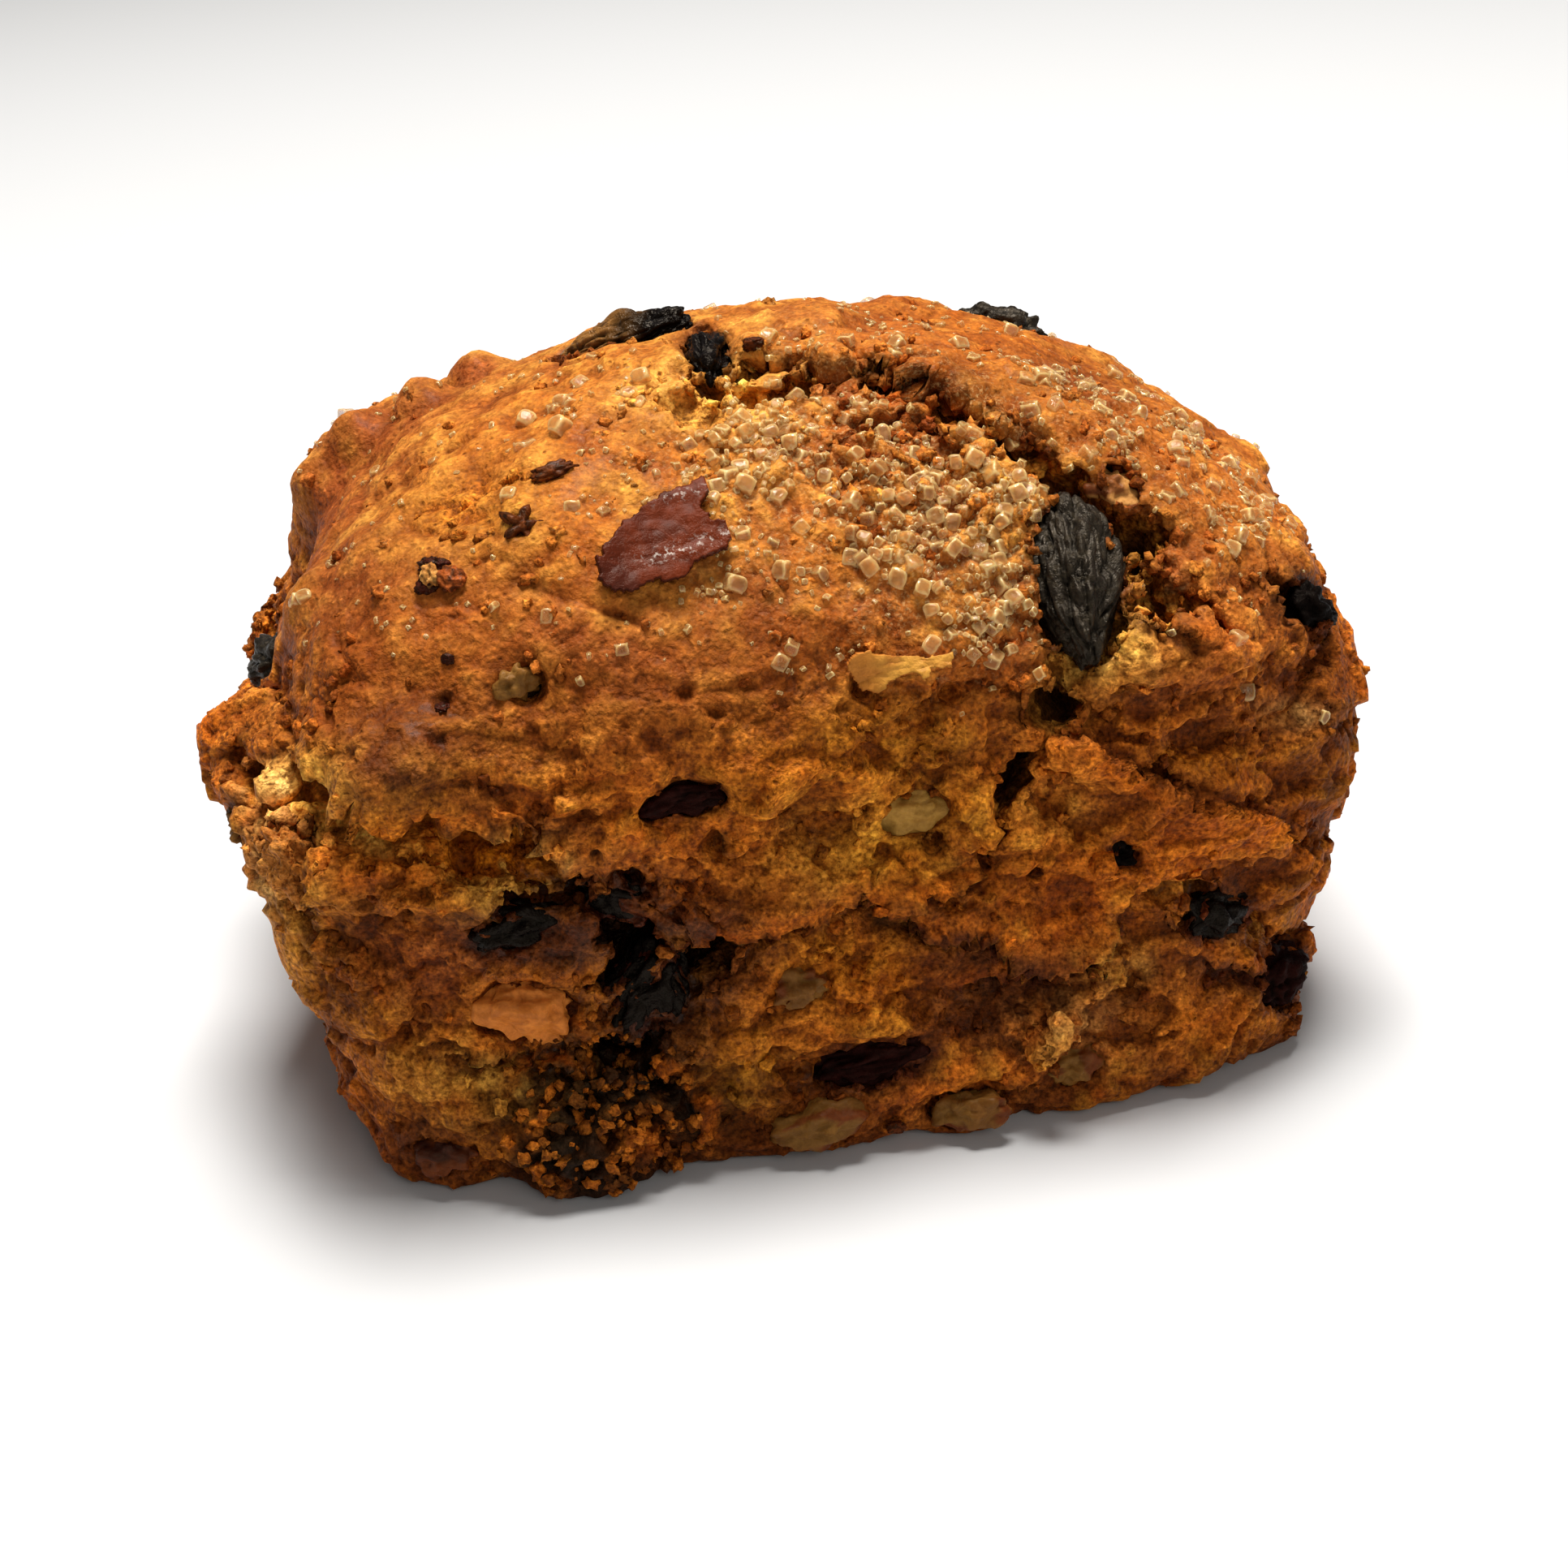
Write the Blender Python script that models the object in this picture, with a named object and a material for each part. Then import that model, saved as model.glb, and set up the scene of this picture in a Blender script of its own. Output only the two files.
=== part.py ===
"""Fruit scone: a rounded block of baked dough with raisins, walnut bits and coarse sugar.

Own frame: +Z up, the underside lies on Z = 0, X runs along the length and the long front
faces -Y.  The sizes below are in millimetres and MM turns them into metres.
"""
import math
import random
from dataclasses import dataclass

import bmesh
import bpy
from mathutils import Matrix, Vector, noise
from mathutils.bvhtree import BVHTree

MM = 0.001

# ---------------------------------------------------------------- the baked block
TOP_HEIGHT = 57.9
TOP_POWER = 1.764
TOP_TILT = -0.032
CELLS_LONG = 46
CELLS_DEEP = 30
CELLS_HIGH = 18
BODY_CELLS = 3700
CENTRE = (-1.23, -1.11, 0.0)

# ---------------------------------------------------------------- surface texture
SWELL = 0.7
SWELL_SIZE = 11.0
CRAG = 0.7
CRAG_SIZE = 4.8

# ---------------------------------------------------------------- fits and grains
GAP = 0.55
ROUTE_STEP = 2.6
LIFT = 2.6
TALL = 8.0
UNDER_REST = 0.25
LARGE_PIECE = 6.3
BALL_LARGE = (10, 6)
BALL_SMALL = (7, 5)
SUGAR_COUNT = 78
SUGAR_LARGEST = 1.9
SUGAR_SMALLEST = 1.45
SUGAR_SPACING = 3.1
SUGAR_CLEAR = 1.5
SUGAR_SEED = 11

Point = tuple[float, float, float]


@dataclass(frozen=True)
class Level:
    """One level of the block's side."""

    share: float
    half_length: float
    half_depth: float
    corner: float
    centre_x: float
    centre_y: float
    height: float


LEVELS = (
    Level(0.00, 39.2, 30.9, 4.5, 0.45, -0.1, 0.0),
    Level(0.05, 41.0, 32.5, 4.5, 0.43, -0.1, 1.6),
    Level(0.82, 45.6, 29.5, 4.9, -0.60, 0.0, 29.3),
    Level(1.00, 43.0, 30.7, 3.7, 1.70, 0.9, 34.4),
)


@dataclass(frozen=True)
class Lump:
    """A swelling of the dough, or a dent where rise is below zero."""

    place: Point
    reach: float
    rise: float


LUMPS = (
    Lump((-46.5, -6.0, 30.0), 6.0, 2.6),
    Lump((-34.0, 14.0, 45.5), 6.0, 2.3),
    Lump((-41.0, 6.0, 38.5), 6.5, -3.0),
    Lump((-22.0, -31.5, 3.5), 6.5, 3.2),
    Lump((-28.5, -31.5, 1.5), 2.4, -1.6),
    Lump((-35.0, -29.0, 2.0), 5.5, 1.4),
    Lump((-41.0, -22.0, 14.0), 8.0, 0.8),
    Lump((-19.0, 14.0, 53.0), 6.0, -1.3),
    Lump((44.0, -20.0, 26.0), 8.0, 1.3),
    Lump((-6.0, -31.5, 2.0), 8.0, 1.0),
    Lump((10.0, -31.0, 1.5), 3.0, 1.8),
    Lump((37.0, -28.5, 2.0), 5.5, 1.8),
    Lump((25.0, -31.0, 1.5), 6.0, 0.8),
    Lump((-33.0, -27.0, 36.5), 5.5, 1.6),
    Lump((-10.0, -29.0, 36.0), 8.0, 0.9),
    Lump((26.0, -27.0, 36.0), 5.5, 1.3),
    Lump((42.0, 0.0, 41.0), 5.5, 1.8),
    Lump((33.0, 6.0, 48.5), 6.0, -0.9),
    Lump((-22.0, 31.0, 24.0), 8.0, 1.2),
    Lump((25.0, 31.0, 33.0), 7.0, 1.4),
)


@dataclass(frozen=True)
class Fold:
    """A ridge of dough along a route, or a valley where rise is below zero."""

    route: tuple[Point, ...]
    reach: float
    rise: float


FOLDS = (
    Fold(((17, -30, 31), (22, -29.5, 30.3), (28, -29.3, 27), (34, -28.5, 22.5), (38, -27, 17.5)), 2.6, 1.0),
    Fold(((23, -29.5, 33.5), (27, -29, 31.6), (32, -28.8, 28), (37, -27.4, 24.5)), 1.9, -0.9),
    Fold(((-37, -22, 36), (-35, -25.7, 35), (-31.7, -27.7, 34.6), (-27, -29, 34), (-23.7, -29, 32.6)),
         3.0, 1.3),
    Fold(((-39.4, -26.6, 28), (-35.5, -28.2, 26.5), (-30, -29.2, 25.6), (-25.5, -29.6, 25.4)), 2.2, 0.9),
    Fold(((-6, -30, 33.7), (-1.7, -30, 36.3), (4.4, -30, 36.1), (9.8, -30, 32.6), (11.6, -29.8, 27)),
         2.2, 0.7),
    Fold(((-20, -29.6, 31), (-14.4, -29.7, 27.4), (-8.6, -30, 24.3), (-2.4, -30, 24)), 2.4, 0.8),
    Fold(((-10, -30.3, 22), (-5, -30.3, 22), (1.2, -30.2, 23.6), (5.5, -30.4, 21), (10, -30.6, 18.4)),
         2.0, 0.9),
    Fold(((3.2, -8, 56.5), (9.2, -9.5, 55.8), (14, -11, 54.6), (19, -15, 52)), 2.2, 0.8),
    Fold(((19, -9, 54), (23, -14, 51.5), (27, -19, 47.7), (30, -23, 43.5)), 3.0, 0.8),
    Fold(((-38, 22, 36), (-24, 31, 35), (-8, 31, 33), (4, 31, 34)), 3.0, 1.1),
    Fold(((16, 31, 37), (28, 30, 35), (39, 24, 35), (44, 12, 32)), 3.0, 1.0),
    Fold(((44.5, -18, 18), (44.5, -4, 21), (44, 10, 17)), 2.6, 0.8),
)


@dataclass(frozen=True)
class Crack:
    """A crack along a route; each stop is a place, a half width and a depth."""

    name: str
    stops: tuple[tuple[Point, float, float], ...]


CRACKS = (
    Crack("crack_top", (
        ((-6, -7, 57), 1.4, 4.0),
        ((-1, -11, 56), 1.0, 3.0),
        ((6, -10, 56), 0.8, 2.6),
        ((13, -13, 54), 1.0, 3.0),
        ((18, -17, 51), 1.3, 4.0),
        ((21, -21, 48), 1.8, 5.0),
        ((23, -24, 45), 2.5, 6.5),
        ((22, -27, 42), 2.2, 6.0),
        ((18, -29, 38), 1.3, 5.0),
        ((16.6, -30, 34), 1.2, 4.5),
        ((14, -30, 30), 1.2, 4.0),
        ((12, -30, 26), 0.7, 3.0),
        ((9, -30, 21.8), 0.6, 2.4),
    )),
    Crack("crack_fork", (
        ((24, -24, 44.5), 1.9, 5.5),
        ((27, -26, 41.5), 1.8, 5.0),
        ((30, -26.5, 39), 1.2, 3.6),
        ((33, -26.6, 37), 0.6, 2.0),
    )),
    Crack("crack_crown", (
        ((3, -9, 56.4), 0.7, 2.2),
        ((9, -7, 56.5), 0.8, 2.4),
        ((13.5, -8.5, 55.6), 0.8, 2.4),
        ((16, -12, 53.8), 0.6, 2.0),
    )),
    Crack("crack_waist", (
        ((-45, -11, 31), 1.6, 3.6),
        ((-43.5, -20, 31.4), 2.2, 4.6),
        ((-40, -23, 32.6), 2.7, 5.2),
        ((-35, -27, 32), 3.0, 5.8),
        ((-28.4, -29, 30), 2.6, 5.4),
        ((-23, -29.5, 28.4), 1.9, 4.6),
        ((-18, -30, 25), 1.3, 4.0),
        ((-13, -30, 22.8), 1.0, 3.2),
        ((-8, -30, 20.2), 0.7, 2.6),
        ((-1, -30, 21.2), 0.6, 2.4),
        ((4, -30, 19.6), 0.6, 2.2),
        ((9, -30.6, 17), 0.6, 2.2),
        ((17, -31, 13.4), 0.6, 2.0),
    )),
    Crack("crack_right", (
        ((22, -30.4, 17.6), 0.7, 2.2),
        ((26.5, -30, 17.6), 0.8, 2.6),
        ((31, -29.6, 15), 1.2, 3.0),
        ((35.5, -28.6, 10.6), 1.4, 2.8),
        ((40, -24, 8.4), 1.2, 2.6),
        ((42, -14, 10), 0.9, 2.4),
        ((43.5, -4, 14), 0.7, 2.2),
    )),
    Crack("crater", (
        ((-25, -30, 22.6), 1.3, 3.6),
        ((-20.5, -30, 22.6), 1.9, 5.0),
        ((-16, -30, 20.5), 2.6, 5.8),
        ((-15.2, -30.5, 16.5), 2.6, 5.8),
        ((-18, -30.8, 12.2), 1.8, 4.8),
        ((-21, -31, 9.6), 1.0, 3.0),
    )),
    Crack("crack_left", (
        ((-44.5, -3, 33), 0.9, 2.6),
        ((-44.5, 7, 32), 1.3, 3.6),
        ((-42, 19, 31), 1.6, 4.0),
        ((-34, 28.5, 30), 1.8, 4.4),
        ((-23, 30, 31.5), 1.5, 4.0),
        ((-12, 30, 29), 1.1, 3.4),
        ((-3, 30, 30.5), 0.8, 2.8),
    )),
    Crack("crack_back", (
        ((-5, 12, 56.8), 1.0, 3.0),
        ((-1, 19, 54), 1.5, 4.0),
        ((3, 25, 49), 1.8, 4.6),
        ((7, 29.5, 43), 1.6, 4.4),
        ((9, 31, 36), 1.2, 3.6),
        ((7, 30.5, 29), 0.8, 2.8),
    )),
    Crack("crack_back_right", (
        ((14, 30.6, 33), 0.9, 2.8),
        ((24, 30, 30.5), 1.3, 3.6),
        ((34, 28, 31.5), 1.4, 3.8),
        ((42.5, 18, 29.5), 1.3, 3.6),
        ((45, 8, 27), 0.8, 2.6),
    )),
    Crack("crack_under", (
        ((24, 8, 0), 0.7, 2.0),
        ((16, 14, 0), 0.9, 2.2),
        ((6, 13, 0), 0.7, 2.0),
    )),
)


@dataclass(frozen=True)
class Topping:
    """A fruit or nut: where it lies, its size, the way it points and how far it stands out."""

    name: str
    place: Point
    size: Point
    heading: Point
    stand_out: float
    pressed: bool = False


RAISINS = (
    Topping("raisin_crack", (20.0, -25.0, 44.3), (14.5, 7.2, 6.0), (-0.08, -0.62, -0.78), -2.0),
    Topping("raisin_top", (-10.8, 5.6, 57.0), (12.5, 6.4, 4.6), (1.0, -0.45, 0.0), -1.2),
    Topping("raisin_top_split", (-4.3, -2.2, 57.6), (10.5, 4.0, 4.8), (0.05, 1.0, 0.0), -1.8),
    Topping("raisin_left", (-42.5, -1.2, 36.0), (9.5, 6.2, 4.8), (0.2, 0.8, -0.6), -1.0),
    Topping("raisin_crater", (-16.2, -30.6, 15.2), (9.2, 5.6, 4.6), (0.55, 0.0, 0.83), -2.6),
    Topping("raisin_crater_left", (-25.0, -30.0, 22.4), (7.4, 3.6, 3.6), (1.0, 0.0, 0.12), -1.6),
    Topping("raisin_crater_top", (-17.2, -30.0, 23.6), (6.2, 3.8, 3.6), (0.9, 0.0, -0.42), -2.6),
    Topping("raisin_front", (1.2, -31.4, 7.5), (10.4, 3.9, 4.0), (0.95, 0.0, 0.2), -1.6),
    Topping("raisin_right", (30.6, -29.8, 14.4), (6.0, 4.4, 3.8), (0.85, 0.0, -0.5), -1.6),
    Topping("raisin_corner", (37.4, -27.4, 6.8), (7.2, 4.6, 4.0), (0.75, 0.6, 0.15), -1.0),
    Topping("raisin_shoulder", (39.8, -21.0, 36.6), (5.4, 4.0, 3.6), (0.6, 0.5, -0.6), -0.8),
    Topping("raisin_seam", (-11.6, -30.0, 32.0), (8.2, 2.8, 3.0), (1.0, 0.0, 0.2), -1.1),
    Topping("raisin_pit", (22.0, -30.2, 21.8), (4.0, 2.8, 2.8), (0.9, 0.0, -0.35), -1.5),
    Topping("raisin_ledge", (-44.5, -15.4, 27.0), (4.6, 3.6, 3.4), (0.2, 1.0, 0.1), -1.3),
    Topping("raisin_side", (45.5, 5.0, 21.0), (9.0, 5.4, 4.6), (0.0, 0.9, 0.4), -1.4),
    Topping("raisin_back", (-25.0, 30.6, 15.0), (10.0, 6.0, 4.8), (0.9, 0.0, 0.35), -1.5),
    Topping("raisin_back_crack", (6.0, 28.6, 45.0), (9.4, 5.2, 4.8), (0.35, 0.5, -0.8), -1.8),
    Topping("raisin_back_low", (30.0, 29.4, 10.0), (8.0, 4.8, 4.2), (1.0, 0.0, -0.25), -1.4),
    Topping("raisin_back_top", (24.0, 17.0, 51.0), (9.0, 5.6, 4.4), (0.8, -0.6, 0.0), -1.0),
    Topping("raisin_under", (-15.0, 8.0, 0.0), (9.0, 5.6, 4.4), (0.9, 0.4, 0.0), -1.0, True),
)

NUTS = (
    Topping("nut_window", (6.0, -29.8, 27.6), (8.4, 5.2, 4.4), (1.0, 0.0, 0.12), -2.2),
    Topping("nut_base", (-3.4, -31.8, 2.9), (7.6, 3.8, 4.2), (0.97, 0.0, 0.15), -1.4),
    Topping("nut_left", (-25.4, -30.6, 15.4), (7.8, 6.0, 4.2), (0.9, 0.0, -0.2), -1.8),
    Topping("nut_middle", (-4.0, -30.8, 14.8), (4.6, 3.4, 3.2), (0.9, 0.0, 0.3), -1.4),
    Topping("nut_crack", (24.6, -19.2, 48.6), (4.8, 3.8, 3.4), (0.8, -0.5, 0.0), -1.8),
    Topping("nut_flank", (-42.4, -24.8, 27.0), (7.6, 5.2, 4.4), (0.1, 0.1, 1.0), -1.3),
    Topping("nut_low", (-33.0, -30.2, 3.4), (5.0, 3.4, 3.2), (1.0, 0.0, 0.2), -1.2),
    Topping("nut_low_right", (17.6, -31.6, 4.4), (4.6, 3.2, 3.0), (1.0, 0.0, 0.2), -1.2),
    Topping("nut_foot", (8.8, -32.4, 2.4), (6.4, 3.4, 3.0), (1.0, 0.0, 0.05), -0.4),
    Topping("nut_shoulder", (-22.9, -27.0, 42.2), (3.4, 3.0, 2.6), (1.0, 0.0, 0.3), -0.9),
    Topping("nut_side", (44.0, -8.0, 20.6), (7.0, 5.0, 4.2), (0.0, 1.0, -0.3), -1.5),
    Topping("nut_back", (-5.0, 31.0, 14.0), (7.6, 5.4, 4.2), (1.0, 0.0, 0.3), -1.6),
    Topping("nut_back_high", (24.0, 31.0, 23.0), (6.0, 4.6, 3.8), (1.0, 0.0, -0.4), -1.4),
    Topping("nut_back_top", (-22.0, 22.0, 47.0), (6.6, 5.0, 4.0), (0.9, -0.3, 0.0), -1.3),
    Topping("nut_under", (20.0, -12.0, 0.0), (7.6, 5.2, 4.2), (0.7, -0.7, 0.0), -0.9, True),
)


@dataclass(frozen=True)
class Flake:
    """A thin curled chip that lies on the crust."""

    name: str
    place: Point
    heading: Point
    length: float
    width: float
    thickness: float
    curl: float
    ragged: float


FLAKES = (
    Flake("crust_flake", (-11.0, -21.8, 49.2), (1.0, 0.12, 0.12), 10.6, 7.0, 0.9, 0.5, 1.0),
    Flake("nut_flake", (5.4, -28.6, 40.0), (1.0, 0.0, -0.04), 8.0, 3.4, 0.9, 0.3, 0.5),
)

# ---------------------------------------------------------------- colours
CRUST_BROWN = (0.46, 0.20, 0.055)
RAISIN_BLACK = (0.025, 0.016, 0.016)
WALNUT_TAN = (0.50, 0.32, 0.14)
FLAKE_RED = (0.22, 0.055, 0.022)


def mm(point: Point) -> Vector:
    """Turn a place in millimetres into a vector in metres."""
    return Vector(point) * MM


def finish(name: str, colour: Point, roughness: float) -> bpy.types.Material:
    """Make a plain Principled material."""
    material = bpy.data.materials.new(name)
    material.use_nodes = True
    shader = material.node_tree.nodes["Principled BSDF"]
    shader.inputs["Base Color"].default_value = (*colour, 1.0)
    shader.inputs["Roughness"].default_value = roughness
    shader.inputs["Metallic"].default_value = 0.0
    material.diffuse_color = (*colour, 1.0)
    return material


def new_object(name: str, mesh: bmesh.types.BMesh, material: bpy.types.Material) -> bpy.types.Object:
    """Put a bmesh into a named object of the scene."""
    data = bpy.data.meshes.new(name)
    mesh.to_mesh(data)
    mesh.free()
    data.materials.append(material)
    made = bpy.data.objects.new(name, data)
    bpy.context.scene.collection.objects.link(made)
    return made


def apply_modifiers(made: bpy.types.Object) -> None:
    """Turn the evaluated shape of an object into its own mesh."""
    bpy.context.view_layer.update()
    shape = made.evaluated_get(bpy.context.evaluated_depsgraph_get())
    data = bpy.data.meshes.new_from_object(shape)
    made.modifiers.clear()
    made.data = data


def thin_out(body: bpy.types.Object) -> None:
    """Keep small triangles only where the crust turns sharply, and the underside flat."""
    keep_largest(body)
    thin = body.modifiers.new("thin_out", "DECIMATE")
    thin.ratio = BODY_CELLS / len(body.data.polygons)
    apply_modifiers(body)
    for vert in body.data.vertices:
        if vert.co.z < 0.004 * MM:
            vert.co.z = 0.0


def side_level(share: float) -> Level:
    """Blend the named levels at a share of the way up the side."""
    for low, high in zip(LEVELS, LEVELS[1:]):
        if share <= high.share:
            break
    mix = (share - low.share) / (high.share - low.share)
    pairs = zip(vars(low).values(), vars(high).values())
    return Level(*(a + (b - a) * mix for a, b in pairs))


def ring_place(u: float, v: float, reach: float, corner: float) -> tuple[float, float]:
    """Send a place on the unit square onto a rounded rectangle."""
    size = (abs(u) ** corner + abs(v) ** corner) ** (1.0 / corner)
    if size < 1e-9:
        return 0.0, 0.0
    return u * reach / size, v * reach / size


def block_place(x: float, y: float, z: float) -> Vector:
    """Send a place on the cube from -1 to 1 onto the baked block, in millimetres."""
    edge = max(abs(x), abs(y))
    if z > 0.999999:
        level = side_level(1.0)
        turn = edge * math.pi / 2.0
        reach = math.sin(turn) ** (2.0 / TOP_POWER)
        rise = max(math.cos(turn), 0.0) ** (2.0 / TOP_POWER)
        height = level.height + (TOP_HEIGHT - level.height) * rise
        lean = 1.0
    else:
        share = (z + 1.0) / 2.0
        level = side_level(share)
        reach = edge if share < 1e-6 else 1.0
        height = level.height
        lean = max(0.0, (share - LEVELS[2].share) / (1.0 - LEVELS[2].share))
    across, along = ring_place(x, y, reach, level.corner)
    place_x = level.centre_x + level.half_length * across
    place_y = level.centre_y + level.half_depth * along
    height += TOP_TILT * (place_x - level.centre_x) * lean
    return Vector((place_x, place_y, height))


def block_mesh() -> bmesh.types.BMesh:
    """Make the closed block from a cube cut into cells."""
    mesh = bmesh.new()
    bmesh.ops.create_cube(mesh, size=2.0)
    for axis, cells in ((0, CELLS_LONG), (1, CELLS_DEEP), (2, CELLS_HIGH)):
        for cut in range(1, cells):
            plane = Vector((0.0, 0.0, 0.0))
            plane[axis] = -1.0 + 2.0 * cut / cells
            normal = Vector((0.0, 0.0, 0.0))
            normal[axis] = 1.0
            parts = mesh.verts[:] + mesh.edges[:] + mesh.faces[:]
            bmesh.ops.bisect_plane(mesh, geom=parts, plane_co=plane, plane_no=normal, dist=1e-6)
    for vert in mesh.verts:
        vert.co = block_place(*vert.co)
    mesh.normal_update()
    return mesh


def route_gap(place: Vector, route: tuple[Point, ...]) -> float:
    """Measure from a place to the nearest point of a route."""
    least = math.inf
    for start, end in zip(route, route[1:]):
        step = Vector(end) - Vector(start)
        share = (place - Vector(start)).dot(step) / step.length_squared
        nearest = Vector(start) + step * min(max(share, 0.0), 1.0)
        least = min(least, (place - nearest).length)
    return least


def add_relief(mesh: bmesh.types.BMesh) -> None:
    """Swell and roughen the block, and keep its underside flat."""
    moves = []
    for vert in mesh.verts:
        place = vert.co.copy()
        push = SWELL * noise.noise(place / SWELL_SIZE)
        push += CRAG * noise.noise(place / CRAG_SIZE + Vector((7.0, 3.0, 1.0)))
        for lump in LUMPS:
            away = (place - Vector(lump.place)).length / lump.reach
            push += lump.rise * math.exp(-away * away)
        for fold in FOLDS:
            away = route_gap(place, fold.route) / fold.reach
            push += fold.rise * math.exp(-away * away)
        moves.append(vert.normal * push)
    for vert, move in zip(mesh.verts, moves):
        if vert.co.z < 0.01:
            move.z = 0.0
            if vert.normal.z < -0.99:
                move = Vector((0.0, 0.0, 0.0))
        vert.co += move
        vert.co.z = max(vert.co.z, 0.0)
    for vert in mesh.verts:
        vert.co *= MM
    mesh.normal_update()


def surface_of(made: bpy.types.Object) -> BVHTree:
    """Make a search tree of an object's mesh."""
    mesh = bmesh.new()
    mesh.from_mesh(made.data)
    tree = BVHTree.FromBMesh(mesh)
    mesh.free()
    return tree


def smooth_route(crack: Crack) -> list[tuple[Vector, float, float]]:
    """Fill a crack's route in with a smooth curve, at an even step."""
    stops = crack.stops
    filled = []
    for index in range(len(stops) - 1):
        before = Vector(stops[max(index - 1, 0)][0])
        start = Vector(stops[index][0])
        end = Vector(stops[index + 1][0])
        after = Vector(stops[min(index + 2, len(stops) - 1)][0])
        count = max(1, round((end - start).length / ROUTE_STEP))
        for step in range(count):
            t = step / count
            place = 0.5 * (2.0 * start + (end - before) * t
                           + (2.0 * before - 5.0 * start + 4.0 * end - after) * t * t
                           + (3.0 * start - before - 3.0 * end + after) * t * t * t)
            width = stops[index][1] * (1.0 - t) + stops[index + 1][1] * t
            depth = stops[index][2] * (1.0 - t) + stops[index + 1][2] * t
            filled.append((place, width, depth))
    filled.append((Vector(stops[-1][0]), stops[-1][1], stops[-1][2]))
    return filled


def crack_cutter(crack: Crack, crust: BVHTree, material: bpy.types.Material) -> bpy.types.Object:
    """Sweep a wedge along a crack's route over the crust."""
    chance = random.Random(crack.name)
    route = []
    for place, width, depth in smooth_route(crack):
        spot, normal, _, _ = crust.find_nearest(place * MM)
        route.append((spot, normal, width * MM, depth * MM))
    mesh = bmesh.new()
    rings = []
    for index, (spot, normal, width, depth) in enumerate(route):
        ahead = route[min(index + 1, len(route) - 1)][0]
        behind = route[max(index - 1, 0)][0]
        way = (ahead - behind).normalized()
        across = normal.cross(way).normalized()
        taper = 0.35 if index in (0, len(route) - 1) else 1.0
        left = width * taper * chance.uniform(0.75, 1.25)
        right = width * taper * chance.uniform(0.75, 1.25)
        sway = across * width * chance.uniform(-0.3, 0.3)
        floor = spot + sway - normal * depth * chance.uniform(0.85, 1.1) * max(taper, 0.5)
        corners = (
            spot + normal * LIFT * MM - across * left * 1.5,
            spot - normal * depth * 0.35 - across * left * 0.85,
            floor,
            spot - normal * depth * 0.35 + across * right * 0.85,
            spot + normal * LIFT * MM + across * right * 1.5,
        )
        rings.append([mesh.verts.new(corner) for corner in corners])
    for ring, following in zip(rings, rings[1:]):
        for side in range(len(ring)):
            turn = (side + 1) % len(ring)
            mesh.faces.new((ring[side], ring[turn], following[turn], following[side]))
    mesh.faces.new(rings[0][::-1])
    mesh.faces.new(rings[-1])
    bmesh.ops.triangulate(mesh, faces=mesh.faces[:])
    bmesh.ops.recalc_face_normals(mesh, faces=mesh.faces[:])
    return new_object(crack.name + "_cutter", mesh, material)


def topping_frame(topping: Topping, crust: BVHTree) -> Matrix:
    """Find how a topping lies on the crust: X along it and Z out of the crust."""
    spot, normal, _, _ = crust.find_nearest(mm(topping.place))
    if topping.pressed:
        normal = Vector((0.0, 0.0, -1.0))
    along = mm(topping.heading)
    along = (along - normal * along.dot(normal)).normalized()
    across = normal.cross(along)
    centre = spot + normal * topping.stand_out * MM
    turn = Matrix((along, across, normal)).transposed().to_4x4()
    return Matrix.Translation(centre) @ turn


def topping_mesh(topping: Topping, wrinkle: float, folds: float, grow: float) -> bmesh.types.BMesh:
    """Make a fruit or nut around its own centre, grown on all sides for its pocket."""
    mesh = bmesh.new()
    around, rings = BALL_LARGE if topping.size[0] > LARGE_PIECE else BALL_SMALL
    bmesh.ops.create_uvsphere(mesh, u_segments=around, v_segments=rings, radius=1.0)
    bmesh.ops.rotate(mesh, verts=mesh.verts[:], matrix=Matrix.Rotation(math.pi / 2.0, 3, "Y"))
    shift = Vector((len(topping.name) * 1.7, topping.size[0], topping.size[1]))
    for vert in mesh.verts:
        way = vert.co.normalized()
        push = wrinkle * noise.noise(way * folds + shift)
        half = Vector((way.x * topping.size[0], way.y * topping.size[1], way.z * topping.size[2]))
        vert.co = (half * 0.5 + way * push) * MM
        if topping.pressed:
            vert.co.z = min(vert.co.z, (-topping.stand_out - UNDER_REST) * MM)
    bmesh.ops.triangulate(mesh, faces=mesh.faces[:])
    mesh.normal_update()
    moves = [vert.normal * grow * MM for vert in mesh.verts]
    for vert, move in zip(mesh.verts, moves):
        vert.co += move
    return mesh


def add_topping(topping: Topping, crust: BVHTree, material: bpy.types.Material,
                wrinkle: float, folds: float) -> tuple[bpy.types.Object, bpy.types.Object]:
    """Add a topping and the cutter of the pocket that it lies in."""
    frame = topping_frame(topping, crust)
    piece = new_object(topping.name, topping_mesh(topping, wrinkle, folds, 0.0), material)
    piece.matrix_world = frame
    piece.data.shade_smooth()
    cutter = new_object(topping.name + "_pocket", topping_mesh(topping, wrinkle, folds, GAP), material)
    cutter.matrix_world = frame
    return piece, cutter


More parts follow.
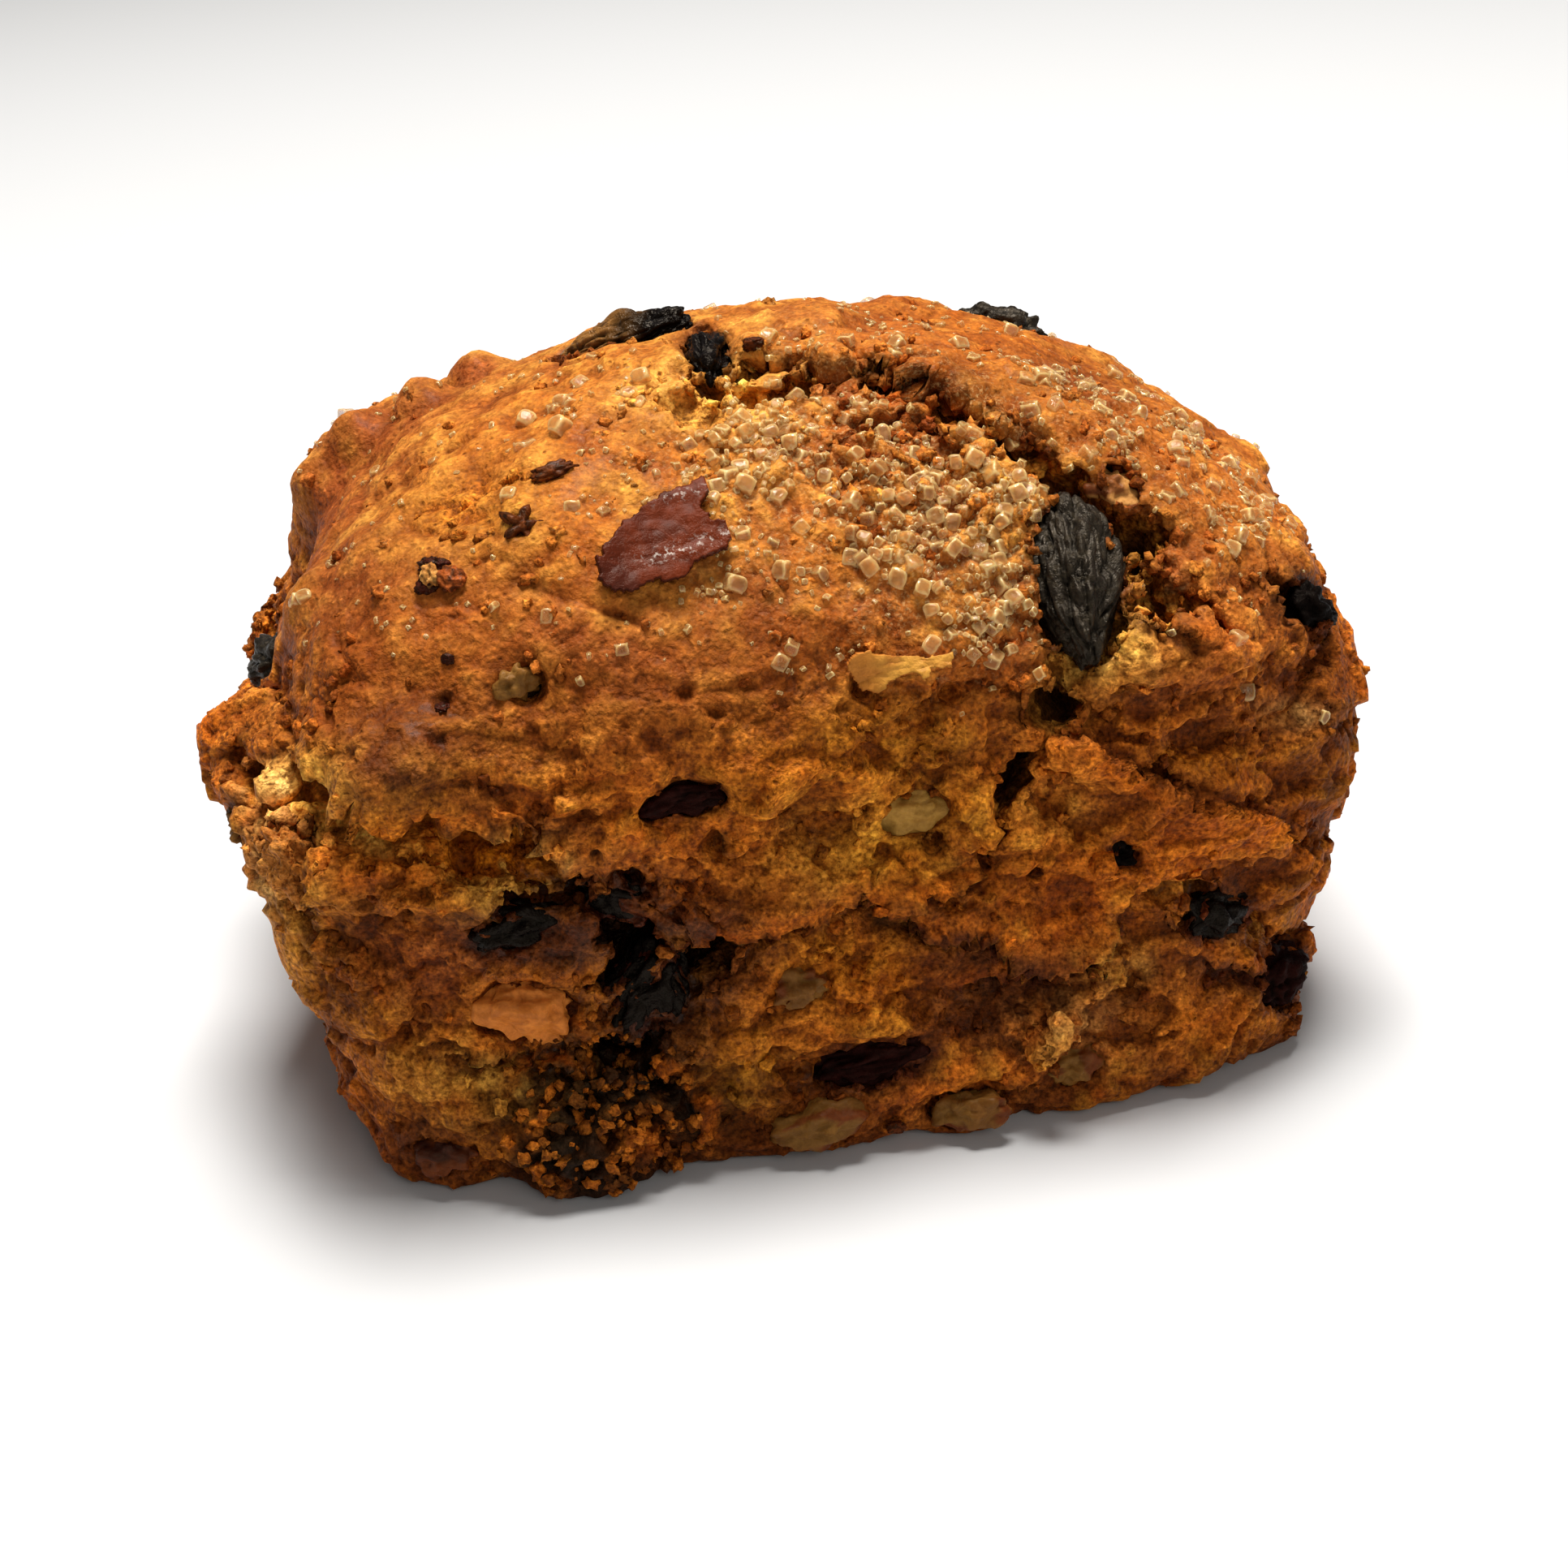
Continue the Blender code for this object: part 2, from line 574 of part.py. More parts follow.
def add_flake(flake: Flake, crust: BVHTree, material: bpy.types.Material) -> bpy.types.Object:
    """Lay a thin ragged chip over the crust, clear of it by the gap."""
    spot, normal, _, _ = crust.find_nearest(mm(flake.place))
    along = mm(flake.heading)
    along = (along - normal * along.dot(normal)).normalized()
    across = normal.cross(along)
    mesh = bmesh.new()
    bmesh.ops.create_grid(mesh, x_segments=5, y_segments=4, size=1.0)
    for vert in mesh.verts:
        u, v = vert.co.x, vert.co.y
        pull = 1.0 - 0.16 * u * u * v * v
        wave = flake.ragged * noise.noise(Vector((u * 1.9, v * 1.9, flake.length)))
        x = (u * flake.length / 2.0 + wave * abs(u)) * pull
        y = (v * flake.width / 2.0 + wave * abs(v)) * pull
        lift = flake.curl * (u * u + 0.5 * v * v)
        over = spot + (along * x + across * y + normal * TALL) * MM
        hit, _, _, _ = crust.ray_cast(over, -normal)
        vert.co = hit + normal * lift * MM
    bmesh.ops.smooth_vert(mesh, verts=mesh.verts[:], factor=0.4,
                          use_axis_x=True, use_axis_y=True, use_axis_z=True)
    tests = [vert.co.copy() for vert in mesh.verts]
    tests += [face.calc_center_median() for face in mesh.faces]
    tests += [(edge.verts[0].co + edge.verts[1].co) / 2.0 for edge in mesh.edges]
    sunk = 0.0
    for test in tests:
        hit, _, _, _ = crust.ray_cast(test + normal * TALL * MM, -normal)
        sunk = max(sunk, (hit - test).dot(normal))
    for vert in mesh.verts:
        vert.co += normal * (sunk + GAP * MM)
    lifted = bmesh.ops.extrude_face_region(mesh, geom=mesh.faces[:])
    upper = [part for part in lifted["geom"] if isinstance(part, bmesh.types.BMVert)]
    for vert in upper:
        vert.co += normal * flake.thickness * MM
    bmesh.ops.triangulate(mesh, faces=mesh.faces[:])
    bmesh.ops.recalc_face_normals(mesh, faces=mesh.faces[:])
    return new_object(flake.name, mesh, material)


def gather(name: str, members: list[bpy.types.Object]) -> bpy.types.Collection:
    """Put objects into a collection of their own."""
    group = bpy.data.collections.new(name)
    for member in members:
        group.objects.link(member)
        member.hide_render = True
        member.display_type = "WIRE"
    return group


def combine(body: bpy.types.Object, group: bpy.types.Collection, operation: str) -> None:
    """Join or cut a whole collection into the body and drop the collection's objects."""
    boolean = body.modifiers.new(group.name, "BOOLEAN")
    boolean.operation = operation
    boolean.operand_type = "COLLECTION"
    boolean.collection = group
    boolean.solver = "EXACT"
    boolean.use_self = operation == "DIFFERENCE"
    apply_modifiers(body)
    for member in list(group.objects):
        bpy.data.objects.remove(member)
    bpy.data.collections.remove(group)


def keep_largest(body: bpy.types.Object) -> None:
    """Drop every scrap and sealed hollow, so that one closed skin is left."""
    mesh = bmesh.new()
    mesh.from_mesh(body.data)
    bmesh.ops.remove_doubles(mesh, verts=mesh.verts[:], dist=2e-6)
    bmesh.ops.dissolve_degenerate(mesh, edges=mesh.edges[:], dist=2e-6)
    seen = set()
    skins = []
    for first in mesh.verts:
        if first in seen:
            continue
        skin = [first]
        seen.add(first)
        for vert in skin:
            for edge in vert.link_edges:
                other = edge.other_vert(vert)
                if other not in seen:
                    seen.add(other)
                    skin.append(other)
        skins.append(skin)
    skins.sort(key=len, reverse=True)
    for skin in skins[1:]:
        bmesh.ops.delete(mesh, geom=skin, context="VERTS")
    bmesh.ops.triangulate(mesh, faces=mesh.faces[:])
    mesh.to_mesh(body.data)
    mesh.free()


def sugar_wish(place: Vector) -> float:
    """Say how thickly sugar lies at a place on the crust, from 0 to 1."""
    x, y, z = place / MM
    front = math.exp(-((x - 11.0) / 10.0) ** 2 - ((y + 20.0) / 8.0) ** 2)
    middle = 0.55 * math.exp(-((x + 2.0) / 20.0) ** 2 - ((y + 14.0) / 11.0) ** 2)
    right = 0.42 * math.exp(-((x - 30.0) / 12.0) ** 2 - ((y + 6.0) / 18.0) ** 2)
    rest = 0.14 if z > 40.0 else 0.0
    return min(1.0, front + middle + right + rest)


def sugar_grains(crust: BVHTree, body: BVHTree, clear: list[BVHTree],
                 material: bpy.types.Material) -> list[bpy.types.Object]:
    """Strew sugar grains over the top, the largest first and evenly apart."""
    chance = random.Random(SUGAR_SEED)
    grains = []
    taken = []
    tries = 0
    while len(grains) < SUGAR_COUNT and tries < 20000:
        tries += 1
        share = len(grains) / SUGAR_COUNT
        size = (SUGAR_LARGEST + (SUGAR_SMALLEST - SUGAR_LARGEST) * share) * MM
        start = mm((chance.uniform(-40, 43), chance.uniform(-31, 29), 90.0))
        spot, normal, _, _ = crust.ray_cast(start, Vector((0.0, 0.0, -1.0)))
        if spot is None or normal.z < 0.2 or chance.random() > sugar_wish(spot):
            continue
        if any((spot - other).length < SUGAR_SPACING * MM for other in taken):
            continue
        near, _, _, apart = body.find_nearest(spot)
        if apart > 0.02 * MM:
            continue
        ring = [spot + Vector((math.cos(a), math.sin(a), 0.0)) * size for a in (0.0, 1.6, 3.1, 4.7)]
        if any(body.find_nearest(around)[3] > 0.9 * MM for around in ring):
            continue
        if any(tree.find_nearest(spot)[3] < size + SUGAR_CLEAR * MM for tree in clear):
            continue
        mesh = bmesh.new()
        bmesh.ops.create_cube(mesh, size=size)
        grain = new_object(f"sugar_{len(grains)}", mesh, material)
        spin = chance.uniform(0.0, math.tau)
        lean = chance.uniform(0.15, 0.7)
        tilt = normal.to_track_quat("Z", "Y").to_matrix().to_4x4()
        turn = Matrix.Rotation(spin, 4, "Z") @ Matrix.Rotation(lean, 4, "X")
        grain.matrix_world = Matrix.Translation(spot) @ tilt @ turn
        grains.append(grain)
        taken.append(spot)
    return grains


def main() -> None:
    """Build the scone and its toppings."""
    for old in list(bpy.data.objects):
        bpy.data.objects.remove(old)
    crust_finish = finish("baked_crust", CRUST_BROWN, 0.75)
    raisin_finish = finish("raisin_skin", RAISIN_BLACK, 0.42)
    walnut_finish = finish("walnut", WALNUT_TAN, 0.55)
    flake_finish = finish("glazed_flake", FLAKE_RED, 0.35)

    shape = block_mesh()
    add_relief(shape)
    body = new_object("scone_body", shape, crust_finish)
    crust = surface_of(body)
    cutters = [crack_cutter(crack, crust, crust_finish) for crack in CRACKS]
    combine(body, gather("cracks", cutters), "DIFFERENCE")
    thin_out(body)

    pieces = []
    pockets = []
    for topping in RAISINS:
        piece, pocket = add_topping(topping, crust, raisin_finish, 0.9, 1.9)
        pieces.append(piece)
        pockets.append(pocket)
    for topping in NUTS:
        piece, pocket = add_topping(topping, crust, walnut_finish, 0.7, 2.6)
        pieces.append(piece)
        pockets.append(pocket)
    combine(body, gather("pockets", pockets), "DIFFERENCE")
    keep_largest(body)

    cut_body = surface_of(body)
    for flake in FLAKES:
        finish_of = walnut_finish if flake.name.startswith("nut") else flake_finish
        pieces.append(add_flake(flake, cut_body, finish_of))

    bpy.context.view_layer.update()
    clear = []
    for piece in pieces:
        mesh = bmesh.new()
        mesh.from_mesh(piece.data)
        mesh.transform(piece.matrix_world)
        clear.append(BVHTree.FromBMesh(mesh))
        mesh.free()
    grains = sugar_grains(crust, cut_body, clear, crust_finish)
    combine(body, gather("sugar", grains), "UNION")
    keep_largest(body)

    origin = bpy.data.objects.new("scone_origin", None)
    bpy.context.scene.collection.objects.link(origin)
    origin.location = -mm(CENTRE)
    for piece in [body, *pieces]:
        piece.parent = origin


main()
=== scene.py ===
"""A fruit scone as it looks: torn golden crust, raisins, walnut bits, a glazed flake and sugar.

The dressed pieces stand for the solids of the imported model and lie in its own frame.  Sizes are
in millimetres in the dough's own frame, and Dough.world turns them into metres of the model.
"""

import logging
import math
from dataclasses import dataclass, field
from enum import Enum

import bpy
import numpy as np
from mathutils import Matrix, Vector, noise
from mathutils.bvhtree import BVHTree


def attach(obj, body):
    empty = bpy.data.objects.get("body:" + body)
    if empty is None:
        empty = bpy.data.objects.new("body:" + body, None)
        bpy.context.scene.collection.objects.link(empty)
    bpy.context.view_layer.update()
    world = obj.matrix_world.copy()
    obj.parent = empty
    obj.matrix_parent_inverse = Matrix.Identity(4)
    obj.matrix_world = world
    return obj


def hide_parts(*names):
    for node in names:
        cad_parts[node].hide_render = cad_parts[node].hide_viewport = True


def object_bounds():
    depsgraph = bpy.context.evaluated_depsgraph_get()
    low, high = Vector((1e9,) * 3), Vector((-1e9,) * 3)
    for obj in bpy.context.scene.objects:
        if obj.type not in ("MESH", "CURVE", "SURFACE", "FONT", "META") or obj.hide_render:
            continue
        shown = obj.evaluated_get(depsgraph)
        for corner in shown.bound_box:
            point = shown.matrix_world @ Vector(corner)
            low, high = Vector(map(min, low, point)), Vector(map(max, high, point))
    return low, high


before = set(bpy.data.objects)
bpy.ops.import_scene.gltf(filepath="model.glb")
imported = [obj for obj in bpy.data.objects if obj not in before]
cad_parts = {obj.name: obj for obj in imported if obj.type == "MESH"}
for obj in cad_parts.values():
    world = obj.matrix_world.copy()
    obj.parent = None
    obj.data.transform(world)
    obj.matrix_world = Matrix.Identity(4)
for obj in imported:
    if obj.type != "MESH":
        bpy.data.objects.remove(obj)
CAD_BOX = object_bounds()

LOG = logging.getLogger("scone")
MM = 0.001
ROOT = "root"

Array = np.ndarray
Solid = bpy.types.Object
Socket = bpy.types.NodeSocket
Point = tuple[float, float, float]
Pixel = tuple[float, float]
Route = tuple[Point, ...]
Stop = tuple[Vector, float, float]


# ------------------------------------------------------------------ colours and small sums
def linear(red: float, green: float, blue: float) -> Point:
    """Turn a display colour of 0 to 255 into linear light."""
    shares = (red / 255.0, green / 255.0, blue / 255.0)
    return tuple(c / 12.92 if c <= 0.04045 else ((c + 0.055) / 1.055) ** 2.4 for c in shares)


class Tone(Enum):
    """The colours of the baked dough and of what is baked into it."""

    GOLD = linear(185, 114, 44)
    PALE_GOLD = linear(206, 146, 64)
    AMBER = linear(177, 98, 36)
    RUST = linear(165, 89, 25)
    ORANGE = linear(188, 94, 20)
    RED_BROWN = linear(140, 70, 30)
    BROWN = linear(116, 58, 17)
    DARK_BROWN = linear(84, 38, 12)
    OLIVE = linear(158, 88, 20)
    CRUMB = linear(206, 146, 60)
    CRUMB_OLIVE = linear(196, 134, 36)
    TORN = linear(190, 108, 32)
    RECESS = linear(196, 108, 12)
    PALE = linear(222, 172, 104)
    PURPLE = linear(96, 38, 28)
    PLUM = linear(58, 20, 14)
    CHAR = linear(26, 14, 8)
    SUGAR = linear(250, 212, 142)
    SYRUP = linear(214, 148, 76)
    YELLOW = linear(246, 188, 92)
    RAISIN = linear(27, 23, 18)
    RAISIN_BLACK = linear(11, 7, 6)
    RAISIN_BROWN = linear(122, 84, 42)
    RAISIN_RED = linear(30, 9, 7)
    WALNUT = linear(190, 134, 72)
    WALNUT_CREAM = linear(170, 128, 58)
    WALNUT_TOAST = linear(206, 122, 50)
    WALNUT_DULL = linear(120, 82, 34)
    WALNUT_SKIN = linear(104, 50, 20)
    WALNUT_DARK = linear(58, 26, 18)
    WALNUT_GREY = linear(178, 116, 54)
    FLAKE = linear(100, 38, 16)
    FLAKE_EDGE = linear(62, 24, 16)


def ease(low: float, high: float, value: Array) -> Array:
    """Rise smoothly from 0 at low to 1 at high."""
    share = np.clip((value - low) / (high - low), 0.0, 1.0)
    return share * share * (3.0 - 2.0 * share)


def noise_at(places: Array, size: float, shift: float | Point = 0.0) -> Array:
    """Sample smooth noise.

    Args:
        places: Places in millimetres, one row each.
        size: Size of one swell in millimetres.
        shift: Offset that makes the pattern another one.

    Returns:
        One value of about -0.6 to 0.6 for each place.
    """
    scaled = (places / size + np.asarray(shift)).tolist()
    return np.fromiter((noise.noise(place) for place in scaled), float, len(scaled))


def crease_at(places: Array, size: float, width: float, shift: float = 0.0) -> Array:
    """Give 1 on thin winding lines and 0 away from them; width is the share that a line takes."""
    value = noise_at(places, size, shift) / width
    return np.exp(-value * value)


def cells_at(places: Array, size: float) -> Array:
    """Measure how near places are to the middle of a pore, from 0 to 1, with pores a size apart.

    Args:
        places: Places in millimetres, one row each.
        size: Spacing of the pores in millimetres.

    Returns:
        One value for each place.
    """
    scaled = (places / size).tolist()
    gaps = np.fromiter((noise.voronoi(place)[0][0] for place in scaled), float, len(scaled))
    return np.clip(1.0 - gaps * 2.2, 0.0, 1.0)


def plain(tone: Tone, count: int) -> Array:
    """Give rows of one tone."""
    return np.tile(tone.value, (count, 1))


def blend(colours: Array, tone: Tone, share: Array) -> Array:
    """Mix a tone into colours by a share for each row."""
    share = np.clip(share, 0.0, 1.0)[:, None]
    return colours * (1.0 - share) + np.asarray(tone.value) * share


def unit(vectors: Array) -> Array:
    """Give each row a length of one."""
    return vectors / np.maximum(np.linalg.norm(vectors, axis=1, keepdims=True), 1e-12)


def distance(places: Array, middle: Vector | Point | Array) -> Array:
    """Measure how far places are from one place."""
    return np.linalg.norm(places - np.asarray(middle), axis=1)


# ------------------------------------------------------------------ work on meshes
def pick(piece: Solid) -> None:
    """Select one object alone and make it the active one.

    Args:
        piece: The object to select.
    """
    bpy.ops.object.select_all(action="DESELECT")
    piece.select_set(True)
    bpy.context.view_layer.objects.active = piece


def round_off(piece: Solid) -> None:
    """Shade an object smooth."""
    pick(piece)
    bpy.ops.object.shade_smooth()


def edit(piece: Solid, step: str, **settings: object) -> None:
    """Run one edit-mode step on the whole of a mesh.

    Args:
        piece: The object to change.
        step: Blender's name of the mesh operator.
        settings: Settings of that operator.
    """
    pick(piece)
    bpy.ops.object.mode_set(mode="EDIT")
    bpy.ops.mesh.select_all(action="SELECT")
    getattr(bpy.ops.mesh, step)(**settings)
    bpy.ops.object.mode_set(mode="OBJECT")


def read_places(piece: Solid) -> Array:
    """Read the places of a mesh's vertices, one row each.

    Args:
        piece: The object.

    Returns:
        Places as the mesh holds them.
    """
    flat = np.empty(len(piece.data.vertices) * 3, np.float32)
    piece.data.vertices.foreach_get("co", flat)
    return flat.reshape(-1, 3).astype(float)


def write_places(piece: Solid, places: Array) -> None:
    """Write the places of a mesh's vertices, one row each."""
    piece.data.vertices.foreach_set("co", places.astype(np.float32).ravel())
    piece.data.update()


def read_normals(piece: Solid) -> Array:
    """Read the normals of a mesh's vertices, one row each.

    Args:
        piece: The object.

    Returns:
        Normals of length one.
    """
    flat = np.empty(len(piece.data.vertices) * 3, np.float32)
    piece.data.vertex_normals.foreach_get("vector", flat)
    return flat.reshape(-1, 3).astype(float)


def modify(piece: Solid, kind: str, **settings: object) -> None:
    """Add a modifier of Blender's kind with its settings, and apply it.

    Args:
        piece: The object to change.
        kind: Blender's name of the modifier.
        settings: Values of its properties.
    """
    pick(piece)
    modifier = piece.modifiers.new(kind.lower(), kind)
    for name, value in settings.items():
        setattr(modifier, name, value)
    bpy.ops.object.modifier_apply(modifier=modifier.name)


def join(pieces: list[Solid]) -> Solid:
    """Join objects into the first of them.

    Args:
        pieces: The objects.

    Returns:
        The joined object.
    """
    bpy.ops.object.select_all(action="DESELECT")
    for piece in pieces:
        piece.select_set(True)
    bpy.context.view_layer.objects.active = pieces[0]
    bpy.ops.object.join()
    return pieces[0]


def tree_of(piece: Solid) -> BVHTree:
    """Make a search tree of an object's mesh."""
    return BVHTree.FromObject(piece, bpy.context.evaluated_depsgraph_get())


def ball(level: int) -> Solid:
    """Add a ball of radius one, level 1 to 6 from coarse to fine.

    Args:
        level: How fine it is, from 1 to 6.

    Returns:
        The ball.
    """
    bpy.ops.object.select_all(action="DESELECT")
    bpy.ops.mesh.primitive_ico_sphere_add(subdivisions=level, radius=1.0)
    return bpy.context.object


def cube(cuts: int) -> Solid:
    """Add a cube from -1 to 1 whose edges have a count of cuts.

    Args:
        cuts: Count of cuts.

    Returns:
        The cube.
    """
    bpy.ops.object.select_all(action="DESELECT")
    bpy.ops.mesh.primitive_cube_add(size=2.0)
    piece = bpy.context.object
    edit(piece, "subdivide", number_cuts=cuts)
    return piece


def grid(across: int, along: int) -> Solid:
    """Add a flat grid from -1 to 1 with a count of squares across and along.

    Args:
        across: Count of squares across.
        along: Count of squares along.

    Returns:
        The grid.
    """
    bpy.ops.object.select_all(action="DESELECT")
    bpy.ops.mesh.primitive_grid_add(x_subdivisions=across, y_subdivisions=along, size=2.0)
    return bpy.context.object


def lay(place: Vector, heading: Vector, normal: Vector) -> Matrix:
    """Give the turn that lays X along a heading at a place, with Z out along the normal.

    Args:
        place: Where the piece's own middle comes to lie.
        heading: The way that X is to point, roughly.
        normal: The way that Z points.

    Returns:
        The matrix that moves a piece there.
    """
    along = (heading - normal * heading.dot(normal)).normalized()
    turn = Matrix((along, normal.cross(along), normal)).transposed().to_4x4()
    return Matrix.Translation(place) @ turn


def paint(piece: Solid, name: str, values: Array) -> None:
    """Store a colour, or three shares, for each vertex.

    Args:
        piece: The object.
        name: The attribute's name.
        values: Three values for each vertex.
    """
    layer = piece.data.color_attributes.get(name)
    if layer is None:
        layer = piece.data.color_attributes.new(name, "FLOAT_COLOR", "POINT")
    rows = np.ones((len(values), 4), np.float32)
    rows[:, :3] = values
    layer.data.foreach_set("color", rows.ravel())


# ------------------------------------------------------------------ finishes
COLOUR = "bake_colour"
MARKS = "bake_marks"


class Nodes:
    """A material's nodes, with a short call for each kind that is used here."""

    def __init__(self, name: str) -> None:
        """Start a material with its shader.

        Args:
            name: The material's name.
        """
        self.material = bpy.data.materials.new(name)
        self.material.use_nodes = True
        self.tree = self.material.node_tree
        self.shader = self.tree.nodes["Principled BSDF"]
        self.places = self.add("TexCoord", "Object", {})

    def put(self, target: Socket, value: object) -> None:
        """Link a socket to an input, or set the input to a number or colour.

        Args:
            target: The input.
            value: A socket, number or colour.
        """
        if isinstance(value, Socket):
            self.tree.links.new(value, target)
        elif isinstance(value, tuple) and target.type == "RGBA":
            target.default_value = (*value, 1.0)
        else:
            target.default_value = value

    def add(self, kind: str, output: int | str, inputs: dict, **settings: str) -> Socket:
        """Add a node.

        Args:
            kind: Blender's name of the node after "ShaderNode".
            output: Which output is wanted.
            inputs: What each input is linked or set to.
            settings: The node's own choices.

        Returns:
            The output.
        """
        node = self.tree.nodes.new("ShaderNode" + kind)
        for name, value in settings.items():
            setattr(node, name, value)
        for name, value in inputs.items():
            self.put(node.inputs[name], value)
        return node.outputs[output]

    def set(self, **inputs: object) -> bpy.types.Material:
        """Set the shader's inputs, with a name's words joined by underscores; give the material.

        Args:
            inputs: What each input is linked or set to.

        Returns:
            The finished material.
        """
        for name, value in inputs.items():
            self.put(self.shader.inputs[name.replace("_", " ")], value)
        return self.material

    def colour(self) -> Socket:
        """Read the colour that is painted on the piece."""
        return self.add("Attribute", "Color", {}, attribute_name=COLOUR)

    def marks(self) -> list[Socket]:
        """Read the three shares that are painted on the piece."""
        shares = self.add("Attribute", "Color", {}, attribute_name=MARKS)
        return list(self.add("SeparateColor", 0, {0: shares}).node.outputs)[:3]

    def noise(self, size: float, detail: float = 2.0, rough: float = 0.5, bend: float = 0.0) -> Socket:
        """Add noise with swells of a size in millimetres."""
        return self.add("TexNoise", "Fac", {"Vector": self.places, "Scale": 1.0 / (size * MM),
                                            "Detail": detail, "Roughness": rough, "Distortion": bend})

    def cells(self, size: float) -> Socket:
        """Add the distance to the nearest of many points, spaced by a size in millimetres."""
        return self.add("TexVoronoi", "Distance", {"Vector": self.places, "Scale": 1.0 / (size * MM)})

    def spread(self, value: Socket, low: float, high: float, start: float = 0.0,
               end: float = 1.0) -> Socket:
        """Map low to high onto start to end, held at both ends."""
        return self.add("MapRange", "Result", {"Value": value, "From Min": low, "From Max": high,
                                               "To Min": start, "To Max": end})

    def sum(self, kind: str, first: object, second: object) -> Socket:
        """Join two values by a kind of sum such as ADD."""
        return self.add("Math", 0, {0: first, 1: second}, operation=kind)

    def times(self, first: object, second: object) -> Socket:
        """Multiply two values."""
        return self.sum("MULTIPLY", first, second)

    def mix(self, share: object, first: object, second: object, kind: str = "MIX") -> Socket:
        """Mix two colours by a share."""
        return self.add("Mix", 2, {0: share, 6: first, 7: second}, data_type="RGBA", blend_type=kind)

    def multiply(self, share: object, first: object, second: object) -> Socket:
        """Multiply two colours by a share."""
        return self.mix(share, first, second, "MULTIPLY")

    def shade(self, colour: Socket, share: object, value: Socket, low: float, high: float,
              dark: Point, light: Point) -> Socket:
        """Multiply a colour by a factor that a pattern moves from dark to light.

        Args:
            colour: The colour so far.
            share: How strongly it is multiplied.
            value: The pattern.
            low: Where the pattern is dark.
            high: Where the pattern is light.
            dark: The factor there.
            light: The factor there.

        Returns:
            The shaded colour.
        """
        return self.multiply(share, colour, self.mix(self.spread(value, low, high), dark, light))

    def bump(self, height: Socket, rise: float, strength: object = 1.0,
             under: Socket | None = None) -> Socket:
        """Roughen the surface by a height, with its rise in millimetres, over what is under it."""
        inputs = {"Distance": rise * MM, "Strength": strength, "Height": height}
        return self.add("Bump", "Normal", inputs if under is None else {**inputs, "Normal": under})


@dataclass(frozen=True)
class CrustFinish:
    """Baked crust and crumb: mottled, pored and dry, with painted shade in its pores, frosted sugar and
    glossier dark spots.

    The vertex marks hold frost, gloss and crumb.
    """

    name: str = "baked_crust_look"
    slot: str = "baked_crust"
    subsurface: float = 0.06
    scatter: float = 0.0016

    def material(self) -> bpy.types.Material:
        """Make the material.

        Returns:
            The material.
        """
        nodes = Nodes(self.name)
        colour = nodes.colour()
        frost, gloss, crumb = nodes.marks()
        fine = nodes.noise(0.42, 3.0, 0.62)
        small = nodes.noise(1.1, 3.0, 0.6, 0.3)
        broad = nodes.noise(3.4, 3.0, 0.6, 0.5)
        pores = nodes.cells(0.95)
        colour = nodes.shade(colour, nodes.spread(crumb, 0.0, 0.5, 0.45, 1.0), fine, 0.32, 0.68,
                             (0.38, 0.30, 0.21), (1.66, 1.66, 1.58))
        colour = nodes.shade(colour, 0.85, small, 0.34, 0.66, (0.66, 0.54, 0.42), (1.30, 1.34, 1.28))
        colour = nodes.shade(colour, 0.75, broad, 0.36, 0.64, (0.82, 0.66, 0.50), (1.18, 1.24, 1.26))
        dots = nodes.times(nodes.spread(nodes.cells(0.62), 0.10, 0.26, 1.0, 0.0),
                           nodes.spread(broad, 0.40, 0.56, 0.1, 0.75))
        colour = nodes.multiply(dots, colour, (1.75, 1.85, 1.9))
        # painted shade: the pores that the bump sinks are darkened
        holes = nodes.times(nodes.spread(pores, 0.10, 0.24, 1.0, 0.0),
                            nodes.spread(small, 0.42, 0.56, 0.0, 0.75))
        colour = nodes.multiply(holes, colour, (0.30, 0.20, 0.14))
        dust = nodes.times(frost, nodes.spread(nodes.noise(0.30, 2.0, 0.7), 0.52, 0.66))
        dulled = nodes.times(dust, 0.30)
        colour = nodes.mix(dulled, colour, Tone.SUGAR.value)
        rough = nodes.sum("SUBTRACT", nodes.spread(small, 0.35, 0.65, 0.60, 0.78), nodes.times(gloss, 0.36))
        low = nodes.bump(broad, 0.34, 0.8)
        mid = nodes.bump(small, 0.42, nodes.spread(crumb, 0.0, 1.0, 0.75, 1.0), low)
        pitted = nodes.bump(nodes.spread(pores, 0.0, 0.32), 0.16,
                            nodes.spread(small, 0.40, 0.58, 0.05, 0.9), mid)
        grain = nodes.sum("ADD", nodes.times(fine, 0.55),
                          nodes.spread(nodes.cells(0.52), 0.0, 0.6, 0.5, 0.0))
        top = nodes.bump(grain, 0.30, nodes.spread(crumb, 0.0, 0.6, 0.50, 1.0), pitted)
        return nodes.set(Base_Color=colour, Roughness=nodes.sum("SUBTRACT", rough, dulled), Normal=top,
                         Specular_IOR_Level=0.13, Specular_Tint=(1.0, 0.74, 0.44),
                         Coat_Weight=nodes.times(gloss, 0.10), Coat_Roughness=0.16,
                         Subsurface_Weight=self.subsurface, Subsurface_Scale=self.scatter,
                         Subsurface_Radius=(1.0, 0.45, 0.18))


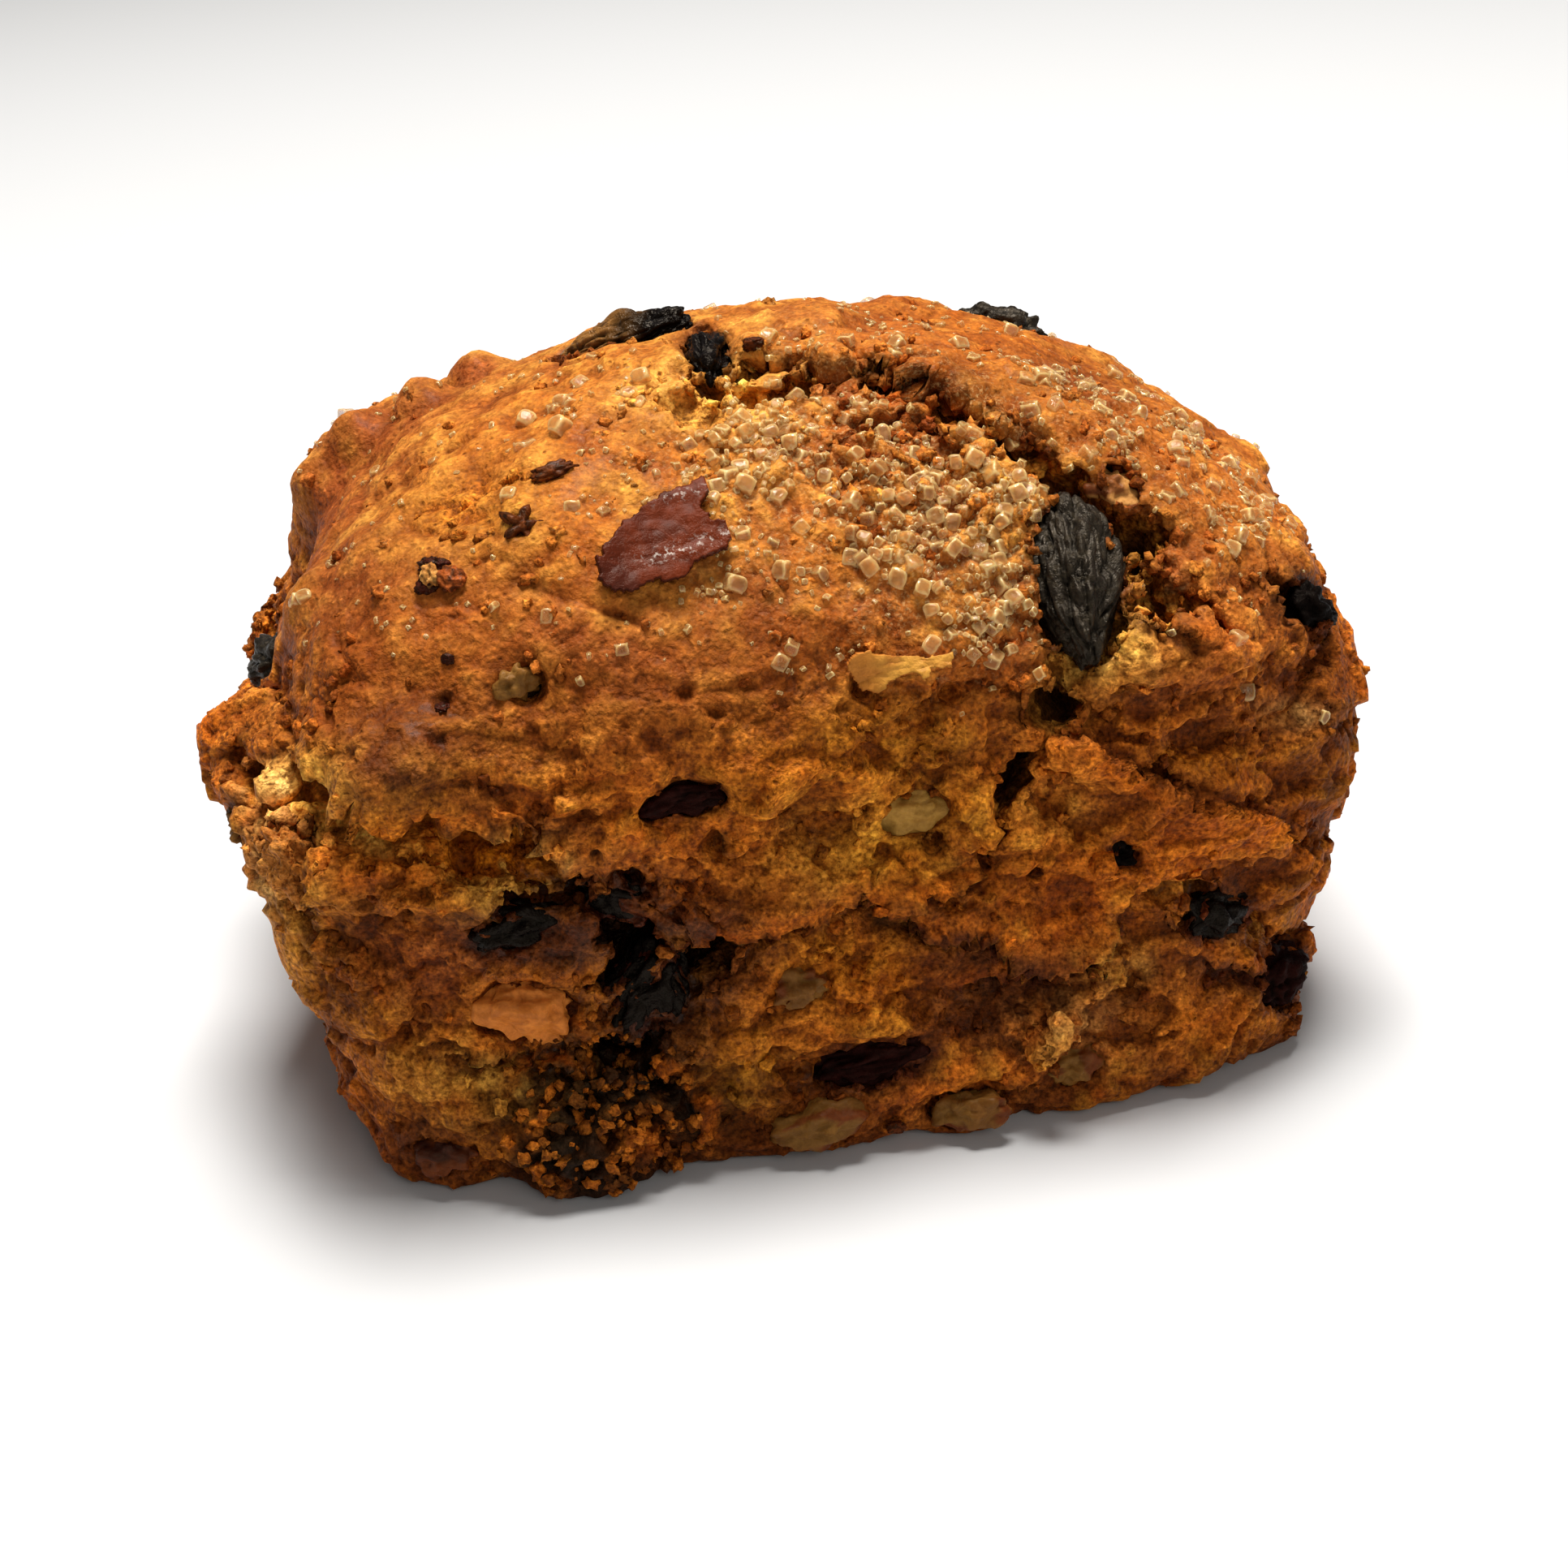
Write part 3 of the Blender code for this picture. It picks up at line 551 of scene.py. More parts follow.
@dataclass(frozen=True)
class SkinFinish:
    """Wrinkled fruit skin, from a dry and greyish one to a wet and sticky one."""

    name: str
    roughness: float
    bloom: float
    shine: float
    slot: str = "raisin_skin"

    def material(self) -> bpy.types.Material:
        """Make the material.

        Returns:
            The material.
        """
        nodes = Nodes(self.name)
        fine = nodes.noise(0.35, 3.0, 0.65)
        folds = nodes.noise(1.2, 4.0, 0.6, 1.2)
        colour = nodes.shade(nodes.colour(), 0.7, folds, 0.35, 0.65, (0.45, 0.40, 0.40), (1.5, 1.45, 1.4))
        haze = nodes.times(nodes.spread(nodes.noise(0.7, 4.0, 0.7), 0.48, 0.68), self.bloom)
        colour = nodes.mix(haze, colour, linear(98, 84, 62))
        rough = nodes.spread(fine, 0.35, 0.65, self.roughness - 0.08, self.roughness + 0.14)
        top = nodes.bump(fine, 0.07, 0.8, nodes.bump(folds, 0.35, 0.9))
        return nodes.set(Base_Color=colour, Roughness=rough, Normal=top, Specular_IOR_Level=self.shine,
                         Specular_Tint=(1.0, 0.80, 0.58), Coat_Weight=0.0, Coat_Roughness=0.12)


@dataclass(frozen=True)
class NutFinish:
    """Walnut flesh, waxy and veined, with papery brown skin painted on its outside."""

    name: str = "walnut_look"
    slot: str = "walnut"

    def material(self) -> bpy.types.Material:
        """Make the material.

        Returns:
            The material.
        """
        nodes = Nodes(self.name)
        fine = nodes.noise(0.30, 3.0, 0.6)
        veins = nodes.noise(1.6, 4.0, 0.6, 1.6)
        colour = nodes.shade(nodes.colour(), 0.6, veins, 0.38, 0.62, (0.72, 0.62, 0.50), (1.22, 1.22, 1.20))
        colour = nodes.shade(colour, 0.3, fine, 0.35, 0.65, (0.7, 0.6, 0.5), (1.3, 1.3, 1.3))
        top = nodes.bump(fine, 0.06, 0.7, nodes.bump(veins, 0.22, 0.7))
        rough = nodes.spread(veins, 0.35, 0.65, 0.36, 0.58)
        return nodes.set(Base_Color=colour, Roughness=rough, Normal=top, Specular_IOR_Level=0.18,
                         Specular_Tint=(1.0, 0.80, 0.55), Subsurface_Weight=0.12,
                         Subsurface_Scale=0.0014, Subsurface_Radius=(1.0, 0.6, 0.3))


@dataclass(frozen=True)
class FlakeFinish:
    """A thin glazed chip of crust with white sugar dust where the marks say so."""

    name: str = "glazed_flake_look"
    slot: str = "glazed_flake"

    def material(self) -> bpy.types.Material:
        """Make the material.

        Returns:
            The material.
        """
        nodes = Nodes(self.name)
        frost, gloss, _ = nodes.marks()
        fine = nodes.noise(0.32, 4.0, 0.65)
        small = nodes.noise(1.0, 4.0, 0.65, 0.6)
        colour = nodes.shade(nodes.colour(), 0.55, small, 0.35, 0.65, (0.62, 0.55, 0.5), (1.35, 1.38, 1.4))
        dust = nodes.times(frost, nodes.spread(nodes.noise(0.38, 3.0, 0.7), 0.54, 0.64))
        colour = nodes.mix(nodes.times(dust, 0.8), colour, (0.80, 0.70, 0.60))
        rough = nodes.sum("SUBTRACT", nodes.spread(fine, 0.35, 0.65, 0.46, 0.62), nodes.times(gloss, 0.24))
        top = nodes.bump(fine, 0.10, 0.8, nodes.bump(small, 0.22, 0.8))
        return nodes.set(Base_Color=colour, Roughness=rough, Normal=top, Specular_IOR_Level=0.10,
                         Specular_Tint=(1.0, 0.78, 0.60), Coat_Weight=0.02, Coat_Roughness=0.2)


@dataclass(frozen=True)
class SugarFinish:
    """Clear coarse sugar with paler rims, part milky sugar and part painted highlight: the first mark says
    how milky each place is.
    """

    name: str = "sugar_crystal_look"
    slot: str = "baked_crust"
    clear: float = 0.36
    milky: float = 0.80
    roughness: float = 0.13

    def material(self) -> bpy.types.Material:
        """Make the material.

        Returns:
            The material.
        """
        nodes = Nodes(self.name)
        haze = nodes.noise(0.40, 3.0, 0.6)
        cloud = nodes.times(nodes.marks()[0], nodes.spread(haze, 0.35, 0.60, 0.55, 1.25))
        return nodes.set(Base_Color=nodes.colour(), Roughness=self.roughness, IOR=1.5,
                         Normal=nodes.bump(haze, 0.14, 0.6), Specular_IOR_Level=0.8,
                         Specular_Tint=(1.0, 0.94, 0.84), Subsurface_Weight=0.5, Subsurface_Scale=0.0011,
                         Subsurface_Radius=(1.0, 0.86, 0.62),
                         Alpha=nodes.spread(cloud, 0.0, 1.0, self.clear, self.milky))


# ------------------------------------------------------------------ the photograph's view
@dataclass(frozen=True)
class PhotoView:
    """The camera that took the photograph, in the dough's frame and in its pixels."""

    eye: Point = (-23.104, -176.081, 112.757)
    way: Point = (0.113765, 0.870178, -0.479426)
    level: Point = (0.991562, -0.129634, 0.0)
    roll: float = -0.071
    image: float = 1932.0
    focal: float = 2800.0
    sensor: float = 36.0
    reach: float = 205.0
    clip: tuple[float, float] = (0.01, 20.0)

    def axes(self) -> tuple[Vector, Vector, Vector]:
        """Give the directions to the right, up and ahead in the picture.

        Returns:
            Three directions of length one.
        """
        ahead = Vector(self.way).normalized()
        level = Vector(self.level).normalized()
        rise = level.cross(ahead)
        right = math.cos(self.roll) * level + math.sin(self.roll) * rise
        up = -math.sin(self.roll) * level + math.cos(self.roll) * rise
        return right, up, ahead

    def ray(self, pixel: Pixel) -> Vector:
        """Give the direction in which a pixel looks.

        Args:
            pixel: Column and row in the photograph.

        Returns:
            A direction of length one.
        """
        right, up, ahead = self.axes()
        middle = self.image / 2.0
        across = (pixel[0] - middle) / self.focal
        rise = (middle - pixel[1]) / self.focal
        return (ahead + right * across + up * rise).normalized()

    def spot(self, pixel: Pixel, crust: BVHTree) -> tuple[Vector, Vector]:
        """Find the place and the normal of the crust that a pixel shows.

        Args:
            pixel: Column and row in the photograph.
            crust: Search tree of the crust in the dough's frame.

        Returns:
            The place and the normal there.
        """
        start = Vector(self.eye)
        place, normal, _, _ = crust.ray_cast(start, self.ray(pixel))
        if place is None:
            place, normal, _, _ = crust.find_nearest(start + self.ray(pixel) * self.reach)
        return place, normal

    def build(self) -> Solid:
        """Make the scene's camera.

        Returns:
            The camera.
        """
        right, up, ahead = self.axes()
        camera = bpy.data.objects.new("photo_camera", bpy.data.cameras.new("photo_camera"))
        bpy.context.scene.collection.objects.link(camera)
        turn = Matrix((right, up, -ahead)).transposed().to_4x4()
        place = Vector(Dough.world(np.asarray([self.eye]))[0])
        camera.matrix_world = Matrix.Translation(place) @ turn
        camera.data.sensor_width = self.sensor
        camera.data.lens = self.focal / self.image * self.sensor
        camera.data.clip_start, camera.data.clip_end = self.clip
        bpy.context.scene.camera = camera
        return camera


VIEW = PhotoView()


@dataclass(frozen=True)
class Mark:
    """Something at the place of the crust that a pixel of the photograph shows."""

    name: str
    pixel: Pixel

    def away(self, places: Array, crust: BVHTree) -> Array:
        """Measure how far places are from it, in millimetres."""
        return distance(places, VIEW.spot(self.pixel, crust)[0])


# ------------------------------------------------------------------ the dough's form
@dataclass(frozen=True)
class Level:
    """One level of the block's side."""

    share: float
    half_length: float
    half_depth: float
    corner: float
    centre_x: float
    centre_y: float
    height: float


@dataclass(frozen=True)
class Lump:
    """A swelling of the dough, or a dent where rise is below zero."""

    place: Point
    reach: float
    rise: float

    def away(self, places: Array) -> Array:
        """Measure how far places are from it."""
        return distance(places, self.place)


@dataclass(frozen=True)
class Fold:
    """A ridge of dough along a route, or a valley where rise is below zero."""

    route: Route
    reach: float
    rise: float

    def away(self, places: Array) -> Array:
        """Measure from each place to the nearest point of the route.

        Args:
            places: Places in millimetres, one row each.

        Returns:
            Distance in millimetres for each place.
        """
        least = np.full(len(places), np.inf)
        for start, end in zip(self.route, self.route[1:]):
            first = np.asarray(start, float)
            step = np.asarray(end, float) - first
            share = np.clip((places - first) @ step / (step @ step), 0.0, 1.0)
            least = np.minimum(least, distance(places, first + share[:, None] * step))
        return least


@dataclass(frozen=True)
class Crack:
    """A crack along a route; each stop is a place, a half width and a depth.

    A place is a point of the dough, or a pixel of the photograph that shows it.  Lean moves the
    crack's floor sideways, so that one lip hangs over it.
    """

    name: str
    stops: tuple[tuple[Point | Pixel, float, float], ...]
    lean: float = 0.0
    ragged: float = 1.0

    def placed(self, crust: BVHTree) -> list[Stop]:
        """Give its stops with every place as a point of the dough."""
        return [(VIEW.spot(place, crust)[0] if len(place) == 2 else Vector(place), width, depth)
                for place, width, depth in self.stops]


@dataclass(frozen=True)
class Dough:
    """The baked block that everything lies on, before it cracks."""

    centre: Point = (-1.23, -1.11, 0.0)
    top_height: float = 57.9
    top_power: float = 1.764
    top_tilt: float = -0.032
    swell: float = 0.7
    swell_size: float = 11.0
    crag: float = 0.7
    crag_size: float = 4.8
    crag_shift: Point = (7.0, 3.0, 1.0)
    cuts: int = 69
    levels: tuple[Level, ...] = (
        Level(0.00, 39.2, 30.9, 4.5, 0.45, -0.1, 0),
        Level(0.05, 41, 32.5, 4.5, 0.43, -0.1, 1.6),
        Level(0.82, 45.6, 29.5, 4.9, -0.60, 0, 29.3),
        Level(1.00, 43, 30.7, 3.7, 1.70, 0.9, 34.4),
    )
    lumps: tuple[Lump, ...] = (
        Lump((-46.5, -6, 30), 6, 2.6), Lump((-34, 14, 45.5), 6, 2.3), Lump((-41, 6, 38.5), 6.5, -3),
        Lump((-22, -31.5, 3.5), 6.5, 3.2), Lump((-28.5, -31.5, 1.5), 2.4, -1.6),
        Lump((-35, -29, 2), 5.5, 1.4), Lump((-41, -22, 14), 8, 0.8), Lump((-19, 14, 53), 6, -1.3),
        Lump((44, -20, 26), 8, 1.3), Lump((-6, -31.5, 2), 8, 1), Lump((10, -31, 1.5), 3, 1.8),
        Lump((37, -28.5, 2), 5.5, 1.8), Lump((25, -31, 1.5), 6, 0.8), Lump((-33, -27, 36.5), 5.5, 1.6),
        Lump((-10, -29, 36), 8, 0.9), Lump((26, -27, 36), 5.5, 1.3), Lump((42, 0, 41), 5.5, 1.8),
        Lump((33, 6, 48.5), 6, -0.9), Lump((-22, 31, 24), 8, 1.2), Lump((25, 31, 33), 7, 1.4),
    )
    folds: tuple[Fold, ...] = (
        Fold(((17, -30, 31), (22, -29.5, 30.3), (28, -29.3, 27), (34, -28.5, 22.5), (38, -27, 17.5)), 2.6,
            1),
        Fold(((23, -29.5, 33.5), (27, -29, 31.6), (32, -28.8, 28), (37, -27.4, 24.5)), 1.9, -0.9),
        Fold(((-37, -22, 36), (-35, -25.7, 35), (-31.7, -27.7, 34.6), (-27, -29, 34), (-23.7, -29, 32.6)),
            3, 1.3),
        Fold(((-39.4, -26.6, 28), (-35.5, -28.2, 26.5), (-30, -29.2, 25.6), (-25.5, -29.6, 25.4)), 2.2,
            0.9),
        Fold(((-6, -30, 33.7), (-1.7, -30, 36.3), (4.4, -30, 36.1), (9.8, -30, 32.6), (11.6, -29.8, 27)),
            2.2, 0.7),
        Fold(((-20, -29.6, 31), (-14.4, -29.7, 27.4), (-8.6, -30, 24.3), (-2.4, -30, 24)), 2.4, 0.8),
        Fold(((-10, -30.3, 22), (-5, -30.3, 22), (1.2, -30.2, 23.6), (5.5, -30.4, 21), (10, -30.6, 18.4)),
            2, 0.9),
        Fold(((3.2, -8, 56.5), (9.2, -9.5, 55.8), (14, -11, 54.6), (19, -15, 52)), 2.2, 0.8),
        Fold(((19, -9, 54), (23, -14, 51.5), (27, -19, 47.7), (30, -23, 43.5)), 3, 0.8),
        Fold(((-38, 22, 36), (-24, 31, 35), (-8, 31, 33), (4, 31, 34)), 3, 1.1),
        Fold(((16, 31, 37), (28, 30, 35), (39, 24, 35), (44, 12, 32)), 3, 1),
        Fold(((44.5, -18, 18), (44.5, -4, 21), (44, 10, 17)), 2.6, 0.8),
    )

    @staticmethod
    def world(places: Array) -> Array:
        """Turn places of the dough's frame into metres of the model."""
        return (places - np.asarray(Dough.centre)) * MM

    def form(self, cube_places: Array) -> Array:
        """Send places on the faces of a cube from -1 to 1 onto the block, in millimetres.

        Args:
            cube_places: Places on the cube, one row each.

        Returns:
            Places on the block.
        """
        x, y, z = cube_places.T
        edge = np.maximum(np.abs(x), np.abs(y))
        lid = z > 0.999999
        share = np.where(lid, 1.0, (z + 1.0) / 2.0)
        shares = [level.share for level in self.levels]

        def at(name: str) -> Array:
            """Blend one size of the levels."""
            return np.interp(share, shares, [getattr(level, name) for level in self.levels])

        turn = edge * math.pi / 2.0
        power = 2.0 / self.top_power
        rise = np.where(lid, np.clip(np.cos(turn), 0.0, None) ** power, 0.0)
        side = np.where(share < 1e-6, edge, 1.0)
        reach = np.where(lid, np.sin(turn) ** power, side)
        height = at("height") + (self.top_height - at("height")) * rise
        low = self.levels[2].share
        lean = np.where(lid, 1.0, np.clip((share - low) / (1.0 - low), 0.0, 1.0))
        corner = at("corner")
        size = np.maximum((np.abs(x) ** corner + np.abs(y) ** corner) ** (1.0 / corner), 1e-9)
        out_x = at("half_length") * x * reach / size
        out_y = at("half_depth") * y * reach / size
        return np.column_stack((at("centre_x") + out_x, at("centre_y") + out_y,
                                height + self.top_tilt * out_x * lean))

    def relief(self, places: Array) -> Array:
        """Say how far the crust swells out at places on the smooth block, in millimetres.

        Args:
            places: Places in millimetres, one row each.

        Returns:
            Rise for each place, below zero in a dent.
        """
        push = self.swell * noise_at(places, self.swell_size)
        push += self.crag * noise_at(places, self.crag_size, self.crag_shift)
        for form in (*self.lumps, *self.folds):
            away = form.away(places) / form.reach
            push += form.rise * np.exp(-away * away)
        return push

    def build(self) -> Solid:
        """Make the uncracked block, in millimetres.

        Returns:
            The block.
        """
        piece = cube(self.cuts)
        places = self.form(read_places(piece))
        write_places(piece, places)
        normals = read_normals(piece)
        moves = normals * self.relief(places)[:, None]
        low = places[:, 2] < 0.01
        moves[low, 2] = 0.0
        moves[low & (normals[:, 2] < -0.99)] = 0.0
        places = places + moves
        places[:, 2] = np.maximum(places[:, 2], 0.0)
        write_places(piece, places)
        return piece


CRACKS = (
    Crack("crack_top", (
        ((-6, -7, 57), 1.6, 4.2), ((-1, -11, 56), 1.1, 3.2), ((6, -10, 56), 0.9, 2.8),
        ((13, -13, 54), 1.1, 3.2), ((18, -17, 51), 1.4, 4.2), ((22, -20.5, 48), 2.2, 5.4),
        ((25, -23, 45), 3, 6.8), ((1376, 704), 2, 4.4), ((1328, 820), 1.5, 2.2), ((1292, 850), 1.4, 5.4),
        ((1303, 876), 1.9, 6.4), ((1284, 904), 0.9, 5), ((1256, 936), 0.9, 4.6), ((1242, 970), 1.5, 5.4),
        ((1240, 1006), 0.9, 4.4), ((1222, 1034), 0.45, 3), ((1206, 1066), 0.5, 2.6),
        ((1196, 1086), 0.3, 1.8),
    ), 0.2, 1.3),
    Crack("crack_behind", (
        ((1380, 620), 1.2, 4), ((1392, 655), 2.1, 5.6), ((1400, 700), 2.2, 6.2), ((1428, 728), 1.9, 5.6),
        ((1456, 746), 1.5, 4.4), ((1492, 768), 0.5, 2),
    ), ragged=1.4),
    Crack("crack_corner", (
        ((1566, 708), 0.9, 2.6), ((1596, 732), 1.5, 3.4), ((1632, 752), 1, 2.6),
    ), ragged=1.2),
    Crack("crack_top_slit", (
        ((1236, 512), 0.5, 2), ((1260, 536), 0.9, 3.4), ((1282, 562), 1, 3.6), ((1312, 582), 0.6, 2.4),
    )),
    Crack("crack_fork", (
        ((24, -24, 44.5), 1.6, 3.6), ((27, -26, 41.5), 1.6, 2.6), ((30, -26.5, 39), 1.1, 1.8),
        ((33, -26.6, 37), 0.6, 1.2),
    )),
    Crack("crown_hollow", (
        ((796, 470), 0.9, 1.2), ((832, 484), 2.2, 1.7), ((872, 492), 2.4, 1.9), ((902, 478), 1.2, 1.6),
    ), ragged=1.4),
    Crack("crack_crown", (
        ((898, 476), 0.6, 1.8), ((935, 440), 1, 2.8), ((995, 442), 1.2, 3.4), ((1055, 450), 1.3, 3.6),
        ((1110, 456), 1.4, 3.8), ((1156, 478), 1.8, 4.6), ((1190, 516), 1.3, 3.8), ((1232, 528), 0.6, 2.4),
    ), 0.7, 1.8),
    Crack("crack_waist", (
        ((-45, -11, 31), 1.6, 3.6), ((-43.5, -20, 31.4), 2, 2.4), ((-40, -23, 32.4), 2.6, 3.4),
        ((-35, -27, 31.8), 3, 5.4), ((-28.4, -29, 29.8), 2.8, 5.8), ((-23, -29.5, 28.2), 1.8, 4.8),
        ((-18, -30, 25), 0.8, 3), ((-13, -30, 22.8), 0.5, 2), ((-8, -30, 20.2), 0.6, 2.6),
        ((-1, -30, 21.2), 0.5, 2.4), ((4, -30, 19.6), 0.5, 2.2), ((9, -30.6, 17), 0.5, 2.2),
        ((17, -31, 13.4), 0.5, 2),
    ), 0.5),
    Crack("crack_right", (
        ((22, -30.4, 17.6), 0.6, 2.2), ((26.5, -30, 17.6), 0.8, 2.6), ((31, -29.6, 15), 1.2, 3),
        ((35.5, -28.6, 10.6), 1.4, 2.8), ((40, -24, 8.4), 1.2, 2.6), ((42, -14, 10), 0.9, 2.4),
        ((43.5, -4, 14), 0.7, 2.2),
    ), 0.4),
    Crack("crater_left", (
        ((585, 1152), 0.8, 2.5), ((602, 1150), 1.8, 4.4), ((622, 1158), 2.4, 5), ((640, 1130), 1.9, 4.4),
        ((690, 1105), 0.8, 3), ((720, 1110), 1.6, 4.4), ((748, 1122), 2.9, 6), ((772, 1155), 2.8, 6.6),
        ((770, 1205), 2.3, 6.8), ((775, 1250), 2.9, 6.8), ((776, 1285), 2.6, 6), ((738, 1308), 1.9, 4.6),
        ((700, 1332), 0.8, 2.6),
    ), ragged=1.3),
    Crack("crater_right", (
        ((780, 1278), 2.2, 5.6), ((802, 1245), 2.3, 6), ((842, 1208), 2.1, 5.6), ((880, 1168), 2.1, 5),
        ((880, 1138), 1.5, 4), ((850, 1112), 0.6, 2.2),
    ), ragged=1.3),
    Crack("crack_fruit", (
        ((1452, 1118), 0.9, 2.6), ((1480, 1132), 1.7, 3.8), ((1515, 1140), 1.9, 4.2),
        ((1548, 1160), 1.1, 3), ((1580, 1185), 0.8, 2.4), ((1605, 1195), 1.3, 2.8),
    )),
    Crack("crack_pit", (
        ((1352, 1054), 0.6, 1.4), ((1372, 1066), 1, 2.6), ((1398, 1066), 0.8, 2.2),
    )),
    Crack("crack_slit", (
        ((1206, 1116), 0.3, 0.9), ((1255, 1115), 0.45, 1.3), ((1304, 1113), 0.3, 1),
    ), ragged=0.5),
    Crack("crack_small", (
        ((1384, 1118), 0.5, 1.4), ((1376, 1135), 0.35, 1.2), ((1366, 1160), 0.5, 1.4),
    ), ragged=0.6),
    Crack("crack_valley", (
        ((1388, 946), 0.5, 1.2), ((1425, 962), 0.8, 1.8), ((1462, 984), 0.6, 1.4),
    ), 0.4, 0.7),
    Crack("crack_seam", (
        ((778, 982), 0.3, 1.2), ((820, 981), 0.5, 2), ((862, 975), 0.9, 2.8), ((888, 962), 1.4, 3.2),
        ((902, 952), 0.7, 2),
    ), 0.3, 0.7),
    Crack("crack_torn", (
        ((930, 1152), 0.3, 1.6), ((972, 1144), 0.45, 2.2), ((1034, 1134), 0.4, 2.2),
        ((1062, 1104), 0.5, 2.4), ((1084, 1124), 0.5, 2.4), ((1112, 1130), 0.9, 3.4),
        ((1134, 1142), 1, 3.2), ((1158, 1164), 0.6, 2.8), ((1210, 1160), 0.5, 2.6),
        ((1250, 1178), 0.6, 2.8), ((1300, 1195), 0.7, 2.8), ((1332, 1188), 0.6, 2.2),
    ), 0.6, 0.9),
    Crack("crack_torn_top", (
        ((1112, 1124), 0.4, 2), ((1150, 1108), 0.4, 1.8), ((1192, 1086), 0.4, 1.8),
    ), 0.4, 0.6),
    Crack("crack_dark_base", (
        ((968, 1330), 0.7, 1.8), ((985, 1326), 1, 2.4), ((1012, 1338), 0.6, 1.8),
    )),
    Crack("crack_rough", (
        ((1290, 1238), 0.7, 1.8), ((1298, 1255), 0.8, 2), ((1276, 1290), 1, 2.2), ((1272, 1308), 0.6, 1.6),
    )),
    Crack("crack_rough_top", (
        ((1325, 1190), 0.6, 1.6), ((1340, 1198), 0.9, 2.2), ((1356, 1190), 0.5, 1.6),
    )),
    Crack("crack_rough_side", (
        ((1142, 1262), 0.5, 1.2), ((1152, 1245), 0.7, 1.6), ((1160, 1228), 0.5, 1.2),
    )),
    Crack("crack_left", (
        ((-44.5, -3, 33), 0.9, 2.6), ((-44.5, 7, 32), 1.3, 3.6), ((-42, 19, 31), 1.6, 4),
        ((-34, 28.5, 30), 1.8, 4.4), ((-23, 30, 31.5), 1.5, 4), ((-12, 30, 29), 1.1, 3.4),
        ((-3, 30, 30.5), 0.8, 2.8),
    ), 0.4),
    Crack("crack_back", (
        ((-5, 12, 56.8), 1, 3), ((-1, 19, 54), 1.5, 4), ((3, 25, 49), 1.8, 4.6), ((7, 29.5, 43), 1.6, 4.4),
        ((9, 31, 36), 1.2, 3.6), ((7, 30.5, 29), 0.8, 2.8),
    )),
    Crack("crack_back_right", (
        ((14, 30.6, 33), 0.9, 2.8), ((24, 30, 30.5), 1.3, 3.6), ((34, 28, 31.5), 1.4, 3.8),
        ((42.5, 18, 29.5), 1.3, 3.6), ((45, 8, 27), 0.8, 2.6),
    ), 0.4),
    Crack("crack_under", (
        ((24, 8, 0), 0.7, 2), ((16, 14, 0), 0.9, 2.2), ((6, 13, 0), 0.7, 2),
    )),
)


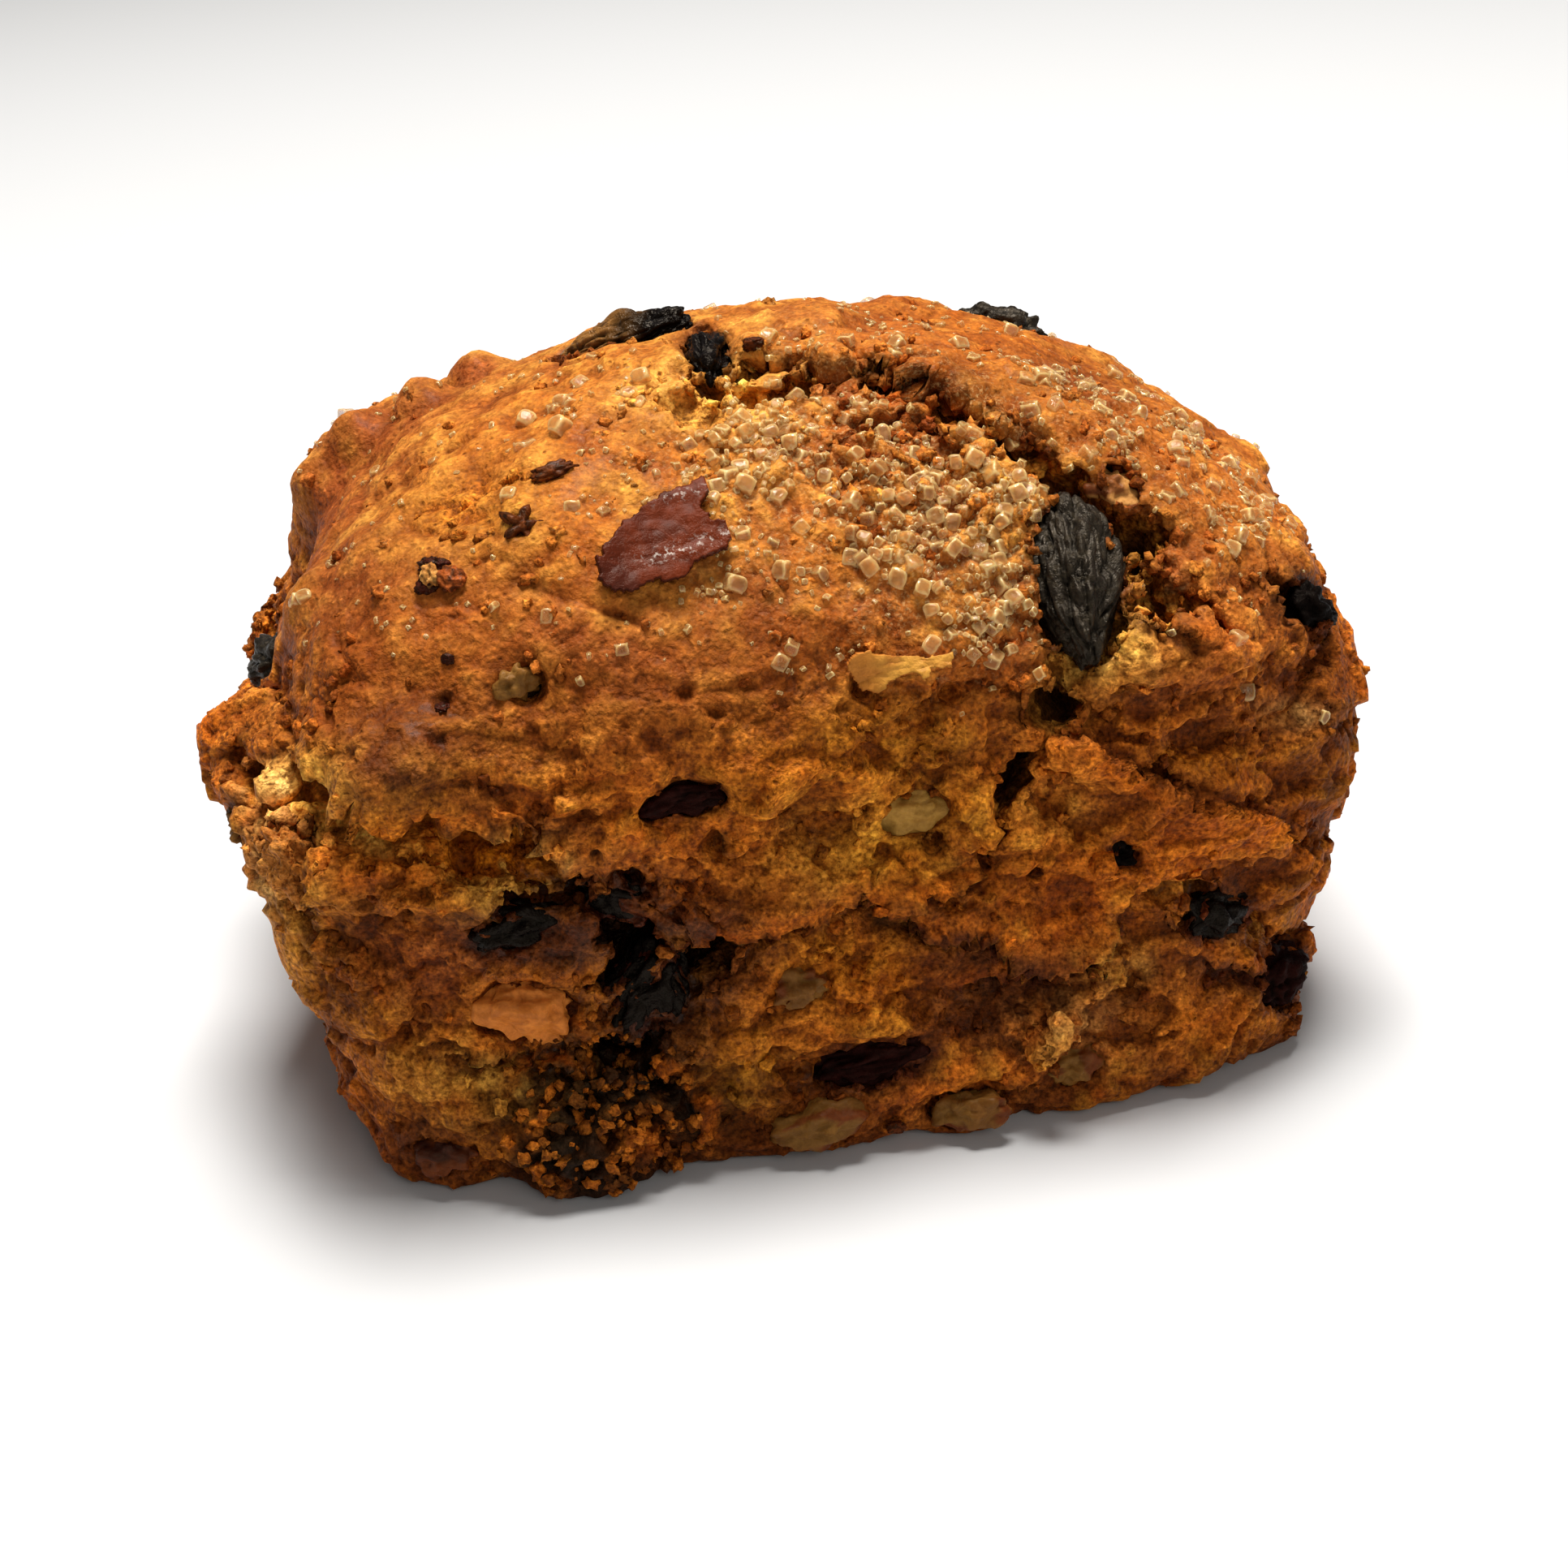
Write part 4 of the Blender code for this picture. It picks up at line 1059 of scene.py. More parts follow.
@dataclass(frozen=True)
class CrackCutter:
    """The wedge with torn walls that opens a crack."""

    crack: Crack
    step: float = 0.8
    lift: float = 2.6
    seam: float = 1e-4
    blunt: float = 0.25
    taper: float = 3.0
    profile: tuple[tuple[float, float], ...] = (
        (-1.3, -1.0), (-1.0, 0.0), (-0.95, 0.28), (-0.75, 0.62), (-0.32, 0.93),
        (0.3, 1.0), (0.74, 0.66), (0.95, 0.3), (1.0, 0.0), (1.3, -1.0),
    )

    def route(self, stops: list[Stop]) -> list[Stop]:
        """Fill the crack's stops in with a smooth curve, at an even step.

        Args:
            stops: The stops as places of the dough.

        Returns:
            Stops a step apart.
        """
        filled = []
        last = len(stops) - 1
        for index in range(last):
            before, start, end, after = (stops[row][0] for row in (
                max(index - 1, 0), index, index + 1, min(index + 2, last)))
            count = max(1, round((end - start).length / self.step))
            for step in range(count):
                t = step / count
                place = 0.5 * (2.0 * start + (end - before) * t
                               + (2.0 * before - 5.0 * start + 4.0 * end - after) * t * t
                               + (3.0 * start - before - 3.0 * end + after) * t * t * t)
                width, depth = (stops[index][size] * (1.0 - t) + stops[index + 1][size] * t
                                for size in (1, 2))
                filled.append((place, width, depth))
        return [*filled, stops[last]]

    def rings(self, crust: BVHTree) -> Array:
        """Lay a ragged wedge across the route at every step.

        Args:
            crust: Search tree of the uncracked crust.

        Returns:
            Places by ring and corner.
        """
        stops = []
        for place, width, depth in self.route(self.crack.placed(crust)):
            spot, normal, _, _ = crust.find_nearest(place)
            stops.append((spot, normal, width, depth))
        key = 3.7 * len(self.crack.name) + self.crack.stops[0][0][0]
        ragged = self.crack.ragged
        last = len(stops) - 1
        rings = []
        for index, (spot, normal, width, depth) in enumerate(stops):
            ahead, behind = stops[min(index + 2, last)][0], stops[max(index - 2, 0)][0]
            across = normal.cross((ahead - behind).normalized()).normalized()
            along = index * self.step
            ends = min(index, last - index) * self.step
            taper = self.blunt + (1.0 - self.blunt) * min(1.0, ends / self.taper)
            sway = ragged * (0.9 * noise.noise((along / 3.1, key, 0.0)) * (0.5 + 0.4 * width)
                             + 0.55 * noise.noise((along / 1.1, key, 5.0)))
            ring = []
            for corner, (out, down) in enumerate(self.profile):
                sink = -self.lift if down < 0.0 else depth * down * max(taper, 0.5)
                sway_here = sway + self.crack.lean * max(sink, 0.0)
                rough = noise.noise((along / 0.9, key + 2.0 * corner, sink))
                reach = width * taper * (out + 0.28 * rough) + sway_here + 0.35 * ragged * rough
                ring.append(tuple(spot + across * reach - normal * sink))
            rings.append(ring)
        return np.asarray(rings)

    def build(self, crust: BVHTree) -> Solid:
        """Make the closed cutter from a grid that is rolled up over the rings.

        Args:
            crust: Search tree of the uncracked crust.

        Returns:
            The cutter.
        """
        rings = self.rings(crust)
        count, corners = rings.shape[:2]
        piece = grid(corners, count - 1)
        flat = read_places(piece)
        column = np.rint((flat[:, 0] + 1.0) / 2.0 * corners).astype(int) % corners
        row = np.rint((flat[:, 1] + 1.0) / 2.0 * (count - 1)).astype(int)
        write_places(piece, rings[row, column])
        edit(piece, "remove_doubles", threshold=self.seam)
        edit(piece, "fill_holes", sides=0)
        edit(piece, "normals_make_consistent", inside=False)
        piece.name = self.crack.name + "_cutter"
        return piece


# ------------------------------------------------------------------ fruit and nuts
class Skin(Enum):
    """How a raisin's skin looks: its name, roughness, greyish bloom and shine."""

    DRY = ("raisin_dry_look", 0.36, 0.22, 0.22)
    WET = ("raisin_wet_look", 0.14, 0.0, 0.10)
    DARK = ("raisin_dark_look", 0.45, 0.0, 0.03)


class Kind(Enum):
    """What a topping is made of: its wrinkle, the count of its folds, and its stain.

    The stain is a tone, a reach, a least share, a share that noise adds, and a gloss.
    """

    RAISIN = (0.9, 1.9, (Tone.PLUM, 0.9, 0.55, 0.6, 0.3))
    NUT = (0.7, 2.6, (Tone.BROWN, 0.6, 0.40, 0.5, 0.0))


@dataclass(frozen=True)
class Topping:
    """A fruit or nut: where it lies, its size, the way it points and how far it stands out."""

    name: str
    place: Point
    size: Point
    heading: Point
    stand_out: float
    tone: Tone
    mouth: float = 0.0
    pressed: bool = False
    detail: int = 4
    skin_look: Skin = Skin.DARK
    far_tone: Tone | None = None
    step_out: float = 0.0
    bare: bool = False
    taper: float = 0.0
    porous: bool = False
    faces: int = 13
    widest: float = 1.06
    hollow_gap: float = 0.24
    plate_gap: float = 0.25

    @property
    def kind(self) -> Kind:
        """Say whether it is a raisin or a nut."""
        return Kind.RAISIN if self.name.startswith("raisin") else Kind.NUT

    def lie(self, crust: BVHTree) -> Matrix:
        """Find how it lies on the crust: X along it and Z out of the crust.

        Args:
            crust: Search tree of the uncracked crust.

        Returns:
            The matrix that lays it there.
        """
        spot, normal, _, _ = crust.find_nearest(Vector(self.place))
        if self.pressed:
            normal = Vector((0.0, 0.0, -1.0))
        return lay(spot + normal * self.stand_out, Vector(self.heading), normal)

    def skin(self, ways: Array) -> Array:
        """Send directions from its middle onto its outside, in millimetres around its middle.

        Args:
            ways: Directions, one row each.

        Returns:
            Places on its outside.
        """
        wrinkle, folds, _ = self.kind.value
        shift = (len(self.name) * 1.7, self.size[0], self.size[1])
        push = wrinkle * noise_at(ways, 1.0 / folds, shift)
        return ways * np.asarray(self.size) / 2.0 + ways * push[:, None]

    def press(self, places: Array) -> Array:
        """Flatten a piece of the underside just above the plate.

        Args:
            places: Places around its middle.

        Returns:
            The places, held above the plate.
        """
        if self.pressed:
            places[:, 2] = np.minimum(places[:, 2], -self.stand_out - self.plate_gap)
        return places

    def nearness(self, places: Array, crust: BVHTree) -> Array:
        """Measure roughly how far places of the dough are from its outside, in millimetres.

        Args:
            places: Places in millimetres, one row each.
            crust: Search tree of the uncracked crust.

        Returns:
            Distance for each place, below zero inside it.
        """
        back = self.lie(crust).inverted()
        turn = np.asarray(back.to_3x3())
        local = places @ turn.T + np.asarray(back.translation)
        far = np.linalg.norm(local / (np.asarray(self.size) / 2.0), axis=1)
        size = np.linalg.norm(local, axis=1)
        return size * (1.0 - 1.0 / np.maximum(far, 1e-6))

    def laid(self, piece: Solid, places: Array, crust: BVHTree) -> Solid:
        """Give a piece its places around the topping's middle and lay it on the crust.

        Args:
            piece: The object.
            places: Places around the topping's middle.
            crust: Search tree of the uncracked crust.

        Returns:
            The same piece.
        """
        write_places(piece, places)
        piece.data.transform(self.lie(crust))
        return piece

    def pocket(self, crust: BVHTree) -> list[Solid]:
        """Make the cutters of the hollow that it lies in and of the hole above it.

        Args:
            crust: Search tree of the uncracked crust.

        Returns:
            One or two cutters.
        """
        hollow = ball(3 if self.size[0] > 6.0 else 2)
        ways = unit(read_places(hollow))
        grow = self.hollow_gap + 0.35 * noise_at(ways, 0.28, len(self.name))
        cutters = [self.laid(hollow, self.press(self.skin(ways) + ways * grow[:, None]), crust)]
        if self.mouth > 0.0:
            hole = ball(3)
            ways = unit(read_places(hole))
            half = np.asarray(self.size) / 2.0 * self.mouth
            half[2] = -self.stand_out
            rough = 1.0 + 0.4 * noise_at(ways, 0.45, self.size[0])
            places = ways * half * rough[:, None]
            places[:, 2] -= self.stand_out - 0.3
            cutters.append(self.laid(hole, places, crust))
        return cutters

    def raisin(self) -> tuple[Array, Array, Solid]:
        """Wrinkle a ball into a raisin; give its places, its colours with painted shade in the creases, and
        the ball.

        Returns:
            Places, colours and the object.
        """
        piece = ball(self.detail + 1 if self.size[0] > 8.0 else self.detail)
        ways = unit(read_places(piece))
        shift = len(self.name) * 2.3 + self.size[1]
        drawn = ways * np.asarray((0.55, 1.0, 1.0))
        deep = crease_at(drawn, 0.42, 0.13, shift)
        fine = crease_at(drawn, 0.19, 0.15, shift + 4.0)
        grit = noise_at(ways, 0.09, shift)
        push = 0.16 - 0.46 * deep - 0.24 * fine + 0.09 * grit + 0.24 * noise_at(ways, 0.3, shift)
        places = self.skin(ways) + ways * push[:, None] * min(1.0, self.size[1] / 5.0)
        places[:, 1] *= 1.0 - self.taper * ease(0.0, 0.5, places[:, 0] / self.size[0])
        # painted shade: the skin is darker in the creases that are pressed into it
        colours = plain(self.tone, len(ways)) * (1.35 - 0.8 * deep - 0.45 * fine)[:, None]
        return places, colours, piece

    def nut(self) -> tuple[Array, Array, Solid]:
        """Break a ball along flat faces into a walnut bit; give its places, colours and the ball.

        Returns:
            Places, colours and the object.
        """
        piece = ball(self.detail)
        ways = unit(read_places(piece))
        chance = np.random.RandomState(len(self.name) * 7 + int(self.size[0] * 10.0))
        reach = np.full(len(ways), self.widest)
        face = np.zeros(len(ways), int)
        for index, normal in enumerate(unit(chance.normal(size=(self.faces, 3)))):
            level = chance.uniform(0.74, 1.0) / np.maximum(ways @ normal, 1e-3)
            level[ways @ normal < 0.05] = np.inf
            face = np.where(level < reach, index, face)
            reach = np.minimum(reach, level)
        shift = self.size[0] + len(self.name)
        push = 0.20 * noise_at(ways, 0.34, shift) - 0.16 * crease_at(ways, 0.5, 0.10, shift)
        if self.porous:
            paint(piece, MARKS, np.tile((0.2, 0.0, 1.0), (len(ways), 1)))
            push = push + 0.8 * noise_at(ways, 0.5, shift) + 0.5 * noise_at(ways, 0.18, shift)
        places = self.skin(ways) * reach[:, None] + ways * push[:, None]
        coat = ease(0.0, 0.16, noise_at(ways, 0.9, shift)) * (face % 3 == 0)
        papery = (0.85 * coat + 0.25 * ease(0.90, 1.0, reach / self.widest)) * (0.15 if self.bare else 1.0)
        return places, blend(plain(self.tone, len(ways)), Tone.WALNUT_SKIN, papery), piece

    def build(self, crust: BVHTree) -> Solid:
        """Make the piece in the dough's frame, in millimetres.

        Args:
            crust: Search tree of the uncracked crust.

        Returns:
            The finished piece.
        """
        places, colours, piece = self.raisin() if self.kind is Kind.RAISIN else self.nut()
        if self.far_tone is not None:
            colours = blend(colours, self.far_tone, ease(-0.05, 0.30, places[:, 0] / self.size[0]))
        places[:, 2] += self.step_out
        self.laid(piece, self.press(places), crust)
        paint(piece, COLOUR, colours)
        round_off(piece)
        return piece


RAISINS = (
    Topping("raisin_crack", (20, -25, 44.3), (14.5, 7.2, 6), (-0.08, -0.62, -0.78), -2, Tone.RAISIN,
        detail=5, skin_look=Skin.DRY, taper=0.45),
    Topping("raisin_top", (-10.8, 5.6, 57), (12.5, 6.4, 4.6), (1, -0.45, 0), -1.2, Tone.RAISIN_BROWN, 1.1,
        detail=5, skin_look=Skin.WET, far_tone=Tone.RAISIN_BLACK),
    Topping("raisin_top_split", (-4.3, -2.2, 57.6), (10.5, 4, 4.8), (0.05, 1, 0), -1.8, Tone.RAISIN_BLACK,
        0.9, skin_look=Skin.WET),
    Topping("raisin_left", (-42.5, -1.2, 36), (9.5, 6.2, 4.8), (0.2, 0.8, -0.6), -1, Tone.RAISIN,
        skin_look=Skin.DRY),
    Topping("raisin_crater", (-16.2, -30.6, 15.2), (9.2, 5.6, 4.6), (0.55, 0, 0.83), -2.6,
        Tone.RAISIN_BLACK, 0.8, skin_look=Skin.WET),
    Topping("raisin_crater_left", (-25, -30, 22.4), (7.4, 3.6, 3.6), (1, 0, 0.12), -1.6, Tone.RAISIN_BLACK,
        0.9, skin_look=Skin.WET),
    Topping("raisin_crater_top", (-17.2, -30, 23.6), (6.2, 3.8, 3.6), (0.9, 0, -0.42), -2.6,
        Tone.RAISIN_BLACK, 0.9, skin_look=Skin.WET),
    Topping("raisin_front", (1.2, -31.4, 7.5), (10.4, 3.9, 4), (0.95, 0, 0.2), -1.6, Tone.RAISIN_RED, 0.8),
    Topping("raisin_right", (30.6, -29.8, 14.4), (6, 4.4, 3.8), (0.85, 0, -0.5), -1.6, Tone.RAISIN_BLACK,
        0.9, skin_look=Skin.WET),
    Topping("raisin_corner", (37.4, -27.4, 6.8), (7.2, 4.6, 4), (0.75, 0.6, 0.15), -1, Tone.RAISIN_RED,
        0.5),
    Topping("raisin_shoulder", (39.8, -21, 36.6), (5.4, 4, 3.6), (0.6, 0.5, -0.6), -0.8, Tone.RAISIN_BLACK,
        0.8),
    Topping("raisin_seam", (-11.6, -30, 32), (8.2, 2.8, 3), (1, 0, 0.2), -1.1, Tone.RAISIN_RED, 0.5),
    Topping("raisin_pit", (22, -30.2, 21.8), (4, 2.8, 2.8), (0.9, 0, -0.35), -1.5, Tone.RAISIN_BLACK, 0.8),
    Topping("raisin_ledge", (-44.5, -15.4, 27), (4.6, 3.6, 3.4), (0.2, 1, 0.1), -1.3, Tone.RAISIN_BROWN,
        0.7),
    Topping("raisin_side", (45.5, 5, 21), (9, 5.4, 4.6), (0, 0.9, 0.4), -1.4, Tone.RAISIN, 0.7),
    Topping("raisin_back", (-25, 30.6, 15), (10, 6, 4.8), (0.9, 0, 0.35), -1.5, Tone.RAISIN, 0.7),
    Topping("raisin_back_crack", (6, 28.6, 45), (9.4, 5.2, 4.8), (0.35, 0.5, -0.8), -1.8,
        Tone.RAISIN_BLACK),
    Topping("raisin_back_low", (30, 29.4, 10), (8, 4.8, 4.2), (1, 0, -0.25), -1.4, Tone.RAISIN_RED, 0.7),
    Topping("raisin_back_top", (24, 17, 51), (9, 5.6, 4.4), (0.8, -0.6, 0), -1, Tone.RAISIN,
        skin_look=Skin.DRY),
    Topping("raisin_under", (-15, 8, 0), (9, 5.6, 4.4), (0.9, 0.4, 0), -1, Tone.RAISIN, pressed=True),
)

NUTS = (
    Topping("nut_window", (6, -29.8, 27.6), (8.4, 5.2, 4.4), (1, 0, 0.12), -2.2, Tone.WALNUT_CREAM, 0.66,
        detail=5),
    Topping("nut_base", (-3.4, -31.8, 2.9), (7.6, 3.8, 4.2), (0.97, 0, 0.15), -1.4, Tone.WALNUT_DULL, 1.05,
        step_out=0.7),
    Topping("nut_left", (-25.4, -30.6, 15.4), (7.8, 6, 4.2), (0.9, 0, -0.2), -1.8, Tone.WALNUT_TOAST, 1.12,
        detail=5, step_out=0.8, bare=True),
    Topping("nut_middle", (-4, -30.8, 14.8), (4.6, 3.4, 3.2), (0.9, 0, 0.3), -1.4, Tone.WALNUT_DULL, 1.06,
        step_out=0.5),
    Topping("nut_crack", (24.6, -19.2, 48.6), (4.8, 3.8, 3.4), (0.8, -0.5, 0), -1.8, Tone.WALNUT),
    Topping("nut_flank", (-42.4, -24.8, 27), (7.6, 5.2, 4.4), (0.1, 0.1, 1), -1.3, Tone.WALNUT_GREY, 1.05,
        detail=5, bare=True, porous=True),
    Topping("nut_low", (-33, -30.2, 3.4), (5, 3.4, 3.2), (1, 0, 0.2), -1.2, Tone.WALNUT_DARK, 1.05),
    Topping("nut_low_right", (17.6, -31.6, 4.4), (4.6, 3.2, 3), (1, 0, 0.2), -1.2, Tone.WALNUT_DULL, 1.05,
        step_out=0.3),
    Topping("nut_foot", (8.8, -32.4, 2.4), (6.4, 3.4, 3), (1, 0, 0.05), -0.4, Tone.WALNUT_DULL),
    Topping("nut_shoulder", (-22.9, -27, 42.2), (3.4, 3, 2.6), (1, 0, 0.3), -0.9, Tone.WALNUT_DULL, 1.05,
        step_out=-0.4, bare=True),
    Topping("nut_side", (44, -8, 20.6), (7, 5, 4.2), (0, 1, -0.3), -1.5, Tone.WALNUT, 1.05),
    Topping("nut_back", (-5, 31, 14), (7.6, 5.4, 4.2), (1, 0, 0.3), -1.6, Tone.WALNUT, 1.05),
    Topping("nut_back_high", (24, 31, 23), (6, 4.6, 3.8), (1, 0, -0.4), -1.4, Tone.WALNUT_TOAST, 1.05),
    Topping("nut_back_top", (-22, 22, 47), (6.6, 5, 4), (0.9, -0.3, 0), -1.3, Tone.WALNUT_CREAM, 1.05),
    Topping("nut_under", (20, -12, 0), (7.6, 5.2, 4.2), (0.7, -0.7, 0), -0.9, Tone.WALNUT, pressed=True),
)

TOPPINGS = RAISINS + NUTS


# ------------------------------------------------------------------ marks on the crust
@dataclass(frozen=True)
class Pit(Mark):
    """A small hole, or a bump where depth is below zero, with sizes in millimetres."""

    reach: float
    depth: float


@dataclass(frozen=True)
class RoughSpot(Mark):
    """A broken, crumbly spot of the crust, with sizes in millimetres."""

    reach: float
    rise: float


@dataclass(frozen=True)
class Patch(Mark):
    """A patch of another colour or roughness.

    The reaches are along and across it in the picture, in millimetres, and turn is in degrees.
    An inner patch colours the crumb inside the cracks alone.
    """

    reach: tuple[float, float]
    tone: Tone
    share: float
    turn: float = 0.0
    gloss: float = 0.0
    inner: bool = False

    def weight(self, places: Array, crust: BVHTree) -> Array:
        """Say how strongly the patch covers each place, from 0 to 1.

        Args:
            places: Places in millimetres, one row each.
            crust: Search tree of the uncracked crust.

        Returns:
            One value for each place.
        """
        middle, _ = VIEW.spot(self.pixel, crust)
        right, up, ahead = (np.asarray(way) for way in VIEW.axes())
        turn = math.radians(self.turn)
        along = right * math.cos(turn) + up * math.sin(turn)
        across = up * math.cos(turn) - right * math.sin(turn)
        gap = places - np.asarray(middle)
        size = ((gap @ along) / self.reach[0]) ** 2 + ((gap @ across) / self.reach[1]) ** 2
        size = size + ((gap @ ahead) / (1.6 * max(self.reach) + 3.0)) ** 2
        return np.exp(-size)


@dataclass(frozen=True)
class Ledge:
    """A torn edge along pixels of the photograph, where the crust above stands over that below.

    Going along its pixels, the upper crust is on the left.  Its tone is painted just under the edge, mostly
    as a painted shadow, and its lip is painted orange as painted light.
    """

    name: str
    pixels: tuple[Pixel, ...]
    rise: float
    drop: float
    reach: float = 3.0
    # the tone painted just under the edge, mostly as a painted shadow
    tone: Tone = Tone.DARK_BROWN
    taper: float = 2.0
    overhang: float = 0.7

    def sides(self, places: Array, crust: BVHTree) -> tuple[Array, Array, Array, Array]:
        """Find the places near the edge and how far over or under it they are.

        Args:
            places: Places on the crust.
            crust: Search tree of the uncracked crust.

        Returns:
            Row numbers of the near places, their distances over the edge, their weights and the
            directions over the edge.
        """
        spots = [VIEW.spot(pixel, crust) for pixel in self.pixels]
        least = np.full(len(places), np.inf)
        side = np.zeros(len(places))
        over = np.zeros((len(places), 3))
        for (first, lean_a), (last, lean_b) in zip(spots, spots[1:]):
            step = np.asarray(last - first)
            share = np.clip((places - np.asarray(first)) @ step / (step @ step), 0.0, 1.0)
            gap = places - np.asarray(first) - share[:, None] * step
            away = np.linalg.norm(gap, axis=1)
            up = np.asarray((lean_a + lean_b).normalized().cross((last - first).normalized()))
            closer = away < least
            side[closer] = np.copysign(away, gap @ up)[closer]
            over[closer] = up
            least = np.minimum(least, away)
        rows = np.flatnonzero(least < 3.0 * self.reach)
        some = places[rows]
        jag = 0.8 * noise_at(some, 1.7, 33.0) + 0.7 * noise_at(some, 0.8, 35.0)
        weight = np.prod([ease(0.0, self.taper, distance(some, spots[end][0])) for end in (0, -1)], axis=0)
        return rows, side[rows] + jag, weight, over[rows]


LEDGES = (
    Ledge("torn_front",
        ((890, 1168), (912, 1158), (937, 1145), (969, 1141), (1034, 1131), (1062, 1096), (1080, 1122),
        (1106, 1126), (1118, 1115), (1147, 1106), (1194, 1084), (1210, 1050)), 0.9, 0.9, 3,
        Tone.DARK_BROWN),
    Ledge("torn_flap",
        ((1112, 1128), (1150, 1157), (1212, 1150), (1250, 1169), (1300, 1188), (1325, 1176), (1362, 1162),
        (1378, 1130)), 1.2, 1.6, 3, Tone.PLUM, overhang=1.1),
    Ledge("torn_rough", ((1165, 1225), (1200, 1215), (1262, 1205), (1290, 1212)), 0.4, 0.7, 2, Tone.PLUM),
    Ledge("valley_edge",
        ((1605, 1040), (1560, 1006), (1500, 990), (1440, 972), (1388, 945), (1330, 915), (1290, 905)), 0.9,
        0.9, 3, Tone.BROWN, overhang=0.2),
    Ledge("ridge_arc", ((1105, 955), (1040, 935), (985, 935), (937, 965), (915, 1000)), 0.7, 0.3, 3,
        Tone.OLIVE, overhang=0),
    Ledge("lid_edge",
        ((400, 960), (430, 972), (490, 994), (515, 1006), (577, 1031), (615, 1019), (668, 1008)), 1.5, 1,
        2.4, Tone.DARK_BROWN, overhang=1.6),
    Ledge("lip_edge", ((560, 1078), (500, 1072), (430, 1064), (377, 1069)), 0.7, 0.5, 1.8, Tone.TORN,
        overhang=0.2),
    Ledge("notch", ((872, 1020), (900, 1045), (925, 1058)), 0.6, 0.8, 1.6, Tone.BROWN),
    Ledge("step_left", ((668, 1010), (668, 1035), (672, 1058), (715, 1082), (760, 1078)), 0.8, 0.8, 2,
        Tone.DARK_BROWN),
    Ledge("nut_fringe", ((560, 1285), (590, 1302), (640, 1298), (680, 1290), (705, 1270)), 0.4, 0.8, 1.6,
        Tone.DARK_BROWN),
    Ledge("lump_top",
        ((640, 1345), (665, 1318), (700, 1322), (745, 1318), (790, 1318), (835, 1335), (862, 1370),
        (868, 1420)), 0.4, 0.9, 2.4, Tone.CHAR, overhang=0.2),
    Ledge("ledge_pale", ((300, 985), (330, 1000), (360, 1012), (400, 990)), 0.9, 0.9, 2.4, Tone.BROWN),
    Ledge("rim_upright", ((392, 1060), (388, 1100), (390, 1150), (400, 1190)), 0.8, 0.6, 1.8,
        Tone.DARK_BROWN, overhang=0.2),
    Ledge("crown_ledge",
        ((905, 440), (937, 434), (994, 438), (1025, 450), (1081, 446), (1131, 458), (1162, 478)), 1.7, 1.4,
        3.6, Tone.DARK_BROWN, overhang=1.5),
    Ledge("crown_front", ((1010, 560), (1050, 520), (1110, 500), (1160, 520), (1190, 560)), 0.6, 0.7, 2.4,
        Tone.RED_BROWN),
    Ledge("right_flap", ((1385, 745), (1420, 765), (1460, 780), (1495, 800)), 0.5, 0.9, 2, Tone.DARK_BROWN),
    Ledge("base_right", ((1140, 1352), (1180, 1340), (1240, 1338), (1290, 1330)), 0.5, 0.9, 2,
        Tone.DARK_BROWN),
    Ledge("corner_right", ((1480, 1180), (1530, 1195), (1590, 1190), (1615, 1180)), 0.7, 0.8, 1.8,
        Tone.PLUM),
)

PITS = (
    Pit("pit_shoulder", (650, 848), 1.3, 2), Pit("pit_right_small", (1276, 1075), 0.7, 1),
    Pit("pit_under_flake", (1066, 846), 1.1, 1.4), Pit("pit_under_sugar", (1176, 856), 0.9, 1.1),
    Pit("pit_nut_window", (1150, 1040), 1, 1.4), Pit("pit_left_a", (500, 1130), 0.6, 0.9),
    Pit("pit_left_b", (475, 1135), 0.5, 0.8), Pit("pit_left_c", (345, 1060), 0.6, 0.8),
    Pit("pit_front_a", (1000, 945), 0.5, 0.6), Pit("pit_front_b", (735, 1050), 0.6, 0.8),
    Pit("pit_front_c", (800, 1060), 0.6, 0.7), Pit("pit_front_d", (885, 1040), 1.1, 1),
    Pit("pit_low_c", (1395, 1215), 1.3, 1.5), Pit("pit_left_spot", (545, 862), 0.7, 0.8),
    Pit("pit_left_spot_low", (540, 915), 0.7, 0.8), Pit("pit_crown", (1130, 430), 1, 1.4),
    Pit("pit_right_top", (1530, 640), 0.6, 0.8), Pit("pit_star", (642, 650), 0.9, 0.8),
    Pit("pit_low_left", (520, 1250), 0.7, 0.9), Pit("pit_front_low", (950, 1255), 0.6, 0.8),
    Pit("pit_burnt_a", (700, 1370), 0.9, 1.3), Pit("pit_burnt_b", (760, 1400), 1, 1.4),
    Pit("pit_burnt_c", (730, 1440), 0.8, 1.2), Pit("pit_burnt_d", (810, 1380), 0.9, 1.2),
)

BUMPS = (
    Pit("bump_rim_a", (590, 464), 2.8, -2.2), Pit("bump_rim_b", (520, 494), 2.6, -1.9),
    Pit("bump_rim_c", (440, 536), 3, -2), Pit("bump_rim_d", (385, 600), 3.2, -1.5),
    Pit("bump_left", (372, 742), 3, -1.2), Pit("bump_crown", (1000, 392), 4, -1.2),
    Pit("bump_lid", (500, 950), 4.4, -1.6), Pit("bump_lip", (400, 1075), 2.6, -1),
    Pit("bump_ledge", (330, 992), 3, -1.4), Pit("bump_right", (1650, 960), 3.6, -0.8),
    Pit("hollow_gold", (560, 610), 5, 1), Pit("hollow_right", (1480, 900), 4, 0.8),
)

